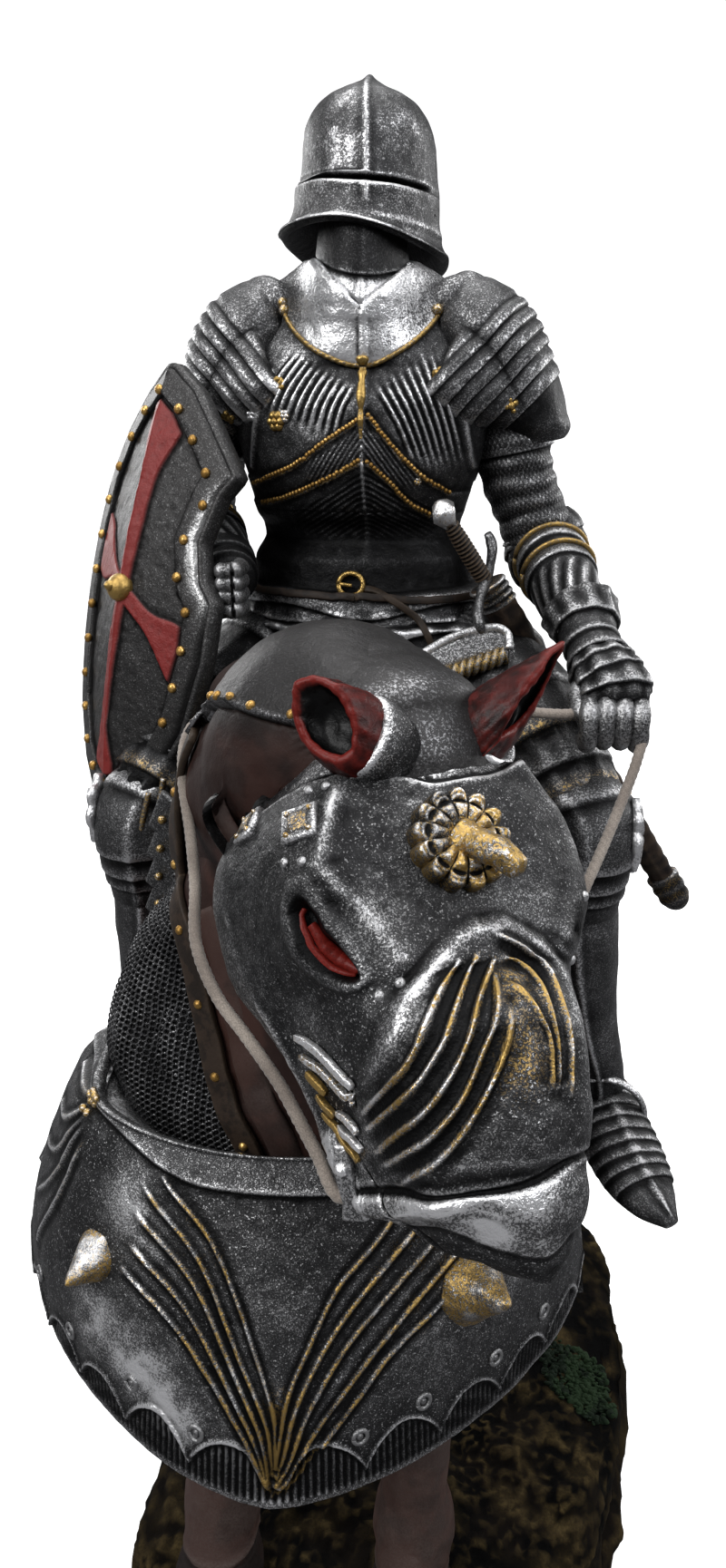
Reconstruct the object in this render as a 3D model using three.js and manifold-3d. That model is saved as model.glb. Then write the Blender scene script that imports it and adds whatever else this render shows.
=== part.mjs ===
import * as THREE from 'three';
import { mergeVertices } from 'three/addons/utils/BufferGeometryUtils.js';
import Module from 'manifold-3d';

const wasm = await Module();
wasm.setup();

// Driving dimensions in millimetres. The figure is modelled above hoof level, facing -Y.
const figureHeight = 279; // hoof level to the point of the helmet
const baseThickness = 28; // underside to hoof level
const baseWidth = 112;
const baseLength = 190;
const baseCentreX = 7;
const baseCentreY = 6;
const baseWaist = 0.93; // how far the rock draws in under its top edge, as a share
const fitGap = 0.3; // air between pieces that touch
const shieldWidth = 44;
const shieldHeight = 80;
const shieldKeel = 7.5; // how far the middle ridge stands out
const shieldWall = 2.4;
const scabbardLength = 92;
const scabbardWidth = 6.4;
const scabbardDepth = 3.6;
const guardSpan = 19;
const reinDiameter = 1.7;
const peytralWall = 3;
const crupperWall = 3;

// The figure's own forms are written at this height and scale with figureHeight.
const modelledHeight = 279;
const scale = figureHeight / modelledHeight;

const place = (x, y, z) => new THREE.Vector3(x, y, z).multiplyScalar(scale);
const mirrored = (stations, middle) => stations.map(([x, ...rest]) => [2 * middle - x, ...rest]);

// A closed surface through rings with the same number of points, closed at both ends by a fan.
function surfaceThrough(rings) {
  const count = rings[0].length;
  const positions = [];
  const faces = [];
  for (const ring of rings) for (const p of ring) positions.push(p.x, p.y, p.z);
  for (let r = 0; r + 1 < rings.length; r++) {
    for (let i = 0; i < count; i++) {
      const j = (i + 1) % count;
      const a = r * count + i;
      const b = r * count + j;
      const c = a + count;
      const d = b + count;
      const shortWay = rings[r][i].distanceTo(rings[r + 1][j]) < rings[r][j].distanceTo(rings[r + 1][i]);
      if (shortWay) faces.push(a, b, d, a, d, c);
      else faces.push(a, b, c, b, d, c);
    }
  }
  for (const [index, flip] of [[0, true], [rings.length - 1, false]]) {
    const middle = rings[index].reduce((sum, p) => sum.add(p), new THREE.Vector3()).divideScalar(count);
    const hub = positions.length / 3;
    positions.push(middle.x, middle.y, middle.z);
    for (let i = 0; i < count; i++) {
      const a = index * count + i;
      const b = index * count + ((i + 1) % count);
      faces.push(...(flip ? [b, a, hub] : [a, b, hub]));
    }
  }
  return solidOf(positions, faces);
}

function signedVolume(positions, faces) {
  const [a, b, c] = [new THREE.Vector3(), new THREE.Vector3(), new THREE.Vector3()];
  let total = 0;
  for (let f = 0; f < faces.length; f += 3) {
    a.fromArray(positions, faces[f] * 3);
    b.fromArray(positions, faces[f + 1] * 3);
    c.fromArray(positions, faces[f + 2] * 3);
    total += a.dot(b.cross(c));
  }
  return total / 6;
}

// Turns points and faces into a solid, with the faces pointing out.
function solidOf(positions, faces) {
  const outward = signedVolume(positions, faces) > 0;
  const turned = [];
  for (let f = 0; f < faces.length; f += 3) {
    turned.push(faces[f], outward ? faces[f + 1] : faces[f + 2], outward ? faces[f + 2] : faces[f + 1]);
  }
  const mesh = new wasm.Mesh({
    numProp: 3,
    vertProperties: new Float32Array(positions),
    triVerts: new Uint32Array(turned),
  });
  return new wasm.Manifold(mesh);
}

function solidFromGeometry(source) {
  const geometry = source.clone();
  geometry.deleteAttribute('normal');
  geometry.deleteAttribute('uv');
  const merged = mergeVertices(geometry, 1e-4);
  return solidOf(Array.from(merged.attributes.position.array), Array.from(merged.index.array));
}

const joined = (solids) => solids.reduce((sum, next) => sum.add(next));

// A block wider than the figure, with one face square to Y at y, lying on the side of direction.
function blockBeyond(y, direction) {
  const reach = figureHeight;
  return solidFromGeometry(new THREE.BoxGeometry(2 * reach, reach, 2 * reach)
    .translate(0, y + (direction * reach) / 2, reach / 2));
}

// One point of a rounded-box outline: roundness 2 is an ellipse, higher is squarer.
function roundedPoint(angle, roundness) {
  const c = Math.cos(angle);
  const s = Math.sin(angle);
  const share = (v) => Math.sign(v) * Math.abs(v) ** (2 / roundness);
  return [share(c), share(s)];
}

// A limb, neck or body: rounded sections square to a path of [x, y, z, halfWidth, halfDepth].
// The depth of each section points along facing. grow makes it fatter and longer on every side.
function limb(stations, { sides = 8, facing = [0, -1, 0], roundness = 2, grow = 0 } = {}) {
  const centres = stations.map(([x, y, z]) => place(x, y, z));
  const last = centres.length - 1;
  const tangentAt = (i) => new THREE.Vector3()
    .subVectors(centres[Math.min(i + 1, last)], centres[Math.max(i - 1, 0)]).normalize();
  const rings = stations.map(([, , , halfWidth, halfDepth], i) => {
    const along = tangentAt(i);
    const deep = new THREE.Vector3(...facing).projectOnPlane(along).normalize();
    const wide = new THREE.Vector3().crossVectors(along, deep);
    const centre = centres[i].clone();
    if (i === 0) centre.addScaledVector(along, -grow);
    if (i === last) centre.addScaledVector(along, grow);
    return Array.from({ length: sides }, (_, k) => {
      const [w, d] = roundedPoint(((k + 0.5) / sides) * 2 * Math.PI, roundness);
      return centre.clone()
        .addScaledVector(wide, w * (halfWidth * scale + grow))
        .addScaledVector(deep, d * (halfDepth * scale + grow));
    });
  });
  return surfaceThrough(rings);
}

// Level rings of [z, halfX, halfY, centreX, centreY]; shape(angle, level) scales each ring's reach
// and lift(angle, level) raises its points, where level runs from 0 at the first ring to 1.
function levelForm(levels, options) {
  const { sides, roundness = () => 2, turned = 0, grow = 0, shape = () => 1, lift = () => 0 } = options;
  const last = levels.length - 1;
  const rings = levels.map(([z, halfX, halfY, centreX = 0, centreY = 0], i) => {
    const end = i === 0 ? -1 : i === last ? 1 : 0;
    const rise = end * grow * Math.sign(levels[last][0] - levels[0][0]);
    return Array.from({ length: sides }, (_, k) => {
      const angle = (k / sides) * 2 * Math.PI;
      const [w, d] = roundedPoint(angle, roundness(i / last));
      const reach = shape(angle, i / last);
      const off = new THREE.Vector2(w * (halfX * reach + grow / scale), d * (halfY * reach + grow / scale));
      off.rotateAround(new THREE.Vector2(), turned);
      const point = place(centreX + off.x, centreY + off.y, z + lift(angle, i / last, off.x));
      return point.setZ(point.z + rise);
    });
  });
  return surfaceThrough(rings);
}

// The horse stands square, with its chest a little to the knight's right of the rider's middle line.
function barrel(grow = 0) {
  return limb([
    [-3, -69, 112, 14, 17],
    [-3, -62, 113, 25, 30],
    [-2, -38, 118, 31, 41],
    [-0.5, -5, 116, 31, 38],
    [0, 28, 118, 31, 37],
    [0, 56, 121, 31, 37],
    [0, 78, 119, 26, 31],
    [0, 91, 117, 12, 17],
  ], { sides: 10, facing: [0, 0, 1], grow });
}

function neck(grow = 0) {
  return limb([
    [-4, -38, 106, 41, 33],
    [-4, -41, 118, 40, 32],
    [-3, -45, 132, 31, 27],
    [-0.5, -50, 145, 25, 24],
    [2.5, -55, 157, 21.5, 21],
    [6, -60, 167, 19.5, 18],
    [10, -66, 176, 18, 15.5],
    [15, -75, 177, 16, 13],
    [19, -82, 174, 12, 11],
  ], { sides: 10, facing: [0, -1, 0.1], grow });
}

// The head hangs from the poll, turned to the knight's left and pitched down.
const headTurn = THREE.MathUtils.degToRad(25);
const headPitch = THREE.MathUtils.degToRad(50);
const poll = new THREE.Vector3(18, -80, 181);
const downFace = new THREE.Vector3(
  Math.cos(headPitch) * Math.sin(headTurn), -Math.cos(headPitch) * Math.cos(headTurn), -Math.sin(headPitch));
const acrossFace = new THREE.Vector3(Math.cos(headTurn), Math.sin(headTurn), 0);
const outOfFace = new THREE.Vector3().crossVectors(downFace, acrossFace).negate();
if (outOfFace.z < 0) outOfFace.negate();

function onHead(down, across, out) {
  return poll.clone()
    .addScaledVector(downFace, down)
    .addScaledVector(acrossFace, across)
    .addScaledVector(outOfFace, out);
}

// How far the jaw swings to the knight's right, as a share of its depth under the forehead.
const jawSwing = 0.11;

// The armoured head: [down, upper half width, lower half width, top, underside] sections.
function head(grow = 0) {
  const sections = [
    [-8, 8, 10, -4, -20],
    [-1, 12.5, 18.5, 1, -25],
    [10, 16, 23.4, 3.5, -26],
    [20, 16, 23, 3, -25],
    [28, 11.5, 20, 2.5, -22],
    [36, 9.8, 17, 5.5, -19],
    [45, 9, 14.8, 4.5, -17],
    [51, 8.2, 13.4, 2, -16],
    [54, 8, 11, 1, -14.5],
    [59, 7, 8.5, -1.5, -12.5],
    [63, 4.5, 5, -5, -10.5],
  ];
  const outline = [
    [-0.55, 1], [0, 1.06], [0.55, 1], [1, 0.84], [1.04, 0.45], [1, 0.1],
    [0.75, 0], [0, -0.04], [-0.75, 0], [-1, 0.1], [-1.04, 0.45], [-1, 0.84],
  ];
  const last = sections.length - 1;
  const rings = sections.map(([down, upper, lower, top, under], i) => {
    const past = i === 0 ? -grow : i === last ? grow : 0;
    return outline.map(([w, h]) => {
      const half = lower + (upper - lower) * h + grow / scale;
      const out = under + h * (top - under) + (h > 0.5 ? grow : -grow) / scale;
      return onHead(down + past / scale, w * half + jawSwing * out, out).multiplyScalar(scale);
    });
  });
  return surfaceThrough(rings);
}

// An ear is a leaf with a hollow front, standing in a short collar.
function ear(root, tip, open) {
  const along = (share, forward = 0) => {
    const p = new THREE.Vector3(...root).lerp(new THREE.Vector3(...tip), share);
    return p.addScaledVector(new THREE.Vector3(...open).normalize(), forward).toArray();
  };
  const leaf = (stations, forward) => limb(
    stations.map(([share, ...halves]) => [...along(share, forward), ...halves]), { sides: 8, facing: open });
  const outer = leaf([
    [-0.35, 5, 5], [0.08, 5.2, 5], [0.12, 4.2, 3.6], [0.45, 4.3, 3.4], [0.75, 3, 2.4], [1, 0.5, 0.5],
  ], 0);
  const cup = leaf([[0.16, 2.6, 2.6], [0.45, 3.3, 2.6], [0.75, 2, 2], [0.93, 0.3, 0.3]], 2.2);
  return outer.subtract(cup);
}

const ears = () => [
  ear([8.6, -82.5, 180.5], [3.2, -79, 193], [0.25, -0.9, 0.15]),
  ear([27.4, -84, 184.5], [36.2, -79, 197.5], [0.9, -0.45, -0.3]),
];

// A horn on a rosette in the middle of the forehead.
function horn() {
  const root = onHead(12.5, 2.2, 2.5);
  const tip = onHead(19, 5.4, 11);
  const rosette = [[0, 6], [2, 6], [2.6, 3]].map(([along, half]) => {
    const p = root.clone().addScaledVector(outOfFace, along);
    return [p.x, p.y, p.z, half, half];
  });
  const middle = root.clone().lerp(tip, 0.5).addScaledVector(outOfFace, 1.2);
  return joined([
    limb(rosette, { sides: 12, facing: downFace.toArray() }),
    limb([[...root.toArray(), 2.6, 2.6], [...middle.toArray(), 2, 2], [...tip.toArray(), 0.9, 0.9]],
      { sides: 6, facing: downFace.toArray() }),
  ]);
}

const foreLegX = 19.6;
const hindLegX = 19;
const foreLegMiddle = -1.8;
const hindLegMiddle = 0;

function legs(grow = 0) {
  const fore = [
    [foreLegX, -47, 104, 12, 15],
    [foreLegX, -50, 82, 10, 12],
    [foreLegX, -53.5, 54, 8.6, 9.2],
    [foreLegX, -54.5, 40, 7, 7.6],
    [foreLegX, -55, 25, 6.6, 7.2],
    [foreLegX, -56, 15, 7.6, 8.2],
    [foreLegX, -58.5, 8, 7.2, 8],
    [foreLegX, -60, 0.4, 9, 10],
  ];
  const hind = [
    [hindLegX, 60, 112, 13, 24],
    [hindLegX, 58, 92, 13, 20],
    [hindLegX, 65, 72, 10, 13],
    [hindLegX, 76, 53, 8, 10.5],
    [hindLegX, 75.4, 36, 6.6, 7.8],
    [hindLegX, 74, 15, 7.4, 8.2],
    [hindLegX, 71, 8, 7.2, 8],
    [hindLegX, 69, 0.4, 9, 10.5],
  ];
  const solids = [];
  for (const [leg, middle] of [[fore, foreLegMiddle], [hind, hindLegMiddle]]) {
    for (const side of [1, -1]) {
      const stations = leg.map(([x, y, z, w, d]) => [middle + side * x, y, z, w, d]);
      solids.push(limb(stations, { sides: 8, facing: [0, -1, 0], grow }));
    }
  }
  return joined(solids);
}

function tail() {
  return limb([
    [0, 76, 130, 9, 9],
    [0, 94, 137, 7, 7],
    [0, 102, 130, 7.5, 6],
    [0, 104, 110, 9, 7],
    [1, 103, 88, 9.5, 7.5],
    [2, 99, 66, 8, 6],
    [2, 96, 48, 3, 2.5],
  ], { sides: 8, facing: [0, -1, 0] });
}

// The chest plate: a bell around the chest that comes to a point in front, turned a little to the
// knight's left, with a wavy edge and two fans of flutes that meet at the point.
const peytralX = -5.5;
const peytralY = -42;
const peytralBack = -45;
const peytralFront = -Math.PI / 2;
const peytralTurn = THREE.MathUtils.degToRad(4.5);

function fromFront(angle) {
  let turn = angle - peytralFront;
  while (turn > Math.PI) turn -= 2 * Math.PI;
  while (turn < -Math.PI) turn += 2 * Math.PI;
  return turn;
}

function peytralForm(inset, drop, fluteDepth, sides, grow = 0) {
  const levels = [
    [117, 41, 33], [112, 45, 37], [98, 50, 44], [82, 53.4, 50], [65, 54, 53.5],
  ].map(([z, halfX, halfY]) => [z - drop, halfX - inset, halfY - inset, peytralX, peytralY]);
  const flutes = 4;
  return levelForm(levels, {
    sides,
    grow,
    turned: peytralTurn,
    roundness: (level) => 2.1 - 0.58 * level,
    shape: (angle, level) => {
      const turn = Math.abs(fromFront(angle));
      const share = turn / (1.05 - 0.85 * level);
      const ripple = share < 1 ? Math.cos(share * flutes * 2 * Math.PI) * (1 - share) : 0;
      return 1 + fluteDepth * ripple * Math.sin(Math.PI * Math.min(level * 1.1, 1));
    },
    lift: (angle, level) => {
      const turn = fromFront(angle);
      const scallop = level > 0.9 ? 1.6 * Math.abs(Math.sin(turn * 6)) : 0;
      return -4 * Math.cos(turn) * (1 - level) + scallop;
    },
  });
}

// The bell before it is hollowed, cut off square behind.
function peytralBell(grow = 0) {
  return peytralForm(0, 0, 0.016, 36, grow).subtract(blockBeyond(peytralBack * scale + grow, 1));
}

function peytral() {
  const hollow = peytralForm(peytralWall, peytralWall, 0, 18);
  const spikes = [
    [[-30, -70, 95], [-36, -83, 93.5]],
    [[23, -70, 103], [29, -83, 102]],
  ].map(([root, tip]) => {
    const middle = root.map((v, i) => v + (tip[i] - v) * 0.45);
    const stations = [[...root, 6.4, 6.4], [...middle, 3.4, 3.4], [...tip, 0.4, 0.4]];
    return limb(stations, { sides: 8, facing: [0, 0, 1] });
  });
  return joined([peytralBell().subtract(hollow), ...spikes]);
}

// The rump plates: a ribbed dome over the croup, open below and in front, falling to the tail.
const crupperX = 0;
const crupperY = 52;
const crupperStart = 30;

function crupperForm(inset, drop, ribDepth, sides) {
  const levels = [
    [163, 10, 12], [160.5, 24, 28], [152, 36, 39], [138, 41, 44.5], [118, 43.6, 47.4], [95, 44.5, 49],
  ].map(([z, halfX, halfY]) => [z - drop, halfX - inset, halfY - inset, crupperX, crupperY]);
  return levelForm(levels, {
    sides,
    roundness: () => 2.15,
    shape: (angle, level) => 1 + ribDepth * Math.cos(angle * sides / 2) * level,
    lift: (angle, level) => {
      const scallop = level > 0.95 ? 2 * Math.abs(Math.sin(angle * 5)) : 0;
      return scallop - 7 * Math.max(0, Math.sin(angle)) * (1 - level);
    },
  });
}

function crupper() {
  const hollow = crupperForm(crupperWall, crupperWall, 0, 16);
  const shell = crupperForm(0, 0, 0.01, 26).subtract(hollow);
  return shell.subtract(blockBeyond(crupperStart * scale, -1));
}

// The neck plates: three overlapping domed lames over the crest.
function crinet(grow = 0) {
  const lames = [
    [[-2, -43, 148, 26.5, 20], [-0.5, -47, 159, 25.5, 20]],
    [[0.5, -50, 155, 23.5, 20], [3.5, -56, 166, 22.5, 19]],
    [[5, -57, 163, 21.5, 19], [8, -62, 172, 20.5, 19], [11, -68, 177.5, 19, 17.5], [14, -75, 177, 17, 15]],
  ];
  return joined(lames.map((stations) => limb(stations, { sides: 10, facing: [0, -1, 0.2], grow })));
}

// The war saddle: a seat on a pad, a tall front plate and a curved back plate.
function saddle(grow = 0) {
  const seat = limb([
    [0, -24, 156, 24, 13],
    [0, -10, 158, 24, 13],
    [0, 8, 158, 24, 13],
    [0, 26, 160, 22, 14],
  ], { sides: 12, facing: [0, 0, 1], grow });
  const front = limb([
    [0, -27, 155, 29, 22],
    [0, -24.5, 159, 30, 26],
    [0, -22, 160, 28, 24],
  ], { sides: 12, facing: [0, 0, 1], grow });
  const back = limb([
    [0, 22, 160, 26, 27],
    [0, 26, 163, 27, 31],
    [0, 30, 164, 25, 30],
  ], { sides: 12, facing: [0, 0, 1], grow });
  const flapMiddle = -1;
  const flaps = [-1, 1].map((side) => limb([
    [flapMiddle + side * 27, 0, 152, 4, 20],
    [flapMiddle + side * 32, -2, 132, 3, 19],
    [flapMiddle + side * 33.5, -3, 112, 2, 16],
    [flapMiddle + side * 33, -3, 104, 1.5, 10],
  ], { sides: 8, facing: [0, -1, 0], grow }));
  return joined([seat, front, back, ...flaps]);
}

function horseSolid() {
  return joined([
    barrel(), neck(), head(), ...ears(), horn(), legs(), tail(),
    peytral(), crupper(), crinet(), saddle(),
  ]);
}

// The rider. Rings of the body run from the seat up to the neck.
function torso(grow = 0) {
  return levelForm([
    [174, 20, 15, 1, 4], [180, 26, 18, 1, 1], [186, 26, 19, 0.5, 0], [187, 24.5, 17.6, 0, 0.5],
    [192, 24, 17.4, -0.3, 0.5], [193, 21.6, 15.6, -0.6, 1], [198, 21, 15, -0.9, 1.2], [202, 19, 13, -1, 2],
    [209, 20.6, 15.4, -0.9, 1], [217, 23, 17.4, -0.6, 0], [225, 24.5, 17.8, -0.3, 0], [233, 25, 15.5, 0, 1],
    [240, 22, 12, -0.4, 2], [245, 17.5, 10.5, -0.8, 1.5], [249, 10.5, 10, -0.6, 0.5],
  ], {
    sides: 14,
    roundness: () => 2.2,
    grow,
    shape: (angle, level) => {
      const keel = Math.max(0, Math.cos(fromFront(angle)));
      return 1 + (level > 0.5 && level < 0.95 ? 0.05 : 0.02) * keel ** 8;
    },
  });
}

// Sallet: a keeled skull, a visor band under the sight, and a flared rim drawn out to a tail.
// It tips a little to the knight's left.
const helmetTip = 0.12;

function helmet() {
  const keel = (angle) => Math.abs(Math.cos(fromFront(angle))) ** 10;
  const rimLift = (angle, level, x) => {
    const front = Math.cos(fromFront(angle));
    const flare = Math.max(0, level - 0.6);
    return flare * (front > 0 ? 5 * front ** 3 : 10 * front) - helmetTip * level * x;
  };
  const skull = levelForm([
    [279, 0.8, 1.6, 0.6, 1], [278, 5, 7, 0.6, 1], [274.8, 9.6, 11.5, 0.5, 1.2],
    [270, 11.6, 14, 0.5, 1.5], [262.4, 12.3, 15.6, 0.4, 2], [262, 12.9, 16.2, 0.3, 2],
    [257.4, 13, 16.6, 0, 2.2], [254.6, 14, 18.6, -0.6, 3.2], [252.8, 15.2, 21.5, -1, 5],
  ], { sides: 16, shape: (angle, level) => 1 + 0.04 * keel(angle) * (1 - 0.6 * level), lift: rimLift });
  const hollow = levelForm([
    [257, 11.4, 14.8, 0, 2.2], [254, 12.8, 17.2, -0.6, 3.2], [246, 14.4, 21.5, -1, 5],
  ], { sides: 16, lift: (angle, level, x) => rimLift(angle, 0.75 + level * 0.25, x) });
  const bevor = levelForm([
    [238, 8, 11, 0, -3], [243, 10.4, 13.6, 0, -2], [249, 9.8, 13, 0, -1.4], [254, 9.4, 12.4, 0, -1],
    [260, 8.6, 11, 0, 0],
  ], { sides: 12, shape: (angle) => 1 + 0.08 * Math.max(0, Math.cos(fromFront(angle))) ** 6 });
  return skull.subtract(hollow).add(bevor);
}

// Overlapping lames from the neck out over the shoulder, each a step under the last.
function pauldron(side) {
  const from = new THREE.Vector3(side * 13, 1, 239);
  const to = new THREE.Vector3(side * 31, 2, 221.5);
  const arch = 5.4;
  const halfWidths = [8, 12.4, 13.6, 12, 8.6];
  const halfDepths = [5, 8.4, 9.4, 8.4, 6.2];
  const step = 0.18;
  const at = (share) => {
    const p = from.clone().lerp(to, share);
    p.z += arch * Math.sin(Math.PI * share);
    return p.toArray();
  };
  const stations = halfWidths.flatMap((wide, i) => {
    const share = i / (halfWidths.length - 1);
    const deep = halfDepths[i];
    const edge = [...at(share), wide, deep];
    return i + 1 < halfWidths.length ? [edge, [...at(share + step), wide + 0.7, deep + 0.7]] : [edge];
  });
  return limb(stations, { sides: 8, facing: [0, 0, 1] });
}

const leftElbow = [36.2, 3, 199.8];
const leftWrist = [42.6, -23, 187];
const leftFist = [47, -35.5, 177.5];
const rightElbow = [-36, 9, 203];
const rightWrist = [-23.5, -18, 197];

function arms() {
  const upright = { sides: 8 };
  const level = { sides: 8, facing: [0, 0, 1] };
  return joined([
    limb([
      [27, 2, 228, 8, 8], [30, 2.5, 214, 7.2, 7.2], [33.4, 3, 206, 6.8, 6.8], [...leftElbow, 6.6, 6.6],
    ], upright),
    limb([[34.6, 3.6, 204.6, 6, 6], [...leftElbow, 8, 8], [37.4, -1.5, 197, 6.4, 6.4]], upright),
    limb([
      [36.6, 2, 199.4, 6.2, 6.2], [38.6, -7, 195.4, 6.8, 6.8], [40.8, -16, 191, 5.8, 5.8],
      [...leftWrist, 5, 5],
    ], level),
    limb([
      [41.4, -18, 190, 6.6, 6.6], [42.6, -23, 187, 4.6, 4.6], [44.4, -28.5, 183.4, 5, 4.4],
      [46, -32.5, 180.2, 5.4, 4.8], [...leftFist, 5, 5], [47.2, -37, 172.6, 4.2, 4.2],
    ], { sides: 8, facing: [0, -1, 0.4] }),
    limb([
      [-27.5, 2, 228, 8, 8], [-32, 5, 217, 7, 7], [-35, 8, 209, 6.4, 6.4], [...rightElbow, 6.6, 6.6],
    ], upright),
    limb([
      [...rightElbow, 6.6, 6.6], [-31, -2, 200.5, 6.6, 6.6], [...rightWrist, 5.2, 5.2],
      [-20.8, -23.5, 195.6, 5.2, 5], [-19.2, -27.5, 194.4, 3.6, 3.6],
    ], level),
  ]);
}

const seatMiddle = 3; // the rider's legs spread evenly about this line

function ridersLegs() {
  const thigh = [
    [12, 4, 182, 13, 14], [25, -8, 176, 13, 13], [36, -22, 165.5, 11, 11.5], [42.6, -31, 157, 9, 9.6],
  ];
  const knee = [[39.6, -27, 160.5, 8.4, 8.6], [43, -33.5, 156, 10, 9.6], [43.4, -33.8, 149.5, 8.4, 8.6]];
  const greave = [
    [42.4, -30.5, 156, 8.4, 9], [42.6, -30, 144, 7.8, 8.8], [43.8, -27, 130, 7.6, 9.4],
    [47, -24, 112, 5.8, 7.2], [50.4, -22.5, 99, 4.8, 5.6], [50.6, -21, 91, 5.4, 6.4],
  ];
  const foot = [
    [49.4, -15.5, 91.5, 4.6, 4.6], [51.2, -23, 92.5, 6.4, 5.6], [54.2, -32, 91.5, 7.2, 5],
    [57.6, -41, 88.4, 6.8, 4], [62.2, -48, 86.6, 2.8, 1.4],
  ];
  const leg = [
    [thigh, [0, 0, 1]], [knee, [0, -1, 0]], [greave, [0, -1, 0]], [foot, [0, 0, 1]],
  ];
  const solids = leg.flatMap(([stations, facing]) => [
    limb(stations, { sides: 8, facing }),
    limb(mirrored(stations, seatMiddle), { sides: 8, facing }),
  ]);
  return joined(solids);
}

// The shield stands against the right forearm, bowed and keeled down its middle, with a notch
// for the lance in its inner edge.
const shieldBoss = new THREE.Vector3(-41.2, -25, 194);
const shieldUp = new THREE.Vector3(0.16, 0.187, 0.969).normalize();
const shieldAcross = new THREE.Vector3(0.788, -0.616, 0).projectOnPlane(shieldUp).normalize();
const shieldOut = new THREE.Vector3().crossVectors(shieldAcross, shieldUp).normalize();
const shieldBow = 3.6; // how far the top and foot fall back from the boss

// [height, outer edge, inner edge] as shares of the half height and half width.
const shieldRows = [
  [1, 0.04, 0.04], [0.9, 0.4, 0.3], [0.74, 0.72, 0.56], [0.56, 0.9, 0.84], [0.47, 0.95, 0.74], [0.26, 1, 0.66],
  [0.09, 1, 0.74], [0.01, 1, 0.86], [-0.25, 0.97, 0.86], [-0.58, 0.88, 0.74], [-0.84, 0.64, 0.5],
  [-0.96, 0.36, 0.25], [-1, 0.08, 0.06],
];

function shieldSolid(grow = 0) {
  const halfWidth = (shieldWidth / 2) * scale;
  const halfHeight = (shieldHeight / 2) * scale + grow;
  const at = (w, h, out) => shieldBoss.clone().multiplyScalar(scale)
    .addScaledVector(shieldAcross, w * halfWidth + Math.sign(w) * grow)
    .addScaledVector(shieldUp, h * halfHeight)
    .addScaledVector(shieldOut, out - (shieldKeel * Math.abs(w) + shieldBow * h * h) * scale);
  const wall = shieldWall * scale;
  return surfaceThrough(shieldRows.map(([h, outer, inner]) => [
    at(-outer, h, grow), at(0, h, grow), at(inner, h, grow),
    at(inner, h, -wall - grow), at(0, h, -wall - grow), at(-outer, h, -wall - grow),
  ]));
}

// The sword hangs point down and back from the left hip, in its scabbard.
const swordGuard = new THREE.Vector3(24.8, -15, 195.5);
const swordAlong = new THREE.Vector3(46, 32, -77).normalize();

function swordSolid(grow = 0) {
  const at = (along) => swordGuard.clone().addScaledVector(swordAlong, along);
  const station = (along, w, d) => [...at(along).toArray(), w, d];
  const across = new THREE.Vector3(0.86, -0.1, 0.5).projectOnPlane(swordAlong).normalize();
  const scabbard = limb([
    station(0, scabbardWidth / 2, scabbardDepth / 2),
    station(scabbardLength * 0.5, scabbardWidth / 2, scabbardDepth / 2),
    station(scabbardLength * 0.95, scabbardWidth / 2 - 0.6, scabbardDepth / 2 - 0.2),
    station(scabbardLength, scabbardWidth / 2, scabbardDepth / 2 + 0.2), station(scabbardLength + 2.5, 1, 1),
  ], { sides: 8, facing: [0, -1, 0], grow });
  const grip = limb([station(-13.5, 1.7, 1.7), station(-7, 2, 2), station(1, 1.8, 1.8)], { sides: 8, grow });
  const pommel = limb([
    station(-18.5, 0.8, 0.8), station(-15.6, 3.4, 3.4), station(-12.6, 1.4, 1.4),
  ], { sides: 6, grow });
  const bend = [[-0.5, 3.4, 1.3], [-0.3, 0.6, 1.6], [0, 0, 2], [0.3, -0.6, 1.6], [0.5, -3.4, 1.3]];
  const guard = limb(bend.map(([share, off, half]) => {
    const p = swordGuard.clone().addScaledVector(across, share * guardSpan).addScaledVector(swordAlong, off);
    return [p.x, p.y, p.z, half, half];
  }), { sides: 6, facing: [0, -1, 0], grow });
  return joined([scabbard, grip, pommel, guard]);
}

// The reins are string, so their route is chosen by hand. One goes from the right of the mouth,
// along the cheek and over the neck behind its plates to the left fist, and one straight to it.
const reinRoutes = {
  rein_right_side: [
    [14.7, -105.1, 133], [11.5, -105, 132.4], [8.4, -101.8, 135.5], [5.3, -98.6, 138.4],
    [2.7, -95.9, 140.7], [-0.3, -93.3, 142.9], [-3.4, -90.7, 145], [-8.2, -86.7, 148.1],
    [-12.4, -81.5, 153], [-14.7, -73.5, 159], [-17.3, -66.5, 164.3], [-20.1, -60, 170.6],
    [-21.2, -54, 174.8], [-20.3, -49, 176.8], [-16.6, -45, 177.6], [-11, -42.6, 178.2],
    [-5, -41.8, 179.2], [0, -41.4, 180], [6, -41, 180.2], [12, -40.6, 179.8], [20, -40.2, 178.8],
    [28, -39.6, 177.9], [34, -38.8, 177.2], [39, -37.4, 176.8], [42.2, -36, 177],
    [44.6, -35.4, 177.3],
  ],
  rein_left_side: [
    [35.5, -95.1, 134.1], [35.5, -91.9, 133.6], [34.7, -87.4, 135.1], [34.5, -82.4, 137.8],
    [35.1, -77.6, 140.8], [36.6, -73.4, 145.6], [37.6, -69, 147.8], [39.4, -64, 150.3],
    [42, -58, 154.2], [45.3, -51, 159.6], [48.2, -45, 165.2], [50.4, -40.6, 170.2],
    [51.2, -38.2, 173.6], [50.6, -37.2, 175.2], [49.2, -36.8, 175.8],
  ],
};

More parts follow.
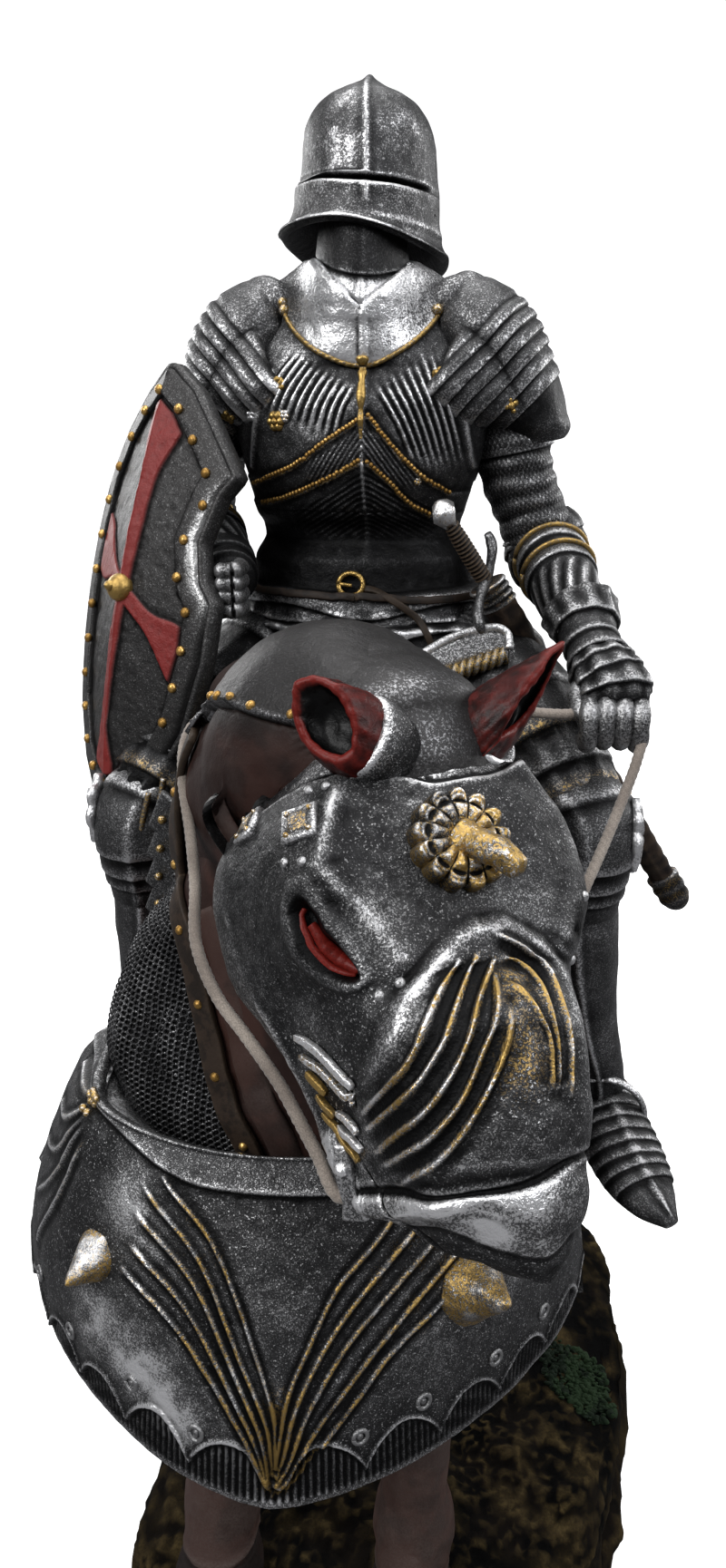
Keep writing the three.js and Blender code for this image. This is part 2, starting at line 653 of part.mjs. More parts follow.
function reinGeometry(route, grow) {
  const curve = new THREE.CatmullRomCurve3(route.map(([x, y, z]) => new THREE.Vector3(x, y, z)));
  const diametersPerStep = 3;
  const radius = reinDiameter / 2 + grow;
  const sides = 8;
  const section = new THREE.Shape(Array.from({ length: sides }, (_, i) => {
    const angle = (i / sides) * 2 * Math.PI;
    return new THREE.Vector2(radius * Math.cos(angle), radius * Math.sin(angle));
  }));
  return new THREE.ExtrudeGeometry(section, {
    steps: Math.round(curve.getLength() / (diametersPerStep * reinDiameter)),
    bevelEnabled: false,
    extrudePath: curve,
  });
}

function knightSolid() {
  const body = joined([torso(), helmet(), pauldron(-1), pauldron(1), arms(), ridersLegs()]);
  const horseUnderRider = joined([
    barrel(fitGap), neck(fitGap), saddle(fitGap), crinet(fitGap), peytralBell(fitGap),
  ]);
  return body.subtract(horseUnderRider).subtract(shieldSolid(fitGap)).subtract(swordSolid(fitGap));
}

// The rock: a wavy oval with stepped sides, flat below, uneven above.
function rockSolid() {
  const wave = (angle) => 1 + 0.05 * Math.sin(3 * angle + 0.6) + 0.035 * Math.sin(5 * angle + 2.1)
    + 0.02 * Math.sin(9 * angle);
  const levels = [
    [0, 0.97], [0.28, 1], [0.42, baseWaist], [0.7, 0.97], [0.9, 0.95], [1, 0.86], [1.04, 0.55], [1, 0.2],
  ];
  const sides = 28;
  const rings = levels.map(([rise, reach], i) => Array.from({ length: sides }, (_, k) => {
    const angle = (k / sides) * 2 * Math.PI;
    const [w, d] = roundedPoint(angle, 2.6);
    const ragged = i === 0 ? 1 : 1 + 0.022 * Math.sin(7 * angle + i * 1.7) + 0.015 * Math.sin(13 * angle - i);
    const bump = i < 3 ? 0 : 1.2 * Math.sin(4 * angle + i * 2.2) + 0.8 * Math.sin(9 * angle + i);
    return new THREE.Vector3(
      baseCentreX + w * (baseWidth / 2) * reach * wave(angle) * ragged,
      baseCentreY + d * (baseLength / 2) * reach * wave(angle) * ragged,
      (rise - 1) * baseThickness + bump);
  }));
  return surfaceThrough(rings);
}

function meshOf(name, solid, colour, roughness, metalness) {
  const { vertProperties, triVerts, numProp } = solid.getMesh();
  const positions = [];
  for (let i = 0; i < vertProperties.length; i += numProp) positions.push(...vertProperties.slice(i, i + 3));
  const geometry = new THREE.BufferGeometry();
  geometry.setAttribute('position', new THREE.Float32BufferAttribute(positions, 3));
  geometry.setIndex(Array.from(triVerts));
  geometry.computeVertexNormals();
  const material = new THREE.MeshStandardMaterial({ color: colour, roughness, metalness });
  const mesh = new THREE.Mesh(geometry, material);
  mesh.name = name;
  return mesh;
}

const reinSolid = (route, grow = 0) => solidFromGeometry(reinGeometry(route, grow));
const reinHoles = joined(Object.values(reinRoutes).map((route) => reinSolid(route, fitGap)));
const sword = swordSolid();
const shield = shieldSolid();
const horse = horseSolid().subtract(reinHoles);
const knight = knightSolid().subtract(reinHoles);
const rock = rockSolid().subtract(legs(fitGap));

// Everything above is written from hoof level, so the group lifts it onto the underside at zero.
const figure = new THREE.Group();
figure.position.z = baseThickness;
figure.add(
  meshOf('horse', horse, 0x2b2622, 0.45, 0.6),
  meshOf('knight', knight, 0x55575a, 0.4, 0.8),
  meshOf('shield', shield, 0x3a3a3c, 0.5, 0.6),
  meshOf('sword', sword, 0x3b2a20, 0.5, 0.3),
  meshOf('rock_base', rock, 0x1d1815, 0.8, 0),
  ...Object.entries(reinRoutes).map(([name, route]) => meshOf(name, reinSolid(route), 0xb9a795, 0.9, 0)),
);

const model = new THREE.Group();
model.add(figure);

export default model;
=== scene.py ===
import math

import bpy
import numpy as np
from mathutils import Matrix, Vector
from mathutils.bvhtree import BVHTree


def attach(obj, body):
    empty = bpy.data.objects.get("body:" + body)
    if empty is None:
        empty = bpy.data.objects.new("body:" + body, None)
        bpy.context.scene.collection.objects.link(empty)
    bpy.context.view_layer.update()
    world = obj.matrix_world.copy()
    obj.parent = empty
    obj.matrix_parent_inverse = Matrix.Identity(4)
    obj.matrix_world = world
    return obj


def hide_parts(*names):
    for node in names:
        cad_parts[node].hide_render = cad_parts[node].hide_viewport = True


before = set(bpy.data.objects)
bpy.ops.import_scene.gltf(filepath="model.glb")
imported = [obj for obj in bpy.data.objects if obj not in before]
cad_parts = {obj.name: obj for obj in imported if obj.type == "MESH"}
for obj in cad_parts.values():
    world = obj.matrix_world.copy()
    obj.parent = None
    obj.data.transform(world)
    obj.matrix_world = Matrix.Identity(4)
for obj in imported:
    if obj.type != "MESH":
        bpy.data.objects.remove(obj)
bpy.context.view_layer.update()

# Shapes are written in millimetres above the hooves, facing -Y, and lifted onto the underside.
hoofLevel = 28.0
millimetre = 0.001


def toFrame(points):
    return (np.asarray(points, float) + (0, 0, hoofLevel)) * millimetre


# Camera

cameraValues = {"place": (0.030, -0.212, 0.250), "yaw": 8.2, "pitch": 18.5, "lens": 24.57}


def makeCamera(values):
    data = bpy.data.cameras.new("camera")
    data.lens = values["lens"]
    data.sensor_width = 36
    data.clip_start = 0.005
    data.clip_end = 10
    camera = bpy.data.objects.new("camera", data)
    camera.location = values["place"]
    camera.rotation_euler = (math.radians(90 - values["pitch"]), 0, math.radians(values["yaw"]))
    bpy.context.scene.collection.objects.link(camera)
    bpy.context.scene.camera = camera


makeCamera(cameraValues)


# Small mathematics for rows of points

def unit(v):
    return v / np.maximum(np.linalg.norm(v, axis=-1, keepdims=True), 1e-9)


def rise(x, low, high):
    # 0 below low, 1 above high, smooth between
    t = np.clip((x - low) / (high - low), 0, 1)
    return t * t * (3 - 2 * t)


def hill(d, width):
    return np.exp(-(np.asarray(d) / width) ** 2)


def squared(v, roundness):
    return np.sign(v) * np.abs(v) ** (2 / roundness)


def flowing(rows, count, knots=None):
    # a smooth run through the rows that never swings past them
    rows = np.asarray(rows, float)
    t = np.arange(len(rows), dtype=float) if knots is None else np.asarray(knots, float)
    h = np.diff(t)[:, None]
    d = np.diff(rows, axis=0) / h
    m = np.zeros_like(rows)
    same = d[:-1] * d[1:] > 0
    w1 = 2 * h[1:] + h[:-1]
    w2 = h[1:] + 2 * h[:-1]
    safe0 = np.where(same, d[:-1], 1)
    safe1 = np.where(same, d[1:], 1)
    m[1:-1] = np.where(same, (w1 + w2) / (w1 / safe0 + w2 / safe1), 0)
    m[0] = d[0]
    m[-1] = d[-1]
    x = np.linspace(t[0], t[-1], count) if np.ndim(count) == 0 else np.asarray(count)
    i = np.clip(np.searchsorted(t, x, side="right") - 1, 0, len(t) - 2)
    s = ((x - t[i]) / h[i, 0])[:, None]
    return ((2 * s**3 - 3 * s**2 + 1) * rows[i] + (s**3 - 2 * s**2 + s) * h[i] * m[i]
            + (3 * s**2 - 2 * s**3) * rows[i + 1] + (s**3 - s**2) * h[i] * m[i + 1])


def chords(points):
    return np.concatenate([[0], np.cumsum(np.linalg.norm(np.diff(points, axis=0), axis=1))])


def even(points, step=None, count=None):
    # points spaced evenly along a smooth line
    points = np.asarray(points, float)
    knots = chords(points)
    if count is None:
        count = max(3, int(round(knots[-1] / step)) + 1)
    return flowing(points, count, knots)


def near(points, line):
    # distance from each point to a polyline, and the share of its length
    points = np.asarray(points, float)
    line = np.asarray(line, float)
    lengths = chords(line)
    best = np.full(points.shape[:-1], 1e9)
    share = np.zeros(points.shape[:-1])
    for k in range(len(line) - 1):
        a = line[k]
        ab = line[k + 1] - a
        t = np.clip(((points - a) @ ab) / (ab @ ab), 0, 1)
        d = np.linalg.norm(points - a - t[..., None] * ab, axis=-1)
        closer = d < best
        best = np.where(closer, d, best)
        share = np.where(closer, (lengths[k] + t * (lengths[k + 1] - lengths[k])) / lengths[-1], share)
    return best, share


def noise3(points, cell, seed=0):
    # smooth value noise from -1 to 1
    q = np.asarray(points, float) / cell + seed * 17.3
    i = np.floor(q)
    f = q - i
    f = f * f * (3 - 2 * f)
    total = np.zeros(q.shape[:-1])
    for corner in np.ndindex(2, 2, 2):
        c = i + corner
        value = np.sin(c[..., 0] * 12.9898 + c[..., 1] * 78.233 + c[..., 2] * 37.719) * 43758.5453
        value = value - np.floor(value)
        weight = np.prod(np.where(np.array(corner) == 1, f, 1 - f), axis=-1)
        total += weight * value
    return total * 2 - 1


def rough3(points, cell, seed=0, octaves=3):
    total = 0
    for k in range(octaves):
        total = total + noise3(points, cell / 2**k, seed + k) / 2**k
    return total


# Surfaces as grids of points: rows run along, columns run round

def gridNormals(grid, loop=True, outward=None):
    along = np.gradient(grid, axis=0)
    if loop:
        across = (np.roll(grid, -1, 1) - np.roll(grid, 1, 1)) / 2
    else:
        across = np.gradient(grid, axis=1)
    n = unit(np.cross(along, across))
    if outward is None:
        outward = grid - grid.mean(axis=1, keepdims=True)
    return n if (n * outward).sum() > 0 else -n


def raised(grid, height, loop=True, outward=None):
    return grid + gridNormals(grid, loop, outward) * np.asarray(height)[..., None]


def tube(stations, facing=(0, -1, 0), rings=40, sides=48, roundness=2.0, knots="chord"):
    # sections square to a path of [x, y, z, halfWidth, halfDepth]
    stations = np.asarray(stations, float)
    rows = flowing(stations, rings, chords(stations[:, :3]) if knots == "chord" else None)
    centre = rows[:, :3]
    along = unit(np.gradient(centre, axis=0))
    deep = np.asarray(facing, float) - (along @ np.asarray(facing, float))[:, None] * along
    deep = unit(deep)
    wide = np.cross(along, deep)
    angle = np.arange(sides) / sides * 2 * math.pi
    w = squared(np.cos(angle), roundness)[None, :, None] * rows[:, 3, None, None]
    d = squared(np.sin(angle), roundness)[None, :, None] * rows[:, 4, None, None]
    return centre[:, None] + wide[:, None] * w + deep[:, None] * d


def facingOut(part):
    v = part["v"]
    q = part["q"]
    total = 0.0
    for a, b, c in ((0, 1, 2), (0, 2, 3)):
        total += np.einsum("ij,ij->i", v[q[:, a]], np.cross(v[q[:, b]], v[q[:, c]])).sum()
    t = part["t"]
    if len(t):
        total += np.einsum("ij,ij->i", v[t[:, 0]], np.cross(v[t[:, 1]], v[t[:, 2]])).sum()
    if total < 0:
        part["q"] = q[:, ::-1]
        part["t"] = t[:, ::-1]
    return part


def loft(grid, marks=None, slot=0, wear=1.0):
    # a closed solid from rings, with a hub at each end
    rows, cols = grid.shape[:2]
    i = np.arange(rows * cols).reshape(rows, cols)
    j = np.roll(i, -1, 1)
    quads = np.stack([i[:-1], j[:-1], j[1:], i[1:]], -1).reshape(-1, 4)
    hubs = rows * cols + np.arange(2)
    first = np.stack([j[0], i[0], np.full(cols, hubs[0])], -1)
    last = np.stack([i[-1], j[-1], np.full(cols, hubs[1])], -1)
    v = np.concatenate([grid.reshape(-1, 3), grid[[0, -1]].mean(axis=1)])
    flat = {}
    for name, mark in (marks or {}).items():
        mark = np.broadcast_to(mark, (rows, cols))
        flat[name] = np.concatenate([mark.ravel(), mark[[0, -1]].mean(axis=1)])
    part = {"v": v, "q": quads, "t": np.concatenate([first, last]), "marks": flat, "slot": slot,
        "wear": wear}
    return facingOut(part)


def plate(grid, thickness, marks=None, slot=0, outward=None, wear=1.0):
    # a sheet of points given a wall on its inner side, closed round its edges
    rows, cols = grid.shape[:2]
    inner = grid - gridNormals(grid, False, outward) * thickness
    i = np.arange(rows * cols).reshape(rows, cols)
    k = i + rows * cols
    quads = [np.stack([i[:-1, :-1], i[:-1, 1:], i[1:, 1:], i[1:, :-1]], -1).reshape(-1, 4)]
    quads.append(np.stack([k[:-1, :-1], k[1:, :-1], k[1:, 1:], k[:-1, 1:]], -1).reshape(-1, 4))
    for a, b in ((i[0], k[0]), (i[-1][::-1], k[-1][::-1]), (i[::-1, 0], k[::-1, 0]), (i[:, -1], k[:, -1])):
        quads.append(np.stack([a[1:], a[:-1], b[:-1], b[1:]], -1))
    v = np.concatenate([grid.reshape(-1, 3), inner.reshape(-1, 3)])
    flat = {}
    for name, mark in (marks or {}).items():
        mark = np.broadcast_to(mark, (rows, cols)).ravel()
        flat[name] = np.concatenate([mark, mark * 0])
    part = {"v": v, "q": np.concatenate(quads), "t": np.zeros((0, 3), int), "marks": flat,
            "slot": slot, "wear": wear}
    return facingOut(part)


def ribbon(points, normals, width, height, sides=8, roundness=2.0, twist=0.0, strands=2, depth=0.22,
           marks=None, slot=0, wear=1.0):
    # a strap, wire or rope along points, square to their normals
    points = np.asarray(points, float)
    along = unit(np.gradient(points, axis=0))
    up = unit(normals - (normals * along).sum(-1, keepdims=True) * along)
    side = np.cross(along, up)
    angle = np.arange(sides) / sides * 2 * math.pi
    width = np.broadcast_to(width, len(points))[:, None]
    height = np.broadcast_to(height, len(points))[:, None]
    swell = 1.0
    if twist:
        swell = 1 + depth * (np.abs(np.cos(strands / 2 * (angle[None] - twist * chords(points)[:, None])))
            - 0.6)
    w = squared(np.cos(angle), roundness)[None] * width / 2 * swell
    u = squared(np.sin(angle), roundness)[None] * height / 2 * swell
    grid = points[:, None] + side[:, None] * w[..., None] + up[:, None] * u[..., None]
    return loft(grid, marks, slot, wear)


def treeOf(parts):
    v = []
    f = []
    start = 0
    for part in parts:
        v.append(part["v"])
        f.extend((part["q"] + start).tolist())
        f.extend((part["t"] + start).tolist())
        start += len(part["v"])
    return BVHTree.FromPolygons(np.concatenate(v).tolist(), f)


def onto(tree, points, lift=0.0):
    # the nearest places on a surface, with their normals
    found = [tree.find_nearest(Vector(p)) for p in np.asarray(points, float)]
    spots = np.array([f[0] for f in found])
    normals = np.array([f[1] for f in found])
    return spots + normals * lift, normals


def softened(rows, times=3):
    rows = rows.copy()
    for _ in range(times):
        rows[1:-1] = (rows[:-2] + 2 * rows[1:-1] + rows[2:]) / 4
    return rows


def dome(centre, normal, radius, height, slot=0, marks=None, sides=10, flat=2.0):
    # a rivet head standing on a surface
    normal = unit(np.asarray(normal, float))
    share = np.array([0.0, 0.35, 0.62, 0.83, 0.96, 1.0])
    up = np.cross(normal, (0.3, 0.9, 0.2))
    a = unit(up)
    b = np.cross(normal, a)
    angle = np.arange(sides) / sides * 2 * math.pi
    ring = np.cos(angle)[:, None] * a + np.sin(angle)[:, None] * b
    radii = radius * (1 - share**flat) ** (1 / flat)
    radii[-1] = radius * 0.08
    grid = np.asarray(centre)[None, None] + ring[None] * radii[:, None, None] + normal * (share * height)[:,
        None, None]
    low = grid[:1] - normal * height * 0.5
    return loft(np.concatenate([low, grid]), marks, slot)


# Finished pieces

def wearAndHollowShadeOf(part):
    # how much each point stands out of, or lies below, its neighbours: standing out brings rubbed wear,
    # lying below brings painted shade
    v = part["v"]
    q = part["q"]
    t = part["t"]
    n = np.zeros_like(v)
    qn = np.cross(v[q[:, 2]] - v[q[:, 0]], v[q[:, 3]] - v[q[:, 1]])
    corners = [(q[:, k], qn) for k in range(4)]
    pairs = [q[:, [0, 1]], q[:, [1, 2]], q[:, [2, 3]], q[:, [3, 0]]]
    if len(t):
        tn = np.cross(v[t[:, 1]] - v[t[:, 0]], v[t[:, 2]] - v[t[:, 0]])
        corners += [(t[:, k], tn) for k in range(3)]
        pairs += [t[:, [0, 1]], t[:, [1, 2]], t[:, [2, 0]]]
    for index, normal in corners:
        for axis in range(3):
            n[:, axis] += np.bincount(index, normal[:, axis], len(v))
    n = unit(n)
    pairs = np.concatenate(pairs)
    count = np.maximum(np.bincount(pairs[:, 0], minlength=len(v)), 1)
    middle = np.stack([np.bincount(pairs[:, 0], v[pairs[:, 1], a], len(v)) for a in range(3)], -1)
    middle /= count[:, None]
    gap = np.bincount(pairs[:, 0], ((v[pairs[:, 0]] - v[pairs[:, 1]]) ** 2).sum(-1), len(v)) / count
    bend = -((middle - v) * n).sum(-1) / np.maximum(gap, 1e-4) * 4
    bend = np.clip(bend, -3, 3)
    for _ in range(2):
        bend = 0.5 * bend + 0.5 * np.bincount(pairs[:, 0], bend[pairs[:, 1]], len(v)) / count
    return bend * part["wear"]


# the share of its faces that a carved piece keeps, most of them where it bends
lightening = {"from": 7000, "share": 0.28, "horse_head_armour": 0.42, "horse_chest_plate": 0.37,
              "knight_body": 0.33, "horse_hide": 0.25, "rock_carved": 0.27, "knight_legs": 0.21,
              "horse_ears": 0.4, "knight_arms": 0.25, "horse_crinet": 0.25, "knight_helmet": 0.29,
              "shield_painted": 0.25, "rein_right_side_string": 1.0, "rein_left_side_string": 1.0}


def lightened(piece, share):
    modifier = piece.modifiers.new("lighten", "DECIMATE")
    modifier.decimate_type = "COLLAPSE"
    modifier.ratio = share
    modifier.use_collapse_triangulate = True
    shown = bpy.context.evaluated_depsgraph_get()
    lighter = bpy.data.meshes.new_from_object(piece.evaluated_get(shown))
    name = piece.name
    heavy = piece.data
    bpy.data.objects.remove(piece)
    bpy.data.meshes.remove(heavy)
    lighter.name = name
    made = bpy.data.objects.new(name, lighter)
    bpy.context.scene.collection.objects.link(made)
    return made


def makePiece(name, parts, materials, node):
    count = sum(len(p["v"]) for p in parts)
    start = 0
    loops = []
    sizes = []
    slots = []
    v = np.concatenate([p["v"] for p in parts])
    marks = {key: np.zeros(count, np.float32) for key in ("rub", "gilt", "red", "dark", "edge")}
    for p in parts:
        stop = start + len(p["v"])
        for key, mark in p["marks"].items():
            marks[key][start:stop] = mark
        marks["edge"][start:stop] = wearAndHollowShadeOf(p)
        for faces in (p["q"], p["t"]):
            loops.append((faces + start).ravel())
            sizes.append(np.full(len(faces), faces.shape[1]))
            slots.append(np.full(len(faces), p["slot"]))
        start = stop
    loops = np.concatenate(loops)
    sizes = np.concatenate(sizes)
    mesh = bpy.data.meshes.new(name)
    mesh.vertices.add(count)
    mesh.vertices.foreach_set("co", toFrame(v).astype(np.float32).ravel())
    mesh.loops.add(len(loops))
    mesh.loops.foreach_set("vertex_index", loops.astype(np.int32))
    mesh.polygons.add(len(sizes))
    mesh.polygons.foreach_set("loop_start", np.concatenate([[0], np.cumsum(sizes)[:-1]]).astype(np.int32))
    mesh.polygons.foreach_set("material_index", np.concatenate(slots).astype(np.int32))
    mesh.update(calc_edges=True)
    mesh.shade_smooth()
    for key, mark in marks.items():
        mesh.attributes.new(key, "FLOAT", "POINT").data.foreach_set("value", mark.astype(np.float32))
    for material in materials:
        mesh.materials.append(material)
    piece = bpy.data.objects.new(name, mesh)
    bpy.context.scene.collection.objects.link(piece)
    if len(sizes) > lightening["from"]:
        piece = lightened(piece, lightening.get(name, lightening["share"]))
    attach(piece, "root")
    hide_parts(node)
    print(name, sum(len(face.vertices) - 2 for face in piece.data.polygons), "triangles")
    return piece


# Shader groups

def newGroup(name, inputs, outputs):
    tree = bpy.data.node_groups.new(name, "ShaderNodeTree")
    for label, kind, value in inputs:
        socket = tree.interface.new_socket(label, in_out="INPUT", socket_type=kind)
        socket.default_value = value
    for label, kind in outputs:
        tree.interface.new_socket(label, in_out="OUTPUT", socket_type=kind)
    return tree, tree.nodes.new("NodeGroupInput"), tree.nodes.new("NodeGroupOutput")


def addNode(tree, kind, inputs=None, **settings):
    node = tree.nodes.new(kind)
    for key, value in settings.items():
        setattr(node, key, value)
    for key, value in (inputs or {}).items():
        if isinstance(value, bpy.types.NodeSocket):
            tree.links.new(value, node.inputs[key])
        else:
            node.inputs[key].default_value = value
    return node


def mathNode(tree, operation, a, b=0.0, clamp=False):
    return addNode(tree, "ShaderNodeMath", {0: a, 1: b}, operation=operation, use_clamp=clamp).outputs[0]


def mixColour(tree, factor, a, b, mode="MIX"):
    node = addNode(tree, "ShaderNodeMix", {"Factor": factor}, data_type="RGBA", blend_type=mode)
    for socket, value in ((node.inputs[6], a), (node.inputs[7], b)):
        if isinstance(value, bpy.types.NodeSocket):
            tree.links.new(value, socket)
        else:
            socket.default_value = value
    return node.outputs[2]


def rampUp(tree, value, low, high):
    return addNode(tree, "ShaderNodeMapRange", {"Value": value, "From Min": low, "From Max": high},
                   interpolation_type="SMOOTHSTEP").outputs["Result"]


def grainGroup():
    # the grain of a cold casting: fine sparkle, broad patches and the height of the surface
    tree, given, out = newGroup("castGrain", [("Fine", "NodeSocketFloat", 3600),
        ("Broad", "NodeSocketFloat", 110)], [("Sparkle", "NodeSocketFloat"), ("Patches", "NodeSocketFloat"),
        ("Height", "NodeSocketFloat"), ("Grain", "NodeSocketFloat")])
    place = addNode(tree, "ShaderNodeTexCoord").outputs["Object"]
    fine = addNode(tree, "ShaderNodeTexNoise", {"Vector": place, "Scale": given.outputs["Fine"],
        "Detail": 2.0, "Roughness": 0.7}).outputs[0]
    middle = addNode(tree, "ShaderNodeTexNoise",
                     {"Vector": place, "Scale": mathNode(tree, "MULTIPLY", given.outputs["Fine"], 0.28),
                      "Detail": 2.0}).outputs[0]
    broad = addNode(tree, "ShaderNodeTexNoise", {"Vector": place, "Scale": given.outputs["Broad"],
        "Detail": 4.0, "Roughness": 0.62}).outputs[0]
    tree.links.new(rampUp(tree, fine, 0.58, 0.72), out.inputs["Sparkle"])
    tree.links.new(rampUp(tree, broad, 0.36, 0.64), out.inputs["Patches"])
    height = mathNode(tree, "ADD", mathNode(tree, "MULTIPLY", fine, 0.5),
        mathNode(tree, "MULTIPLY", middle, 0.8))
    tree.links.new(height, out.inputs["Height"])
    tree.links.new(fine, out.inputs["Grain"])
    return tree


def paintGroup():
    # black metallic paint, rubbed silver where it stands out and painted highlights where the rub mark asks,
    # with gold and red over it, and painted shade in hollows and where the shade mark asks
    tree, given, out = newGroup("rubbedPaint", [("Base", "NodeSocketColor", (0.03, 0.03, 0.032, 1)),
        ("Silver", "NodeSocketColor", (0.6, 0.6, 0.61, 1)),
        ("Gold", "NodeSocketColor", (0.38, 0.25, 0.08, 1)),
        ("Red", "NodeSocketColor", (0.085, 0.006, 0.004, 1)), ("Edge", "NodeSocketFloat", 0),
        ("RubAndHighlight", "NodeSocketFloat", 0), ("Gilt", "NodeSocketFloat", 0), ("RedPaint", "NodeSocketFloat", 0),
        ("ShadeAndDark", "NodeSocketFloat", 0), ("Sparkle", "NodeSocketFloat", 0), ("Patches", "NodeSocketFloat", 0),
        ("Grain", "NodeSocketFloat", 0.5), ("EdgeGain", "NodeSocketFloat", 0.7),
        ("Haze", "NodeSocketFloat", 0.12), ("SparkleGain", "NodeSocketFloat", 0.3)],
        [("Colour", "NodeSocketColor"), ("Roughness", "NodeSocketFloat"), ("Metal", "NodeSocketFloat")])
    g = given.outputs
    worn = mathNode(tree, "MULTIPLY", mathNode(tree, "MAXIMUM", g["Edge"], 0.0), g["EdgeGain"])
    haze = mathNode(tree, "MULTIPLY", g["Patches"], g["Haze"])
    # the rub mark holds rubbed silver and, in places, painted highlights
    silver = mathNode(tree, "ADD", mathNode(tree, "ADD", worn, g["RubAndHighlight"]), haze)
    # the rubbed silver and the painted highlights catch the grain: strong cover hides it, weak cover only
    # touches the high points
    tooth = rampUp(tree, g["Grain"], 0.36, 0.64)
    broken = mathNode(tree, "MULTIPLY", mathNode(tree, "SUBTRACT", mathNode(tree, "MULTIPLY", silver, 1.5),
        tooth), 2.2, clamp=True)
    broken = mathNode(tree, "MULTIPLY", broken, mathNode(tree, "ADD",
        mathNode(tree, "MULTIPLY", silver, 0.6), 0.35))
    silver = mathNode(tree, "ADD", mathNode(tree, "MULTIPLY", silver, 0.22), broken)
    silver = mathNode(tree, "ADD", silver, mathNode(tree, "MULTIPLY", g["Sparkle"], g["SparkleGain"]))
    # painted shade: hollows and the shade mark darken the colour and take off the silver and some of the
    # gold
    hollow = mathNode(tree, "MULTIPLY", mathNode(tree, "MAXIMUM",
        mathNode(tree, "MULTIPLY", g["Edge"], -1.0), 0.0), 0.9)
    shade = mathNode(tree, "MINIMUM", mathNode(tree, "ADD", hollow, g["ShadeAndDark"]), 1.0)
    silver = mathNode(tree, "MULTIPLY", silver, mathNode(tree, "SUBTRACT", 1.0, shade), clamp=True)
    colour = mixColour(tree, silver, g["Base"], g["Silver"])
    giltCover = mathNode(tree, "MULTIPLY", mathNode(tree, "SUBTRACT",
        mathNode(tree, "MULTIPLY", g["Gilt"], 1.9), tooth), 1.6, clamp=True)
    giltCover = mathNode(tree, "MULTIPLY", giltCover, mathNode(tree, "SUBTRACT", 1.0,
        mathNode(tree, "MULTIPLY", hollow, 0.8)), clamp=True)
    colour = mixColour(tree, giltCover, colour, g["Gold"])
    redCover = mathNode(tree, "MULTIPLY", g["RedPaint"], 1.0, clamp=True)
    colour = mixColour(tree, redCover, colour, g["Red"])
    dim = mathNode(tree, "SUBTRACT", 1.0, mathNode(tree, "MULTIPLY", shade, 0.75))
    colour = mixColour(tree, 1.0, colour, addNode(tree, "ShaderNodeCombineColor",
                                                  {0: dim, 1: dim, 2: dim}).outputs[0], "MULTIPLY")
    tree.links.new(colour, out.inputs["Colour"])
    rough = mathNode(tree, "SUBTRACT", 0.52, mathNode(tree, "MULTIPLY", silver, 0.2))
    rough = mathNode(tree, "ADD", rough, mathNode(tree, "MULTIPLY",
        mathNode(tree, "SUBTRACT", g["Grain"], 0.5), 0.25))
    tree.links.new(rough, out.inputs["Roughness"])
    tree.links.new(mathNode(tree, "SUBTRACT", 0.9, mathNode(tree, "MULTIPLY", redCover, 0.85)),
        out.inputs["Metal"])
    return tree


castGrain = grainGroup()
rubbedPaint = paintGroup()


def newMaterial(name):
    material = bpy.data.materials.new(name)
    material.use_nodes = True
    tree = material.node_tree
    shader = tree.nodes["Principled BSDF"]
    return material, tree, shader


def groupNode(tree, group, inputs):
    node = tree.nodes.new("ShaderNodeGroup")
    node.node_tree = group
    for key, value in inputs.items():
        if isinstance(value, bpy.types.NodeSocket):
            tree.links.new(value, node.inputs[key])
        else:
            node.inputs[key].default_value = value
    return node


def attribute(tree, name):
    return addNode(tree, "ShaderNodeAttribute", attribute_name=name).outputs["Fac"]


def addBump(tree, shader, height, strength, distance):
    bump = addNode(tree, "ShaderNodeBump", {"Height": height, "Strength": strength, "Distance": distance})
    tree.links.new(bump.outputs[0], shader.inputs["Normal"])


def castMetal(name, base, silver, fine=2700, broad=110, bump=0.6, specular=0.5, **gains):
    material, tree, shader = newMaterial(name)
    grain = groupNode(tree, castGrain, {"Fine": fine, "Broad": broad}).outputs
    paint = groupNode(tree, rubbedPaint, {"Base": (*base, 1), "Silver": (*silver, 1),
        "Edge": attribute(tree, "edge"), "RubAndHighlight": attribute(tree, "rub"), "Gilt": attribute(tree, "gilt"),
        "RedPaint": attribute(tree, "red"), "ShadeAndDark": attribute(tree, "dark"), "Sparkle": grain["Sparkle"],
        "Patches": grain["Patches"], "Grain": grain["Grain"], **gains}).outputs
    tree.links.new(paint["Colour"], shader.inputs["Base Color"])
    tree.links.new(paint["Roughness"], shader.inputs["Roughness"])
    tree.links.new(paint["Metal"], shader.inputs["Metallic"])
    shader.inputs["Specular IOR Level"].default_value = specular
    addBump(tree, shader, grain["Height"], bump, 0.00025)
    return material


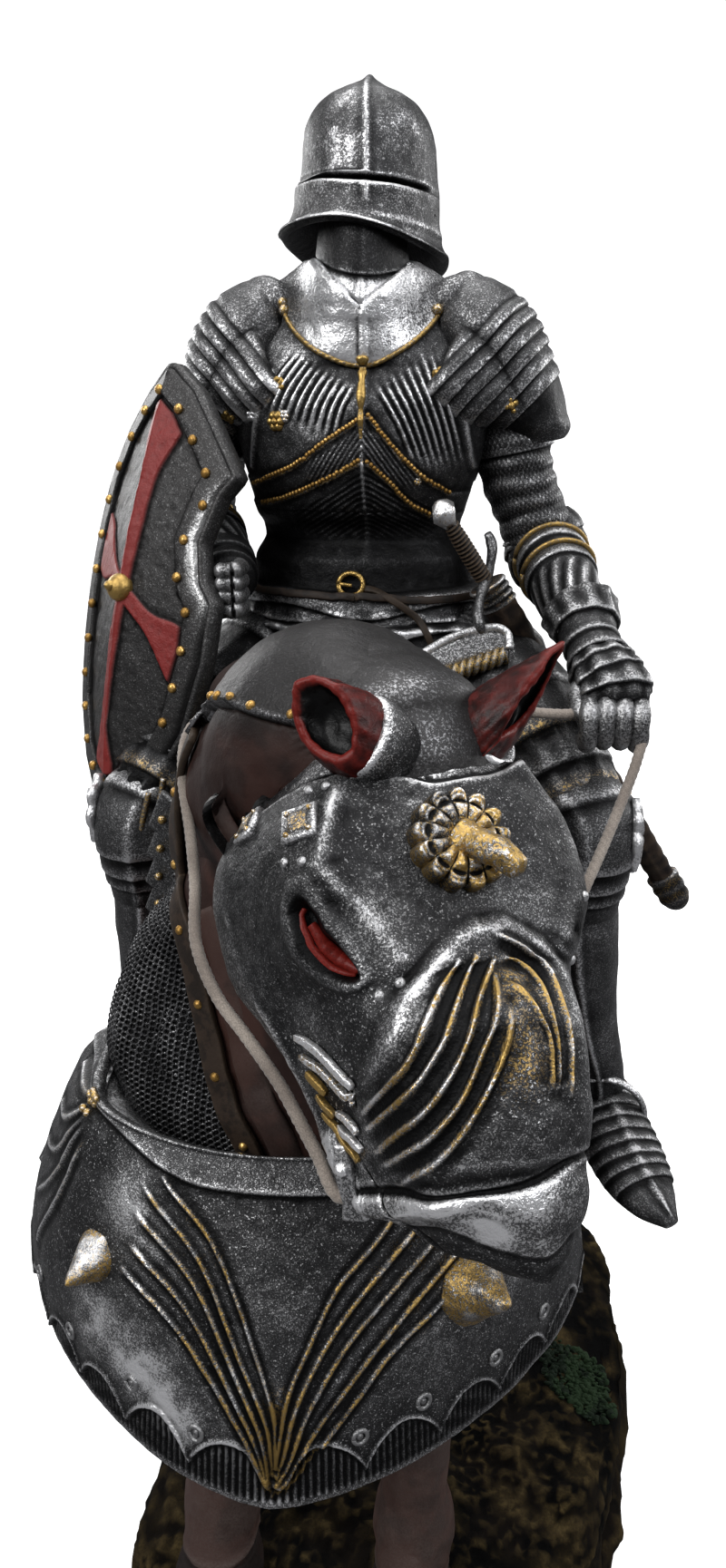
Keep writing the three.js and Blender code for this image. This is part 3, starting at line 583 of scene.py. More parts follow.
def mattePaint(name, colours, fine, broad, roughness, bump, spread=(0.3, 0.7), coat=0.0, darkGain=0.8,
               specular=0.2):
    # non-metal paint in two tones, dimmed as painted shade in hollows and by the shade mark, caught on edges
    material, tree, shader = newMaterial(name)
    grain = groupNode(tree, castGrain, {"Fine": fine, "Broad": broad}).outputs
    low, high, caught = [(*c, 1) for c in colours]
    colour = mixColour(tree, rampUp(tree, grain["Patches"], *spread), low, high)
    edge = attribute(tree, "edge")
    worn = mathNode(tree, "MULTIPLY", mathNode(tree, "MAXIMUM", edge, 0.0),
                    mathNode(tree, "MULTIPLY", grain["Grain"], 0.9), clamp=True)
    worn = mathNode(tree, "ADD", worn, mathNode(tree, "MULTIPLY", attribute(tree, "rub"), grain["Grain"]),
        clamp=True)
    colour = mixColour(tree, worn, colour, caught)
    # painted shade: hollows and the shade mark darken the colour
    shade = mathNode(tree, "ADD", mathNode(tree, "MULTIPLY", mathNode(tree, "MAXIMUM",
                     mathNode(tree, "MULTIPLY", edge, -1.0), 0.0), 0.8), attribute(tree, "dark"), clamp=True)
    dim = mathNode(tree, "SUBTRACT", 1.0, mathNode(tree, "MULTIPLY", shade, darkGain))
    colour = mixColour(tree, 1.0, colour, addNode(tree, "ShaderNodeCombineColor",
                                                  {0: dim, 1: dim, 2: dim}).outputs[0], "MULTIPLY")
    tree.links.new(colour, shader.inputs["Base Color"])
    rough = mathNode(tree, "ADD", roughness, mathNode(tree, "MULTIPLY",
        mathNode(tree, "SUBTRACT", grain["Grain"], 0.5), 0.3))
    tree.links.new(rough, shader.inputs["Roughness"])
    shader.inputs["Specular IOR Level"].default_value = specular
    shader.inputs["Coat Weight"].default_value = coat
    shader.inputs["Coat Roughness"].default_value = 0.35
    addBump(tree, shader, grain["Height"], bump, 0.0003)
    return material


pewterDark = castMetal("pewterDark", (0.022, 0.022, 0.023), (0.86, 0.86, 0.87), bump=1.1, Haze=0.035,
    EdgeGain=0.32, SparkleGain=0.65)
pewterDome = castMetal("pewterDome", (0.026, 0.025, 0.025), (0.30, 0.30, 0.31), Haze=0.03, EdgeGain=0.25,
                       SparkleGain=0.10)
pewterBright = castMetal("pewterBright", (0.026, 0.026, 0.027), (0.7, 0.7, 0.71), broad=160, bump=0.9,
    Haze=0.1, EdgeGain=0.36)
pewterLink = castMetal("pewterLink", (0.05, 0.05, 0.052), (0.6, 0.6, 0.61), Haze=0.32, EdgeGain=0.3,
    SparkleGain=0.5)
shieldPaint = castMetal("shieldPaint", (0.03, 0.029, 0.029), (0.34, 0.34, 0.34), Haze=0.03, EdgeGain=0.06,
    SparkleGain=0.42, Red=(0.17, 0.012, 0.010, 1), specular=0.35)
goldRub = castMetal("goldRub", (0.30, 0.17, 0.045), (0.75, 0.48, 0.16), Haze=0.6, EdgeGain=0.9,
    SparkleGain=0.5)
redPaint = mattePaint("redPaint", [(0.010, 0.0015, 0.001), (0.038, 0.0035, 0.0025), (0.16, 0.013, 0.009)],
    3000, 200, 0.42, 0.35, darkGain=1.0, specular=0.2)
hidePaint = mattePaint("hidePaint", [(0.022, 0.010, 0.008), (0.044, 0.019, 0.0145), (0.11, 0.085, 0.075)],
    2600, 45, 0.6, 0.3, coat=0.0)
leatherPaint = mattePaint("leatherPaint", [(0.010, 0.007, 0.006), (0.028, 0.018, 0.013),
    (0.10, 0.07, 0.045)], 2400, 220, 0.55, 0.35)
rockPaint = mattePaint("rockPaint", [(0.0006, 0.0006, 0.0006), (0.004, 0.003, 0.0022), (0.12, 0.085, 0.035)],
    1400, 45, 0.95, 0.9, spread=(0.4, 0.8), specular=0.06)
mossPaint = mattePaint("mossPaint", [(0.003, 0.008, 0.003), (0.010, 0.022, 0.008), (0.03, 0.055, 0.02)],
    1800, 160, 0.85, 0.8)

print("materials ready")

# The reins come first: two lengths of string, one each side of the head

reinValues = {"diameter": 1.7, "strands": 3, "twistPitch": 3.6, "sides": 18, "step": 0.32}
reinRoutes = {
    "rein_right_side": [
        [14.7, -105.1, 133], [11.5, -105, 132.4], [8.4, -101.8, 135.5], [5.3, -98.6, 138.4],
        [2.7, -95.9, 140.7], [-0.3, -93.3, 142.9], [-3.4, -90.7, 145], [-8.2, -86.7, 148.1],
        [-12.4, -81.5, 153], [-14.7, -73.5, 159], [-17.3, -66.5, 164.3], [-20.1, -60, 170.6],
        [-21.2, -54, 174.8], [-20.3, -49, 176.8], [-16.6, -45, 177.6], [-11, -42.6, 178.2],
        [-5, -41.8, 179.2], [0, -41.4, 180], [6, -41, 180.2], [12, -40.6, 179.8], [20, -40.2, 178.8],
        [28, -39.6, 177.9], [34, -38.8, 177.2], [39, -37.4, 176.8], [42.2, -36, 177],
        [44.6, -35.4, 177.3],
    ],
    "rein_left_side": [
        [35.5, -95.1, 134.1], [35.5, -91.9, 133.6], [34.7, -87.4, 135.1], [34.5, -82.4, 137.8],
        [35.1, -77.6, 140.8], [36.6, -73.4, 145.6], [37.6, -69, 147.8], [39.4, -64, 150.3],
        [42, -58, 154.2], [45.3, -51, 159.6], [48.2, -45, 165.2], [50.4, -40.6, 170.2],
        [51.2, -38.2, 173.6], [50.6, -37.2, 175.2], [49.2, -36.8, 175.8],
    ],
}


def stringPaint():
    material, tree, shader = newMaterial("stringPaint")
    place = addNode(tree, "ShaderNodeTexCoord").outputs["Object"]
    fibre = addNode(tree, "ShaderNodeTexNoise", {"Vector": place, "Scale": 5200.0, "Detail": 3.0}).outputs[0]
    soil = addNode(tree, "ShaderNodeTexNoise", {"Vector": place, "Scale": 130.0, "Detail": 3.0}).outputs[0]
    colour = mixColour(tree, rampUp(tree, soil, 0.3, 0.7), (0.20, 0.165, 0.14, 1), (0.36, 0.31, 0.265, 1))
    colour = mixColour(tree, rampUp(tree, fibre, 0.35, 0.7),
        mixColour(tree, 0.45, colour, (0.06, 0.05, 0.04, 1)), colour)
    edge = attribute(tree, "edge")
    # painted shade in the grooves between the strands
    grooveShade = mathNode(tree, "MULTIPLY", mathNode(tree, "MAXIMUM", mathNode(tree, "MULTIPLY", edge, -1.0),
        0.0), 0.7, clamp=True)
    colour = mixColour(tree, grooveShade, colour, (0.07, 0.055, 0.045, 1))
    tree.links.new(colour, shader.inputs["Base Color"])
    shader.inputs["Roughness"].default_value = 0.9
    shader.inputs["Sheen Weight"].default_value = 0.25
    addBump(tree, shader, fibre, 0.6, 0.0002)
    return material


def reinLine(route, step):
    # the same smooth line as the CAD tube takes
    p = np.asarray(route, float)
    p = np.concatenate([[2 * p[0] - p[1]], p, [2 * p[-1] - p[-2]]])
    out = []
    for k in range(1, len(p) - 2):
        p0, p1, p2, p3 = p[k - 1:k + 3]
        t = [0.0]
        for a, b in ((p0, p1), (p1, p2), (p2, p3)):
            t.append(t[-1] + max(np.linalg.norm(b - a), 1e-6) ** 0.5)
        for s in np.linspace(t[1], t[2], 24, endpoint=False):
            a1 = (t[1] - s) / (t[1] - t[0]) * p0 + (s - t[0]) / (t[1] - t[0]) * p1
            a2 = (t[2] - s) / (t[2] - t[1]) * p1 + (s - t[1]) / (t[2] - t[1]) * p2
            a3 = (t[3] - s) / (t[3] - t[2]) * p2 + (s - t[2]) / (t[3] - t[2]) * p3
            b1 = (t[2] - s) / (t[2] - t[0]) * a1 + (s - t[0]) / (t[2] - t[0]) * a2
            b2 = (t[3] - s) / (t[3] - t[1]) * a2 + (s - t[1]) / (t[3] - t[1]) * a3
            out.append((t[2] - s) / (t[2] - t[1]) * b1 + (s - t[1]) / (t[2] - t[1]) * b2)
    out.append(p[-2])
    out = np.array(out)
    knots = chords(out)
    samples = np.linspace(0, knots[-1], int(knots[-1] / step))
    return np.stack([np.interp(samples, knots, out[:, a]) for a in range(3)], -1)


def makeReins(values):
    string = stringPaint()
    for name, route in reinRoutes.items():
        line = reinLine(route, values["step"])
        along = unit(np.gradient(line, axis=0))
        up = [unit(np.cross(along[0], (0.2, 0.3, 1.0)))]
        for direction in along[1:]:
            last = up[-1]
            up.append(unit(last - (last @ direction) * direction))  # carried along without turning
        part = ribbon(line, np.array(up), values["diameter"], values["diameter"], sides=values["sides"],
                      twist=2 * math.pi / values["twistPitch"], strands=values["strands"], depth=0.16)
        piece = makePiece(name + "_string", [part], [string], name)


makeReins(reinValues)
print("reins laid")

# Rock under the horse

rockValues = {"width": 112, "length": 190, "centre": (7, 6), "thickness": 28, "waist": 0.93, "rough": 1.5}


def makeRock(values):
    sides = 420
    angle = np.arange(sides) / sides * 2 * math.pi
    wave = 1 + 0.05 * np.sin(3 * angle + 0.6) + 0.035 * np.sin(5 * angle + 2.1) + 0.02 * np.sin(9 * angle)
    levels = [[0, 0.97], [0.28, 1], [0.42, values["waist"]], [0.7, 0.97], [0.9, 0.95], [1, 0.86],
        [1.04, 0.55], [1, 0.2], [1, 0.02]]
    rings = []
    for i, (up, reach) in enumerate(levels):
        ragged = 1 if i == 0 else 1 + 0.022 * np.sin(7 * angle + i * 1.7) + 0.015 * np.sin(13 * angle - i)
        bump = 0 if i < 3 else 1.2 * np.sin(4 * angle + i * 2.2) + 0.8 * np.sin(9 * angle + i)
        if i == 8:
            bump = 0.0
        w = squared(np.cos(angle), 2.6) * values["width"] / 2 * reach * wave * ragged
        d = squared(np.sin(angle), 2.6) * values["length"] / 2 * reach * wave * ragged
        z = np.broadcast_to((up - 1) * values["thickness"] + bump, angle.shape)
        rings.append(np.stack([values["centre"][0] + w, values["centre"][1] + d, z], -1))
    rings = np.array(rings)
    knots = [0, 8, 12, 20, 26, 32, 48, 76, 88]
    grid = flowing(rings.reshape(len(levels), -1), 210, knots).reshape(210, sides, 3)
    floor = -values["thickness"]
    broken = 1.3 * noise3(grid * (1, 1, 2.2), 9, 3) + 0.8 * np.abs(noise3(grid * (1, 1, 1.8), 4.2, 5)) \
        + 0.5 * rough3(grid, 1.8, 8)
    ledges = 0.9 * np.abs(((grid[..., 2] / 4.6 + 0.7 * noise3(grid, 22, 9)) % 1) - 0.5)
    lifted = rise(grid[..., 2], floor + 0.3, floor + 2.5)
    side = 1 - rise(grid[..., 2], -4, -1)
    height = (broken * values["rough"] * 0.55 - 0.6 + ledges * side * 1.6) * lifted
    normals = gridNormals(grid)
    normals[-3:] = (0, 0, 1)
    grid = grid + normals * height[..., None]
    grid[..., 2] = np.maximum(grid[..., 2], floor)
    veins = hill(noise3(grid, 7.5, 21) + 0.3 * noise3(grid, 2.5, 22), 0.07) * rise(noise3(grid, 16, 30),
        -0.2, 0.4)
    marks = {"rub": 0.75 * veins + 0.25 * rise(noise3(grid, 5, 40), 0.2, 0.8),
        "dark": 0.35 * rise(noise3(grid, 9, 50), 0, 0.8)}
    rock = loft(grid, marks)
    makePiece("rock_carved", [rock], [rockPaint], "rock_base")
    return treeOf([rock])


rockTree = makeRock(rockValues)
print("rock carved")


# The horse's own body: barrel, neck, legs and tail

horseValues = {"foreLegX": 19.6, "hindLegX": 19.0, "foreMiddle": -1.8, "hindMiddle": 0.0, "strands": 15}

barrelStations = [[-3, -69, 112, 14, 17], [-3, -62, 113, 25, 30], [-2, -38, 118, 31, 41],
    [-0.5, -5, 116, 31, 38], [0, 28, 118, 31, 37], [0, 56, 121, 31, 37], [0, 78, 119, 26, 31],
    [0, 91, 117, 12, 17]]
neckStations = [[-4, -38, 106, 37, 33], [-4, -41, 118, 37, 32], [-3, -45, 132, 33, 27.5],
    [-1, -50, 145, 25.5, 24], [1, -55, 157, 20.5, 20.5], [4.5, -60, 166, 17, 16], [10, -66, 173, 15, 13],
    [14, -73, 174, 12, 10], [17, -79, 172, 9, 8]]
foreLeg = [[-47, 104, 12, 15], [-50, 82, 10, 12], [-53.5, 54, 8.6, 9.2], [-54.5, 40, 7, 7.6],
    [-55, 25, 6.6, 7.2], [-56, 15, 7.6, 8.2], [-58.5, 8, 7.2, 8], [-60, 0.4, 9, 10]]
hindLeg = [[60, 112, 13, 24], [58, 92, 13, 20], [65, 72, 10, 13], [76, 53, 8, 10.5], [75.4, 36, 6.6, 7.8],
           [74, 15, 7.4, 8.2], [71, 8, 7.2, 8], [69, 0.4, 9, 10.5]]
tailStations = [[0, 76, 130, 9, 9], [0, 94, 137, 7, 7], [0, 102, 130, 7.5, 6], [0, 104, 110, 9, 7],
                [1, 103, 88, 9.5, 7.5], [2, 99, 66, 8, 6], [2, 96, 48, 3, 2.5]]


def makeLeg(stations, x, fore):
    path = [[x, y, z, w, d] for y, z, w, d in stations]
    grid = tube(path, rings=150, sides=84, roundness=2.15)
    angle = np.arange(84)[None] / 84 * 2 * math.pi
    z = grid[..., 2]
    front = np.sin(angle)  # 1 at the front of the leg
    kneeHeight = 52 if fore else 50
    height = 0.5 * hill(z - kneeHeight, 5) * np.cos(3 * angle) + 0.5 * hill(z - 14, 4) * (1 - front)
    height = height - 0.9 * hill(np.abs(angle - 4.712) - 0.75, 0.3) * rise(z, 16, 22) * (1 - rise(z, 42, 50))
    height = height + 0.6 * hill(np.abs(np.cos(angle)) - 0.5, 0.2) * rise(z, 56, 66)
    height = height + 0.35 * hill(z - 8.6, 0.7) - 0.5 * hill(z - 7.6, 0.5)
    hoof = 1 - rise(z, 7.2, 7.8)
    height = height + 0.12 * np.sin(z * 5) * hoof
    height = height + 0.35 * rough3(grid, 6, 3) + 0.12 * noise3(grid * (1, 1, 0.4), 1.6, 7)
    marks = {"dark": 0.85 * hoof + 0.25 * (1 - rise(z, 10, 40)),
        "rub": 0.3 * hill(z - 8.6, 0.8) + 0.3 * (1 - rise(z, 60, 80)) + 0.25 * front}
    return loft(raised(grid, height), marks)


def makeHide(values):
    parts = []
    barrel = tube(barrelStations, (0, 0, 1), rings=90, sides=96)
    parts.append(loft(raised(barrel, 0.35 * rough3(barrel, 14, 2) - 0.8)))
    neck = tube(neckStations, (0, -1, 0.1), rings=150, sides=150)
    angle = np.arange(150)[None] / 150 * 2 * math.pi
    z = neck[..., 2]
    # the throat swells in the middle and falls in beside it
    height = 0.9 * np.cos(6 * (angle - 1.57)) * rise(z, 108,
        120) * (1 - rise(z, 150, 170)) + 0.3 * rough3(neck, 8, 4)
    height = height - 0.8 - 6 * rise(z, 156, 166) * rise(neck[..., 1], -62, -50)  # under the neck plates
    parts.append(loft(raised(neck, height)))
    for stations, distance, middle, fore in ((foreLeg, values["foreLegX"], values["foreMiddle"], True),
                                             (hindLeg, values["hindLegX"], values["hindMiddle"], False)):
        for side in (-1, 1):
            parts.append(makeLeg(stations, middle + side * distance, fore))
    tail = tube(tailStations, rings=150, sides=132)
    angle = np.arange(132)[None] / 132 * 2 * math.pi
    z = tail[..., 2]
    wave = values["strands"] * angle + 1.6 * np.sin(z / 13 + 2 * np.sin(angle)) + 1.2 * noise3(tail, 16, 6)
    parts.append(loft(raised(tail, (0.7 * np.abs(np.sin(wave)) - 0.3) * rise(z, 44,
        60) + 0.3 * noise3(tail * (1, 1, 0.2), 2, 9)), {"dark": 0.5 + 0 * z}))
    makePiece("horse_hide", parts, [hidePaint], "horse")
    return parts


hideParts = makeHide(horseValues)
print("hide ready")

# The head in its armour. Its own frame runs down the face, across it and out of it.

headTurn = math.radians(25)
headPitch = math.radians(50)
poll = np.array([18.0, -80.0, 181.0])
downFace = np.array([math.cos(headPitch) * math.sin(headTurn), -math.cos(headPitch) * math.cos(headTurn),
                     -math.sin(headPitch)])
acrossFace = np.array([math.cos(headTurn), math.sin(headTurn), 0])
outOfFace = np.cross(acrossFace, downFace)
outOfFace = outOfFace if outOfFace[2] > 0 else -outOfFace


def onHead(points):
    points = np.asarray(points, float)
    return poll + points[..., :1] * downFace + points[..., 1:2] * acrossFace + points[..., 2:3] * outOfFace


headValues = {"jawSwing": 0.11, "rings": 250, "sides": 380, "browPlate": 0.7, "nosePlate": 0.9,
    "flute": 0.55, "fluteWidth": 0.3}
headSections = [[-8, 8, 10, -4, -20], [-1, 12.5, 18.5, 1, -25], [10, 16, 23.4, 3.5, -26],
    [20, 16, 23, 3, -25], [28, 11.5, 20, 2.5, -22], [36, 9.8, 17, 5.5, -19], [45, 9, 14.8, 4.5, -17],
    [51, 8.2, 13.4, 2, -16], [54, 8, 11, 1, -14.5], [59, 7, 8.5, -1.5, -12.5], [63, 4.5, 5, -5, -10.5]]
headOutline = [[-0.55, 1], [0, 1.06], [0.55, 1], [1, 0.84], [1.04, 0.45], [1, 0.1], [0.75, 0], [0, -0.04],
               [-0.75, 0], [-1, 0.1], [-1.04, 0.45], [-1, 0.84]]
# lines on the face, each point [down, across]
noseEdge = [[49.5, -12.3], [46, -13.6], [42, -13.6], [37, -12.4], [32, -9.6], [28.6, -6.6], [26, -4.0],
    [24.2, -1.8], [23.4, 0.6], [23.4, 4], [26, 8.2], [31, 11], [38, 11.6], [46, 10.6], [50.5, 10]]
noseFlutes = [
    [[26.8, -1.6], [29.0, -2.8], [31.6, -4.8], [35.1, -7.6], [38.8, -10.2], [41.4, -12.9]],
    [[26.4, 0.2], [29.2, -1.0], [34.6, -4.6], [38, -7.2], [41, -9.9], [43.2, -12.6]],
    [[27.2, 1.6], [30, 0.8], [33.4, -1.4], [39, -5], [43, -8.6], [45.9, -12.2]],
    [[30, 1.2], [34.5, 0], [38.1, -2.2], [42.9, -5.4], [45.5, -8.3], [47.4, -11.6]],
    [[34, 1.4], [38, 0], [41.2, -1.8], [45, -4.8], [47.8, -7.9], [49.9, -10.8]],
    [[24.6, 1.8], [27, 5.6], [31.9, 8.2], [39.2, 7.6], [44, 6.6]],
    [[27.6, 2.6], [29.6, 4.6], [32.6, 6], [37.5, 6], [43, 5.2]],
    [[32, 2.2], [34.4, 3.4], [37.8, 4.6], [43, 4]],
]
bandTop = [[-14, 50.2], [-11.5, 50.9], [-7.9, 52.9], [-3.3, 53.3], [2.7, 52.3], [6, 51.2], [10, 50.6],
    [14, 50.4]]
bandFoot = [[-14, 57.4], [-8.2, 59.4], [-3.6, 61.2], [1.8, 60.4], [6, 58.4], [10, 57.4], [14, 56.8]]


def headSurface(values):
    rows = flowing(headSections, values["rings"], [s[0] for s in headSections])
    corners = np.array(headOutline + headOutline[:3], float)
    knots = chords(corners * (1, 1.3))
    fine = flowing(corners, np.linspace(knots[1], knots[13], 2000), knots)
    # more columns on the face than under the jaw
    weight = np.where(fine[:, 1] > 0.2, 1.0, 0.45)
    run = np.concatenate([[0], np.cumsum(np.linalg.norm(np.diff(fine * (1, 1.3), axis=0),
        axis=1) * weight[1:])])
    spots = np.linspace(0, run[-1], values["sides"], endpoint=False)
    outline = np.stack([np.interp(spots, run, fine[:, k]) for k in range(2)], -1)
    for _ in range(12):
        outline = (np.roll(outline, 1, 0) + 2 * outline + np.roll(outline, -1, 0)) / 4
    w, h = outline[None, :, 0], outline[None, :, 1]
    down, upper, lower, top, under = [rows[:, k, None] for k in range(5)]
    half = lower + (upper - lower) * h
    out = under + h * (top - under)
    return np.stack([np.broadcast_to(down, half.shape), w * half + values["jawSwing"] * out, out], -1)


def insideLine(a, s, line):
    # signed distance to a closed outline: above 0 inside it
    points = np.stack([a, s], -1)
    closed = np.array(line + line[:1], float)
    d, _ = near(points, closed)
    inside = np.zeros(a.shape, bool)
    for (a0, s0), (a1, s1) in zip(closed[:-1], closed[1:]):
        crosses = (s0 > s) != (s1 > s)
        with np.errstate(divide="ignore", invalid="ignore"):
            inside ^= crosses & (a < (a1 - a0) * (s - s0) / (s1 - s0) + a0)
    return np.where(inside, d, -d)


def eyeHeart(side):
    # the middle line of an eye opening, as [down, across, out]
    heart = np.array([[15.2, -15.9, -1.5], [18, -16.2, -1.9], [20.9, -15.7, -1.8], [23.6, -14.4, -1.2],
        [26.2, -12.6, -0.4]])
    return heart if side < 0 else heart * (1, -1, 1) - (0, 1.6, 0)


def eyeWidth(share):
    return 2.05 * (0.3 + 0.7 * np.sin(math.pi * np.clip(share, 0, 1)) ** 0.7)


def makeHead(values):
    grid = headSurface(values)
    a, s, n = grid[..., 0], grid[..., 1], grid[..., 2]
    face = rise(n, -16, -9)  # the lines on the face don't reach under the jaw
    flat = np.stack([a, s], -1)
    height = np.zeros(a.shape)
    rub = np.zeros(a.shape)
    gilt = np.zeros(a.shape)
    red = np.zeros(a.shape)
    dark = np.zeros(a.shape)

    # the brow plate starts at a step across the poll
    stepLine = flowing([[1.2], [1.5], [3.2], [4.9], [4.4], [2.5], [1.5]], s.ravel(),
                       [-26, -11.9, -3.3, 0, 7, 13, 26])[:, 0].reshape(s.shape)
    onBrow = rise(a - stepLine, -0.2, 0.35)
    height += values["browPlate"] * onBrow
    rub += 0.45 * hill(a - stepLine - 0.4, 0.35) * face * rise(s, -14, -8)
    # painted shade along the foot of the step; the upper brow plate is darker as well
    dark += 0.8 * hill(a - stepLine + 0.35, 0.35) * face + 0.3 * (1 - rise(a, 20, 30)) * onBrow
    rub += 0.4 * (1 - onBrow) * rise(n, -8, -1) * (0.6 + 0.5 * noise3(grid, 4, 12))  # silver over the poll

    # left ridge of the brow, running down to the eye guard
    for line, side in (([[2.5, -11.2, 1.9], [7.3, -12.9, 1.4], [13.2, -14.4, 0.2], [16.4, -13.2, 0.9],
            [19.4, -11.2, 1.6], [22.4, -9.4, 2], [25.5, -7.8, 2]], 1),
            ([[3, 12.6, 0.2], [9, 14.6, -0.4], [15, 15.6, -1.6], [20, 14.6, -1.2], [25, 12.0, 0.2]], -1)):
        d, share = near(grid, line)
        height += (1.3 - 0.6 * rise(share, 0.55, 0.75)) * hill(d, 1.4)
        rub += (0.75 if side > 0 else 0.3) * (1 - 0.75 * rise(share, 0.55, 0.7)) * hill(d,
            0.55) * rise(share, 0, 0.08) * (0.7 + 0.5 * noise3(grid, 2, 30))
        rub += 0.3 * hill(d, 2.6) * rise(noise3(grid, 3, 31), -0.2, 0.6)
    height -= 0.9 * hill(near(grid, [[6, -4, 3.5], [16, -6, 3]])[0], 7)  # the brow between ridges is flat

    # eye openings: a swelling guard round a deep almond with a red lining
    for side in (-1, 1):
        heart = eyeHeart(side)
        d, share = near(grid, heart)
        width = eyeWidth(share)
        guard = hill(d, 6.5)
        height += 1.5 * guard
        opening = 1 - rise(d - width, -0.35, 0.35)
        height -= 3.8 * (1 - rise(d / np.maximum(width, 0.3), 0.45, 1.05)) * opening
        # a second rim inside, like a lid
        height += 0.3 * hill(d - width - 0.7, 0.7)
        # painted shade inside the deep opening
        dark += 1.2 * opening

    # nose plate
    inside = insideLine(a, s, noseEdge)
    onNose = rise(inside, -1.4, 1.0) * face
    height += values["nosePlate"] * onNose
    flank = hill(near(flat, [[27.4, -3.4], [30, -5.4], [33.5, -8.4]])[0], 1.7) * face
    height += 0.35 * flank
    # painted highlight on the flank of the nose plate
    rub += 0.5 * flank * (0.55 + 0.6 * noise3(grid, 1.6, 44))
    rub += 0.12 * hill(inside - 0.8, 1.0) * face * (1 - rise(a, 46, 50))
    height += 0.8 * hill(near(flat, [[25, 0.2], [31, 1.2], [39, 2.0], [47, 1.5]])[0], 3.0) * face
    for k, line in enumerate(noseFlutes):
        d, share = near(flat, even(line, 0.8))
        ends = rise(share, 0, 0.12) * (1 - rise(share, 0.93, 1.0) * 0.6) * face
        height += values["flute"] * (hill(d, values["fluteWidth"]) - 0.4 * hill(d - 1.2, 0.8)) * ends
        gilt += 0.8 * hill(d, 0.3) * ends * (0.7 + 0.6 * noise3(grid, 2, 50 + k))
        # painted shade in the groove beside each flute
        dark += 0.3 * hill(d - 1.2, 0.6) * ends
        rub += 0.2 * hill(d, 0.5) * ends + 0.12 * hill(d - 1.2, 0.7) * rise(noise3(grid, 3, 55 + k), 0, 0.7)
    tan = hill(near(flat, [[31, 2.5], [36, 2.4], [40, 1.0]])[0], 3.0) * rise(noise3(grid, 3, 61), -0.7, 0.5)
    gilt += 0.3 * tan * face

    # silver band over the nostrils, then the dark muzzle
    top = flowing([[t] for _, t in bandTop], s.ravel(), [k for k, _ in bandTop])[:, 0].reshape(s.shape)
    foot = flowing([[t] for _, t in bandFoot], s.ravel(), [k for k, _ in bandFoot])[:, 0].reshape(s.shape)
    across = (a - top) / (foot - top)
    onBand = rise(across, -0.02, 0.06) * (1 - rise(across, 0.95, 1.05)) * face
    height += onBand * (0.4 + 0.9 * np.sin(math.pi * np.clip(across, 0, 1))) * (1 - 0.8 * rise(s, 6, 11))
    height -= 0.4 * hill(across + 0.06, 0.05) * face
    rub += 1.15 * onBand * rise(s, -13, -9) * (0.62 + 0.75 * noise3(grid, 3, 70)) * \
        (1 - 0.93 * rise(s, 1.5, 5)) \
        * (1 - 0.6 * rise(across, 0.6, 1.0))
    # painted shade in the groove above the band; below the band, the muzzle's own darker paint
    dark += 0.8 * hill(across + 0.09, 0.07) * face + 0.35 * rise(across, 1.05, 1.3)
    for side in (-1, 1):
        d = near(grid, [[60.5, 3.2 * side + 0.4, -4.6], [61.6, 2.4 * side + 0.2, -6.6]])[0]
        height += 0.7 * hill(d, 2.6) - 1.5 * hill(d, 1.0)
        # painted shade in the nostril
        dark += hill(d, 1.0)
    mouth = hill(n + 9.2, 0.6) * rise(a, 52, 57)
    height -= 0.8 * mouth
    # painted shade in the mouth line
    dark += mouth

    # cheek plate: a rolled border and a strap tab that ends in a bright edge
    border = near(grid, [[4, -20.5, -17.4], [13.6, -23.4, -18.3], [25.4, -21.4, -17.6], [32.9, -18.9, -16.6],
                         [40, -16.8, -15.4], [47, -15.4, -14]])[0]
    height += 0.45 * hill(border, 0.7)
    strip = rise(-n - 16.5 + 0.06 * (a - 20), 0.0, 1.0) * rise(-s, 8, 10) * (1 - rise(a, 40, 46))
    rub += 0.15 * strip
    line = near(grid, [[30.2, -13.6, -4.8], [33.5, -13.8, -6.2], [37.6, -14.0, -6.6],
        [40.6, -13.9, -6.2]])[0]
    height -= 0.35 * hill(line, 0.22)
    # painted shade in the groove
    dark += 0.6 * hill(line, 0.25)
    seam = near(grid, [[43.5, -15.0, -8.2], [47.5, -13.8, -8.4], [51.0, -12.4, -8.0],
        [56.5, -10.4, -7.4]])[0]
    height -= 0.5 * hill(seam, 0.3)
    # painted shade in the seam
    dark += 0.5 * hill(seam, 0.35)
    tab = hill(near(grid, [[43.5, -15.6, -13.4], [47.0, -14.9, -13.2], [50.4, -13.6, -12.2]])[0], 1.5)
    rub += 0.75 * tab + 0.4 * hill(near(grid, [[46.5, -13.0, -9.8], [50.5, -12.3, -9.6]])[0], 1.6)
    height += 0.8 * tab + 0.12 * np.sin(s * 9 + n * 6) * tab

    # hammer marks and the unevenness of the casting
    height += 0.22 * rough3(grid, 5.5, 80) + 0.07 * noise3(grid, 1.5, 90)
    rub += 0.16 * rise(noise3(grid, 6.5, 95), -0.3, 0.9) 
    marks = {"rub": np.clip(rub, 0, 1.2), "gilt": np.clip(gilt, 0, 1), "red": np.clip(red, 0, 1),
        "dark": np.clip(dark, 0, 1)}
    shape = raised(grid, height)
    # the lip climbs to the corner of the mouth
    shape[..., 0] -= 4.8 * rise(a, 51, 60) * (1 - rise(s, -6, 4))
    return loft(onHead(shape), marks)


headShell = makeHead(headValues)
headTree = treeOf([headShell])
print("head shaped")


def onFace(points, lift=0.0):
    return onto(headTree, onHead(points), lift)


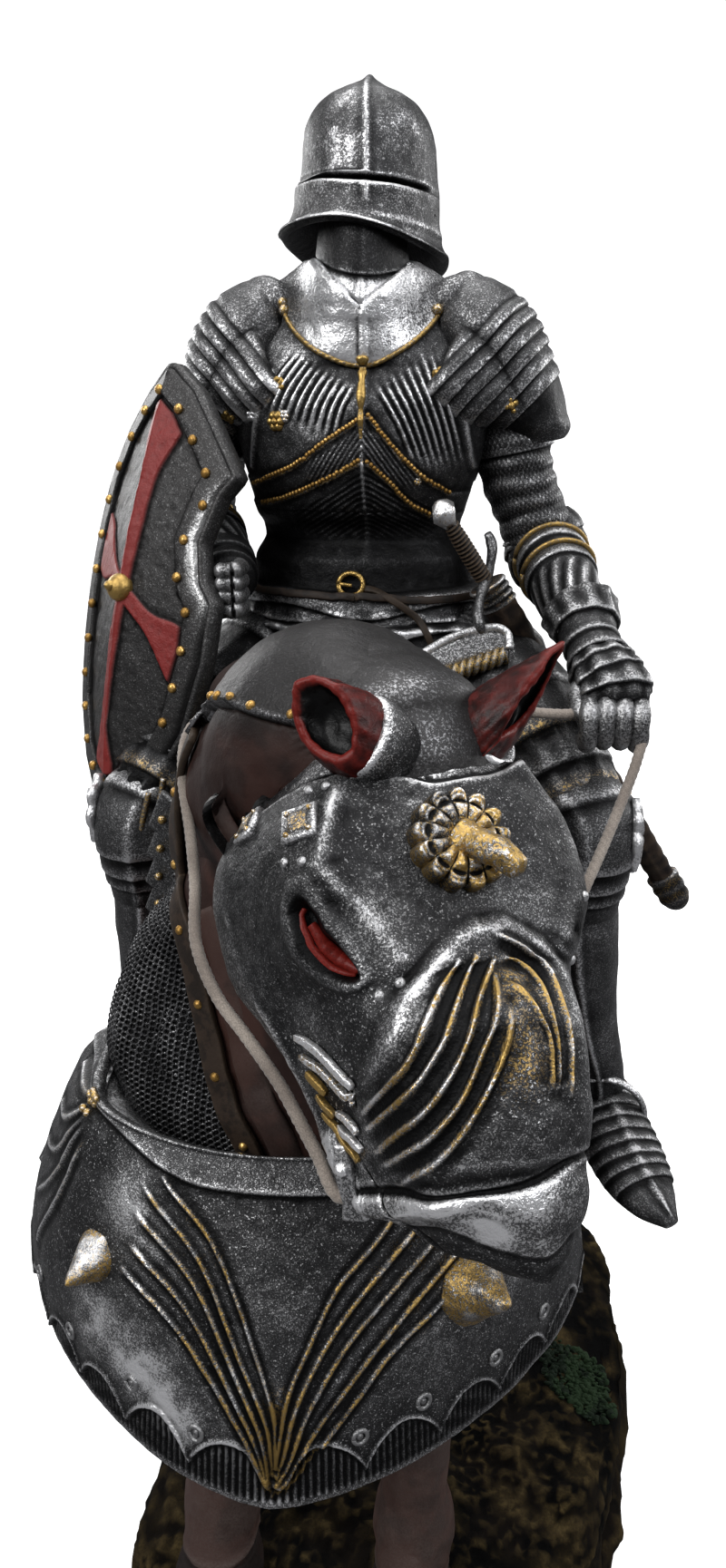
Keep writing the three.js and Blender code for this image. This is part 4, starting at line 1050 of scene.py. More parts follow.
def eyeLips():
    # red lids: a thin one along the cheek and a thick one from the middle of the brow side down
    parts = []
    for side in (-1, 1):
        heart = eyeHeart(side)
        run = chords(heart) / chords(heart)[-1]
        for edge, first, wide, tall in ((side, 0.04, 1.3, 1.3), (-side, 0.34, 2.1, 2.0)):
            share = np.linspace(first, 1.0, 16)
            middle = np.stack([np.interp(share, run, heart[:, k]) for k in range(3)], -1)
            run1 = unit(np.gradient(middle, axis=0))
            across = np.stack([-run1[:, 1], run1[:, 0], 0 * share], -1)
            across = across * np.sign(across[:, 1:2]) * edge
            off = (0.85 if edge == side else 0.42) * eyeWidth(share)[:, None]
            reach = 1.4 * eyeWidth(share)[:, None]
            here, there = (onFace(middle + way * across * reach)[0] for way in (1, -1))
            facing = onHead(np.array([[0, 0, 1.0]])) - onHead(np.array([[0, 0, 0.0]]))
            line = even((here + there) / 2 + (here - there) / 2 * off / reach - facing * 0.5, 0.25)
            taper = np.sin(math.pi * np.linspace(0.12, 0.9, len(line))) ** 0.5
            parts.append(ribbon(line, np.tile(facing[0], (len(line), 1)), wide * taper, tall, sides=18,
                marks={"rub": 0.45}))
    return parts


def bitShank():
    # the cheek bar of the bit, over the end of the string
    line = even([[12.1, -105.8, 140.5], [12.5, -106.6, 138.2], [13.1, -107.0, 135.3], [14.1, -107.0, 131.2]],
        0.3)
    wide = np.interp(np.linspace(0, 1, len(line)), [0, 0.25, 0.75, 1], [1.6, 2.4, 2.2, 3.6])
    bar = ribbon(line, np.tile((-0.25, -0.9, 0.3), (len(line), 1)), wide, 1.5, sides=26, roundness=4,
        marks={"rub": 0.3, "dark": 0.1})
    return [bar, dome(line[int(len(line) * 0.3)] + (-0.2, -0.7, 0.2), unit(np.array((-0.25, -0.9, 0.3))),
        0.9, 0.8, marks={"rub": 0.5})]


def hingeBars():
    # five stepped bars of the hinge between cheek and nose, silver above and gold below
    bars = [
        ([[30.6, -17.8, -12.4], [33.4, -16.4, -9.0], [38.6, -13.6, -5.4]], 1.5, 0.9, 0.1),
        ([[33.0, -17.5, -12.6], [35.6, -16.2, -9.8], [40.6, -13.6, -5.8]], 1.3, 0.75, 0.3),
        ([[34.9, -17.0, -12.8], [38.0, -15.8, -10.6]], 1.5, 0.1, 1.0),
        ([[37.9, -16.2, -12.6], [41.0, -15.0, -10.8]], 1.2, 0.5, 0.8),
        ([[40.6, -14.9, -9.8], [43.6, -13.0, -6.6]], 1.2, 0.9, 0.2),
        ([[42.4, -14.8, -10.2], [45.4, -13.0, -6.8]], 1.2, 0.9, 0.1),
        ([[40.2, -15.8, -12.8], [46.2, -13.4, -8.2]], 1.0, 0.2, 0.8),
    ]
    parts = []
    for line, width, rub, gilt in bars:
        spots, normals = onFace(even(line, 0.5), 0.55)
        taper = 1 - 0.25 * np.linspace(-1, 1, len(spots)) ** 4
        parts.append(ribbon(spots, normals, 0.72 * width * taper, 0.9 * taper, sides=16, roundness=7,
                            marks={"rub": rub, "gilt": gilt}))
    return parts


def faceStuds():
    parts = []
    for place, size in (([8.0, -15.6, -1.0], 4.8), ([2.6, -20.4, -12.6], 4.4)):
        (spot,), (normal,) = onFace([place], 0.2)
        side = unit(np.cross(normal, unit(downFace)))
        down = np.cross(side, normal)
        half = size / 2
        corners = np.array([[-1, -1], [1, -1], [1, 1], [-1, 1]], float)
        rings = []
        for reach, up in ((1.0, -0.6), (1.0, 0.35), (0.92, 0.6), (0.55, 0.62), (0.5, 0.85), (0.02, 0.95)):
            square = []
            for k in range(4):
                for share in np.linspace(0, 1, 6, endpoint=False):
                    c = corners[k] * (1 - share) + corners[(k + 1) % 4] * share
                    square.append(spot + (side * c[0] + down * c[1]) * half * reach + normal * up)
            rings.append(square)
        gilt = np.array([0, 0, 0, 0.05, 0.35, 0.3])[:, None]
        rub = np.array([0.05, 0.2, 0.3, 0.05, 0.2, 0.2])[:, None]
        parts.append(loft(np.array(rings), {"gilt": gilt, "rub": rub}))
        for u, v in ((0.66, 0.66), (-0.66, 0.66), (0.66, -0.66), (-0.66, -0.66), (0, 0)):
            parts.append(dome(spot + (side * u + down * v) * half + normal * 0.5, normal, 0.42, 0.5,
                              marks={"gilt": 0.6, "rub": 0.3}))
    for place in ([2.8, -12.9, 1.2], [2.3, -15.2, 0], [11.7, -17.4, -2.0], [13.0, -15.4, -0.4],
            [28.4, -8.4, 0.5], [29.4, -9.8, -1.0], [20, 14.8, -1.5], [27, 12.4, -1.0]):
        (spot,), (normal,) = onFace([place])
        parts.append(dome(spot, normal, 0.7, 0.5, marks={"dark": 0.35}))
    return parts


rosetteValues = {"centre": (13.2, 1.0, 4.0), "radius": 6.5, "petals": 13, "tip": (19.2, 5.8, 10.6)}


def makeRosette(values):
    (spot,), _ = onFace([values["centre"]])
    normal = unit(outOfFace * 0.95 + acrossFace * 0.12)
    side = unit(np.cross(normal, downFace))
    down = np.cross(side, normal)
    cols = 15 * 14
    rows = 34
    angle = np.arange(cols) / cols * 2 * math.pi
    share = np.linspace(1, 0.04, rows)[:, None]
    petal = np.abs(np.cos(angle * values["petals"] / 2))[None]
    reach = values["radius"] * share * (1 - 0.16 * (1 - petal ** 0.7) * rise(share, 0.6, 1.0))
    grooves = 0.75 * (petal ** 0.6 - 0.6) * rise(share, 0.28, 0.5)
    up = 1.0 + 1.3 * np.sin(np.clip(share, 0, 1) * math.pi) ** 0.8 + grooves
    up = up - 0.9 * hill(share - 0.72, 0.07) * petal  # an eye in each petal
    up = up + 0.5 * hill(share - 0.95, 0.06) * petal
    grid = (spot + (side * np.cos(angle)[None, :, None] + down * np.sin(angle)[None, :, None]) * reach[...,
        None] + normal * up[..., None])
    foot = grid[:1] - normal * 2.2
    grid = np.concatenate([foot, grid])
    worn = np.concatenate([share[:1] * 0, share]) + 0 * angle
    patch = rise(noise3(grid, 2.6, 5), -0.55, 0.35)
    gold = (0.35 + 0.35 * patch) * (0.6 + 0.4 * rise(np.sin(angle + 0.6), -0.8, 0.4))[None]
    disc = loft(grid, {"gilt": gold, "rub": 0.3 * worn * patch, "dark": 0.35 * (1 - patch)})
    root = spot + normal * 0.8 + side * 0.3
    tip = onHead(values["tip"])
    bend = (root + tip) / 2 + normal * 1.3
    horn = tube([[*root, 2.7, 2.6], [*(root * 0.7 + bend * 0.3), 2.25, 2.2], [*bend, 1.95, 1.9],
        [*(bend * 0.35 + tip * 0.65), 1.8, 1.75], [*(bend * 0.08 + tip * 0.92), 1.5, 1.45],
        [*tip, 0.5, 0.5]], downFace, rings=60, sides=40)
    horn = raised(horn, 0.22 * rough3(horn, 1.6, 3))
    return [disc, loft(horn, {"gilt": 0.5 + 0.3 * noise3(horn, 1.6, 8),
        "rub": 0.12 + 0.4 * rise(noise3(horn, 1.4, 15), 0.1, 1)})]


makePiece("horse_head_armour", [headShell] + hingeBars() + faceStuds() + makeRosette(rosetteValues),
    [pewterDark], "horse")
makePiece("horse_eye_lids", eyeLips(), [redPaint], "horse")
makePiece("horse_bit", bitShank(), [pewterDark], "horse")
print("head armour ready")

# Ears: deep cups whose rims are drawn as the photo shows them, each in a short collar

earValues = {"wall": 1.2, "bulge": 1.1, "collar": 1.1}
leftRim = [[3.2, -84.5, 191.8], [5.9, -85.0, 192.9], [8.7, -86.0, 192.0], [10.6, -87.0, 189.6],
    [11.4, -88.0, 186.7], [11.0, -88.6, 184.2], [9.1, -88.6, 182.8], [6.3, -87.6, 183.3],
    [3.9, -86.2, 185.2], [2.7, -85.0, 188.3]]
rightRim = [[36, -71.6, 195.4], [34.9, -71.6, 191.6], [33.1, -72.8, 186.8], [30.4, -75.4, 183.9],
    [28.4, -78.8, 183.6], [30, -78.2, 187.5], [32, -76.2, 191.3], [34.4, -73, 194.7]]


def makeEar(base, radius, rim, values, seed):
    base = np.array(base)
    cols = 110
    closed = np.array(rim + rim[:3], float)
    knots = chords(closed)
    rim = flowing(closed, np.linspace(knots[1], knots[len(closed) - 2], cols + 1)[:-1], knots)
    axis = unit(rim.mean(axis=0) - base)
    off = (rim - base) - ((rim - base) @ axis)[:, None] * axis
    off = unit((np.roll(off, 1, 0) + off + np.roll(off, -1, 0)) / 3)
    foot = base + off * radius - axis * 3.4
    rows = []
    for s in np.linspace(0, 1, 44):
        rows.append(foot * (1 - s) + rim * s + off * values["bulge"] * math.sin(math.pi * s) ** 0.8)
    out = unit(rim - foot)
    rows.append(rim + out * 0.3 - off * values["wall"] * 0.35)
    rows.append(rim + out * 0.15 - off * values["wall"] * 0.8)
    deep = base * 0.35 + rim.mean(axis=0) * 0.65
    for q in np.linspace(0.05, 0.97, 34):
        rows.append((rim - off * values["wall"]) * (1 - q) + deep * q + (off * 0.9 - axis * 1.2)
            * math.sin(math.pi * q) ** 0.8)
    grid = np.array(rows)
    rowShare = np.concatenate([np.linspace(0, 1, 44), [1.02, 1.04], np.linspace(1.05, 2, 34)])[:, None]
    inner = rise(rowShare, 1.03, 1.16)
    fibre = np.sin(np.arange(cols)[None] * 0.9 + 2 * np.sin(rowShare * 5))
    height = 0.16 * rough3(grid, 2.2, seed) + 0.04 * fibre * (1 - inner)
    lip = hill(rowShare - 1.02, 0.05)
    # painted shade inside the cup; the ear is also darker towards its foot, over a darker tone
    marks = {"dark": np.clip(1.25 * inner + 0.2 + 0.35 * (1 - rise(rowShare, 0, 0.6)), 0, 1) + 0 * fibre,
             "rub": 0.6 * lip * rise(noise3(grid, 2, seed), -0.5, 0.6) + 0.05 * (1 - inner)}
    ear = loft(raised(grid, height), marks, slot=1)
    ring = base + off * (radius + 0.5)
    collar = []
    for up, wide in ((-4, 1.0), (-1.0, 1.1), (1.0, 1.1), (1.8, 0.8), (2.0, 0.2), (1.2, -0.5)):
        collar.append(ring + axis * up + off * wide)
    collar = np.array(collar)
    low = np.array([0, 0, 0.1, 0.6, 0.4, 0])[:, None]
    return [ear, loft(collar, {"rub": low * rise(noise3(collar, 3, seed + 2), -0.6, 0.6)})]


earParts = makeEar([11.9, -82.6, 184.0], 4.3, leftRim, earValues, 3)
earParts += makeEar([25.2, -72.6, 182.6], 4.6, rightRim, earValues, 9)
makePiece("horse_ears", earParts, [pewterDark, redPaint], "horse")
print("ears ready")

# Neck plates: a dome of overlapping lames over the crest

crinetValues = {"edge": 0.5}


def plated(path, lames, values, rings, sides):
    # a dome of plates down to an edge along each side of the neck, and the bare neck below it
    grid = tube(path, (0, 1, 0.45), rings=rings, sides=sides)
    share = np.linspace(0, 1, rings)[:, None]
    angle = np.arange(sides)[None] / sides * 2 * math.pi
    height = np.zeros(share.shape) + 0 * angle
    dark = np.zeros(height.shape)
    rub = np.zeros(height.shape)
    for edge in lames:
        past = share - edge - 0.012 * np.cos(2 * angle)
        height += values["edge"] * (1 - rise(past, -0.004, 0.004)) * 0.55 + 0.3 * hill(past + 0.018, 0.012)
        # painted shade under each lame's edge
        dark += 0.7 * hill(past - 0.006, 0.008)
        rub += 0.16 * hill(past + 0.018, 0.012)
    foot = np.interp(grid[..., 1], [-80, -73.7, -67, -62, -55, -48, -40],
        [185.4, 186, 184.4, 181.6, 177, 171, 160])
    foot = foot - rise(grid[..., 0] - 6, -4, 5) * 8
    over = grid[..., 2] - foot
    cover = rise(over, -0.25, 0.25)
    height += 0.2 * rough3(grid, 9, 5) + 0.05 * noise3(grid, 1.4, 8) + 0.3 * hill(over - 0.5, 0.5)
    poll = hill(np.linalg.norm((grid - (17, -80, 185)) * (0.8, 1, 1), axis=-1), 5)
    rub += 0.08 * rise(noise3(grid, 7, 19), 0, 1) + 0.3 * hill(over - 0.4,
        0.35) + 0.42 * poll * rise(noise3(grid, 3, 9), -0.7, 0.5)
    shell = raised(grid, height - 3.2 * (1 - cover))
    skin = raised(grid, -1.6 - 1.6 * cover + 0.3 * rough3(grid, 7, 3))
    # the neck below is darkened as painted shade under the dome's edge, over a darker tone
    return (loft(shell, {"rub": rub, "dark": np.clip(dark, 0, 1)}),
        loft(skin, {"dark": np.clip(0.5 * hill(over, 2.5) + 0.25 + 0.3 * rise(noise3(grid, 5, 4), 0, 1), 0,
        1)}, slot=1))


crinetShell, neckSkin = plated([[-3.2, -41.6, 141, 27, 20], [-2.6, -43, 148, 26.4, 20],
    [-2, -47, 157, 25, 20.6], [-0.6, -53, 165, 22.6, 21.2], [2.2, -59, 171.4, 21, 20.6],
    [5.6, -64.6, 176.6, 19.4, 19.2], [9.6, -69.4, 176.2, 17.2, 15.8], [12.2, -71.4, 173, 14.4, 12.4]],
    (0.12, 0.27, 0.42, 0.57, 0.72), crinetValues, 210, 260)
pollShell, pollSkin = plated([[7.0, -61.8, 171.6, 17.6, 17.4], [10.4, -67, 176, 18.2, 17.6],
    [13, -70.6, 176.2, 16.8, 16.2], [14.8, -73, 173.4, 15.2, 14.4], [15.6, -74.6, 168.8, 13.2, 12.4]],
    (0.62,), crinetValues, 110, 170)
crinetTree = treeOf([crinetShell])


def crinetPlates():
    # small plates that overlap along the foot of the dome
    parts = []
    for k, place in enumerate([[-17.2, -58.5, 177.5], [-14.1, -60.0, 178.9], [-10.9, -62.0, 179.6],
            [-7.5, -64.5, 179.7], [-4.1, -67.0, 180.3]]):
        (spot,), (normal,) = onto(neckTree, [place], 1.2)
        side = unit(np.cross(normal, (0.2, 0, 1)))
        down = unit(np.cross(side, normal))
        rows = [spot - down * 0.8 + side * 0.3, spot + down * 1.6, spot + down * 3.2 - side * 0.4]
        tilt = unit(normal + side * 0.35)
        parts.append(ribbon(even(rows, 0.3), np.tile(tilt, (len(even(rows, 0.3)), 1)), 4.0, 0.8, sides=20,
            roundness=6, marks={"rub": 0.22, "dark": 0.1}))
    return parts


neckTree = treeOf(hideParts[:2] + [neckSkin, pollSkin])
makePiece("horse_crinet", [crinetShell, neckSkin, pollShell, pollSkin] + crinetPlates(),
    [pewterDome, hidePaint], "horse")
print("neck plates ready")

# The chest plate

peytralValues = {"x": -5.5, "y": -42, "turn": 4.5, "back": -45, "wall": 2.2, "columns": 470, "rows": 172,
                 "flute": 0.46, "fluteWidth": 0.28, "collar": 0.6, "underlayer": 1.0}
peytralLevels = [[117, 41, 33], [112, 45, 37], [98, 50, 44], [82, 53.4, 50], [65, 54, 53.5]]
# the two fans of flutes, each line [degrees from the middle, height]
leftFan = [
    [[-35, 95.2], [-20, 90.5], [-10, 83.4], [-2, 72.9], [0, 68.1]],
    [[-34, 99.3], [-17, 92.9], [-9, 85.5], [-2, 75.0], [0, 69]],
    [[-34, 104.1], [-16, 96.6], [-7, 86.4], [-1, 75.7], [0, 70]],
    [[-34, 108.2], [-15, 99.4], [-6, 88.3], [0, 77.1], [0.6, 71]],
    [[-30, 110], [-13, 102.3], [-3, 89.2], [1, 78.4], [1, 72]],
]
rightFan = [
    [[34, 110.5], [23, 103.5], [13, 97.4], [7, 89.8], [3, 82.5], [1.6, 75.2], [1.2, 72]],
    [[38, 107], [26, 100.9], [18, 96.3], [9.2, 88.6], [4, 80.1], [2.2, 73.2], [1.2, 70.6]],
    [[40, 103.5], [26, 97], [13, 88.4], [6, 79.5], [2.6, 71.4], [1.0, 69.4]],
    [[42, 99.5], [28, 93.2], [15, 84.6], [7, 76.6], [3, 70.2], [0.9, 68.4]],
    [[44, 95.5], [33, 91.5], [21.5, 86.4], [15.5, 81.5], [8, 74.3], [3, 68.6], [0.5, 67.3]],
]
sideFlutes = [
    [[-57, 114], [-66, 112.5], [-78, 112]],
    [[-57, 113], [-67, 107], [-80, 104]],
    [[-56, 112], [-66, 101.5], [-79, 96.5]],
    [[-55, 111], [-63, 98], [-74, 89]],
    [[-53, 108], [-58, 97], [-66, 84]],
]


def bellGrid(values, degrees, levels):
    # points of the bell at each turn from the front and each level from top to foot
    rows = flowing(peytralLevels, levels * 4, np.arange(5))
    turn = np.radians(degrees)[None, :]
    level = levels[:, None]
    power = 2.1 - 0.58 * level
    angle = turn - math.pi / 2
    w = squared(np.cos(angle), power) * rows[:, 1, None]
    d = squared(np.sin(angle), power) * rows[:, 2, None]
    t = math.radians(values["turn"])
    # the upper ends draw in against the neck
    w = w * (1 - 0.17 * rise(np.abs(degrees), 42, 80)[None, :] * (1 - level) ** 1.3)
    x = values["x"] + w * math.cos(t) - d * math.sin(t)
    y = values["y"] + w * math.sin(t) + d * math.cos(t)
    z = rows[:, 0, None] - 4 * np.cos(turn) * (1 - level)
    return np.stack([x, y, np.broadcast_to(z, x.shape)], -1)


def makePeytral(values):
    degrees = np.linspace(-86, 86, values["columns"])
    levels = np.linspace(0, 1, values["rows"])
    grid = bellGrid(values, degrees, levels)
    grid[:, :, 1] = np.minimum(grid[:, :, 1], values["back"] + 0.2)
    t = math.radians(-values["turn"])
    x = grid[..., 0] - values["x"]
    y = grid[..., 1] - values["y"]
    turn = np.degrees(np.arctan2(x * math.cos(t) - y * math.sin(t), -(x * math.sin(t) + y * math.cos(t))))
    z = grid[..., 2]
    flat = np.stack([turn * 0.87, z * 1.12], -1)
    onFlat = lambda line: even(np.array(line) * (0.87, 1.12), 1.0)
    height = np.zeros(z.shape)
    rub = np.zeros(z.shape)
    gilt = np.zeros(z.shape)
    dark = np.zeros(z.shape)
    # scalloped foot over a ribbed lining
    scallop = 68.7 + 6.2 * np.abs(np.sin((turn - 1) / 15.3 * math.pi)) ** 0.7 * rise(np.abs(turn - 1), 0, 5)
    above = rise(z - scallop, -0.25, 0.25)
    height += values["underlayer"] * above
    rub += 0.4 * hill(z - scallop - 0.45, 0.3) * rise(noise3(grid, 3, 21), -0.6, 0.6)
    height += 0.35 * hill(z - scallop - 0.6, 0.6)
    ribs = np.sin(turn * 0.87 * 2 * math.pi / 1.15)
    below = 1 - above
    height += 0.28 * ribs * below * rise(z, 65.5, 66.5)
    # painted shade over the lining under the scallops, deeper between its ribs, and a painted shadow line
    # under the scalloped edge
    dark += (0.62 + 0.3 * (ribs < -0.1)) * below * rise(z, 66.2, 67) + 0.8 * hill(z - scallop + 0.5, 0.5)
    rub += 0.2 * below * hill(ribs - 1, 0.4) * hill(z - scallop + 2.2, 1.6) + 0.2 * (1 - rise(z, 65.4, 66.4))
    # fans
    for fan in (leftFan, rightFan):
        for k, line in enumerate(fan):
            d, share = near(flat, onFlat(line))
            ends = rise(share, 0.0, 0.10)
            width = values["fluteWidth"] * (1.25 - 0.5 * share)
            gap = 1.25 - 0.7 * share
            height += values["flute"] * (hill(d, width) - 0.45 * hill(d - gap,
                0.8 * gap)) * ends * (1.15 - 0.35 * share)
            gilt += (0.9 * hill(d, 0.26) * (0.65 + 0.7 * noise3(grid, 1.6, 60 + k)) + 0.5 * hill(d,
                1.2) * hill(share, 0.3) * rise(noise3(grid, 2.4, 65 + k), 0.0, 0.6)) * ends
            # painted shade in the groove beside each flute
            dark += 0.3 * hill(d - gap, 0.6 * gap) * ends
            rub += (0.1 * hill(d, 0.45) + 0.5 * hill(d, 1.2) * hill(share,
                0.2) * rise(noise3(grid, 2.4, 75 + k), -0.2, 0.5)) * ends
    near0 = hill(turn * 0.87 - 0.8, 2.2) * rise(z, 66, 70) * (1 - rise(z, 80, 86))
    gilt += 0.7 * near0 * rise(noise3(grid, 2.5, 77), -0.6, 0.4)
    rub += 0.5 * hill(np.hypot(turn * 0.87, z - 68.5), 2.4)
    for line in sideFlutes:
        for side in (1, -1):
            d, share = near(flat, onFlat([[side * p[0] + (1 - side), p[1]] for p in line]))
            height += 0.4 * (hill(d, 0.6) - 0.4 * hill(d - 1.4, 0.8)) * rise(share, 0, 0.1)
            rub += 0.2 * hill(d, 0.4) * rise(share, 0, 0.1)
            gilt += 0.2 * hill(d, 0.5) * rise(noise3(grid, 5, 71), -0.2, 0.5)
            # painted shade beside each side flute
            dark += 0.45 * hill(d - 1.5, 0.7)
    # collar with its lip
    collarFoot = 109.2 + 4.5 * rise(np.abs(turn - 2), 18, 60)
    collar = rise(z - collarFoot, -0.25, 0.25)
    height += values["collar"] * collar
    # painted shadow under the collar's step
    dark += 0.5 * hill(z - collarFoot + 0.5, 0.5)
    rub += 0.12 * hill(z - collarFoot - 0.3, 0.35) + 0.06 * collar
    lip = hill(levels[:, None], 0.018)
    height += 0.3 * lip
    rub += 0.2 * lip * (0.5 + 0.7 * noise3(grid, 2, 33))
    # painted highlights: bright patches where the lights catch the plate
    for centre, reach, strength in (((-25, 80), 6.2, 1.0), ((-17, 75.5), 4.6, 0.9), ((-38, 84), 6, 0.7),
            ((-36, 105), 4.5, 0.7), ((-30, 100), 6, 0.35), ((-7, 73.5), 3.0, 0.5), ((0, 96), 10, 0.16),
            ((-4, 84), 5, 0.2), ((30, 84), 9, 0.2), ((50, 90), 8, 0.25)):
        d = np.hypot((turn - centre[0]) * 0.87, (z - centre[1]) * 1.1)
        rub += 1.1 * strength * hill(d, reach) * (0.65 + 0.5 * noise3(grid, 1.6, 40))
    height += 0.3 * rough3(grid, 10, 14) + 0.08 * noise3(grid, 1.8, 18)
    outward = grid - np.array([values["x"], values["y"] + 20, 100.0])
    grid = raised(grid, height, loop=False, outward=outward)
    marks = {"rub": np.clip(rub, 0, 1.2), "gilt": np.clip(gilt, 0, 1), "dark": np.clip(dark, 0, 1)}
    return bellShell(grid, marks, values)


def bellShell(grid, marks, values):
    # outer surface and a coarser lining joined into one wall, ring by ring round the chest
    rows, cols = grid.shape[:2]
    lining = grid - gridNormals(grid, False, grid - np.array([values["x"], values["y"] + 20,
        100.0])) * values["wall"]
    pick = np.linspace(rows - 1, 0, 12).astype(int)
    inner = lining[pick]
    for _ in range(8):
        inner[:, 1:-1] = (inner[:, :-2] + 2 * inner[:, 1:-1] + inner[:, 2:]) / 4
    rings = np.concatenate([grid, inner]).transpose(1, 0, 2)
    flat = {key: np.concatenate([mark, np.zeros((12, cols))]).T for key, mark in marks.items()}
    ends = []
    for ring in (rings[0], rings[-1]):
        # the two ends close on the middle line of the wall
        outer = ring[:rows]
        inside = np.array([np.interp(np.linspace(0, 1, rows), np.linspace(0, 1, 12), ring[rows:][::-1, k])
            for k in range(3)]).T
        middle = (outer + inside) / 2
        back = np.array([np.interp(np.linspace(0, 1, 12), np.linspace(0, 1, rows), middle[:, k])
            for k in range(3)]).T[::-1]
        ends.append(np.concatenate([middle, back]))
    rings = np.concatenate([[ends[0]], rings, [ends[1]]])
    flat = {key: np.concatenate([mark[:1] * 0, mark, mark[-1:] * 0]) for key, mark in flat.items()}
    part = loft(rings, flat)
    part["t"] = part["t"][:0]  # the ends already meet, so they need no hub
    return weldEnds(part, rings.shape[0], rings.shape[1], rows)


def weldEnds(part, rings, ring, rows):
    # drop the hubs and join the folded end rings to themselves with a strip of faces
    last = (rings - 1) * ring
    faces = []
    for start, flip in ((0, False), (last, True)):
        i = 0
        j = ring - 1
        while i < rows - 1 or j > rows:
            stepOuter = i < rows - 1 and (j <= rows or i / (rows - 1) <= (ring - 1 - j) / (ring - 1 - rows))
            if stepOuter:
                tri = (start + i, start + i + 1, start + j)
                i += 1
            else:
                tri = (start + i, start + j - 1, start + j)
                j -= 1
            faces.append(tri[::-1] if flip else tri)
    part["t"] = np.array(faces)
    part["v"] = part["v"][:-2]
    part["marks"] = {key: mark[:-2] for key, mark in part["marks"].items()}
    return part


peytralShell = makePeytral(peytralValues)
peytralTree = treeOf([peytralShell])
print("chest plate shaped")


def onBell(degrees, z, lift=0.0):
    # a place on the chest plate by its turn from the front and its height
    t = math.radians(peytralValues["turn"])
    turn = math.radians(degrees)
    out = np.array([math.sin(turn) * math.cos(t) + math.cos(turn) * math.sin(t),
                    math.sin(turn) * math.sin(t) - math.cos(turn) * math.cos(t), 0])
    start = np.array([peytralValues["x"], peytralValues["y"], z]) + out * 90
    spot, normal, _, _ = peytralTree.ray_cast(Vector(start), Vector(-out))
    if spot is None:
        spot, normal, _, _ = peytralTree.find_nearest(Vector(start - out * 45))
    return np.array(spot) + np.array(normal) * lift, np.array(normal)


def peytralFittings():
    parts = []
    for root, tip, rub in (([-28.6, -68.5, 93.2], [-35.5, -85.6, 94.0], 0.6),
            ([22.8, -69, 89], [33.8, -82.5, 96.6], 0.35)):
        root, tip = np.array(root), np.array(tip)
        along = unit(tip - root)
        length = np.linalg.norm(tip - root)
        stations = [[*(root + along * length * share), half, half] for share,
            half in ((-0.1, 17), (0.08, 13.5), (0.2, 9.6), (0.36, 6.6), (0.6, 4.2), (0.85, 1.9), (0.96, 0.8),
            (1.0, 0.15))]
        cone = tube(stations, (0, 0, 1), rings=60, sides=72)
        cone = raised(cone, 0.2 * rough3(cone, 2.5, 4))
        share = np.linspace(0, 1, 60)[:, None]
        face = rise(noise3(cone, 3, 9), -0.5, 0.6)
        parts.append(loft(cone, {"rub": rub * (0.3 + 0.7 * face) * rise(share, 0.15, 0.5),
            "gilt": 0.5 * (1 - 0.6 * face) * rise(share, 0.2, 0.5)}))
    # gilt studs where the hinge plate sits at the left of the collar, and their pair on the right
    for side in (-1, 1):
        for k in range(4):
            for j in range(3):
                spot, normal = onBell(side * (60 - 1.6 * j) + 2, 120.0 - 2.0 * k + 0.3 * j, 0.0)
                parts.append(dome(spot, normal, 0.75, 0.6, marks={"gilt": 0.65, "rub": 0.3}))
    # eyelet rivets over the scallops
    for turn, z in ((-48, 76.4), (-28, 77.5), (-13, 75.4), (15.5, 75.6), (28, 77.2), (45, 77.5), (60, 78),
            (-64, 78)):
        spot, normal = onBell(turn, z, 0.15)
        side = unit(np.cross(normal, (0, 0, 1)))
        up = np.cross(side, normal)
        angle = np.linspace(0, 2 * math.pi, 25)[:-1]
        circle = spot + (side * np.cos(angle)[:, None] + up * np.sin(angle)[:, None]) * 1.15
        ring = []
        tubeAngle = np.arange(8) / 8 * 2 * math.pi
        for p in circle:
            out = unit(p - spot)
            ring.append(p + (out * np.cos(tubeAngle)[:, None] + normal * np.sin(tubeAngle)[:, None]) * 0.38)
        grid = np.array(ring)
        grid = np.concatenate([grid, grid[:1]])
        parts.append(loft(grid, {"dark": 0.55}))
        parts.append(dome(spot - normal * 0.1, normal, 0.6, 0.35, marks={"dark": 0.6}))
    return parts


makePiece("horse_chest_plate", [peytralShell] + peytralFittings(), [pewterDark], "horse")
print("chest plate ready")
# Mail over the side of the neck, and the strap that borders it

tackValues = {"linkPitch": 1.28, "linkRadius": 0.62, "strapWidth": 4.4, "studRadius": 0.85}
strapLine = [[-17.5, -61, 178], [-19.5, -58.5, 171], [-21, -57, 162], [-21.5, -56.5, 152.6],
    [-19.7, -61.8, 149.2], [-17.9, -66, 143.4], [-16.2, -67.6, 134.8], [-14.4, -69, 127.5],
    [-12.2, -70.2, 120.1], [-9, -71.5, 113.4], [-7.6, -71.8, 108]]


def makeStrap(values):
    rows = even(strapLine, 0.5)
    spots, normals = onto(neckTree, rows, 1.0)
    spots = softened(spots, 20)
    normals = unit(softened(normals, 30))
    grid = ribbon(spots, normals, values["strapWidth"], 1.3, sides=24, roundness=5, slot=0,
                  marks={"rub": 0.12, "dark": 0.15})
    parts = [grid]
    # a bulge of hide between strap and throat
    side = unit(np.cross(normals, np.gradient(spots, axis=0)))
    side = side * np.sign(side[:, :1].mean() + 1e-9)
    low = spots[:, 2] < 148
    lane = (spots + side * 5.2 - normals * 1.8)[low]
    parts.append(ribbon(lane, normals[low], 5.6, 3.0, sides=20, slot=1, marks={"dark": 0.0}))
    return parts, spots, normals


strapParts, strapSpots, strapNormals = makeStrap(tackValues)
makePiece("horse_neck_strap", strapParts, [leatherPaint, hidePaint], "horse")


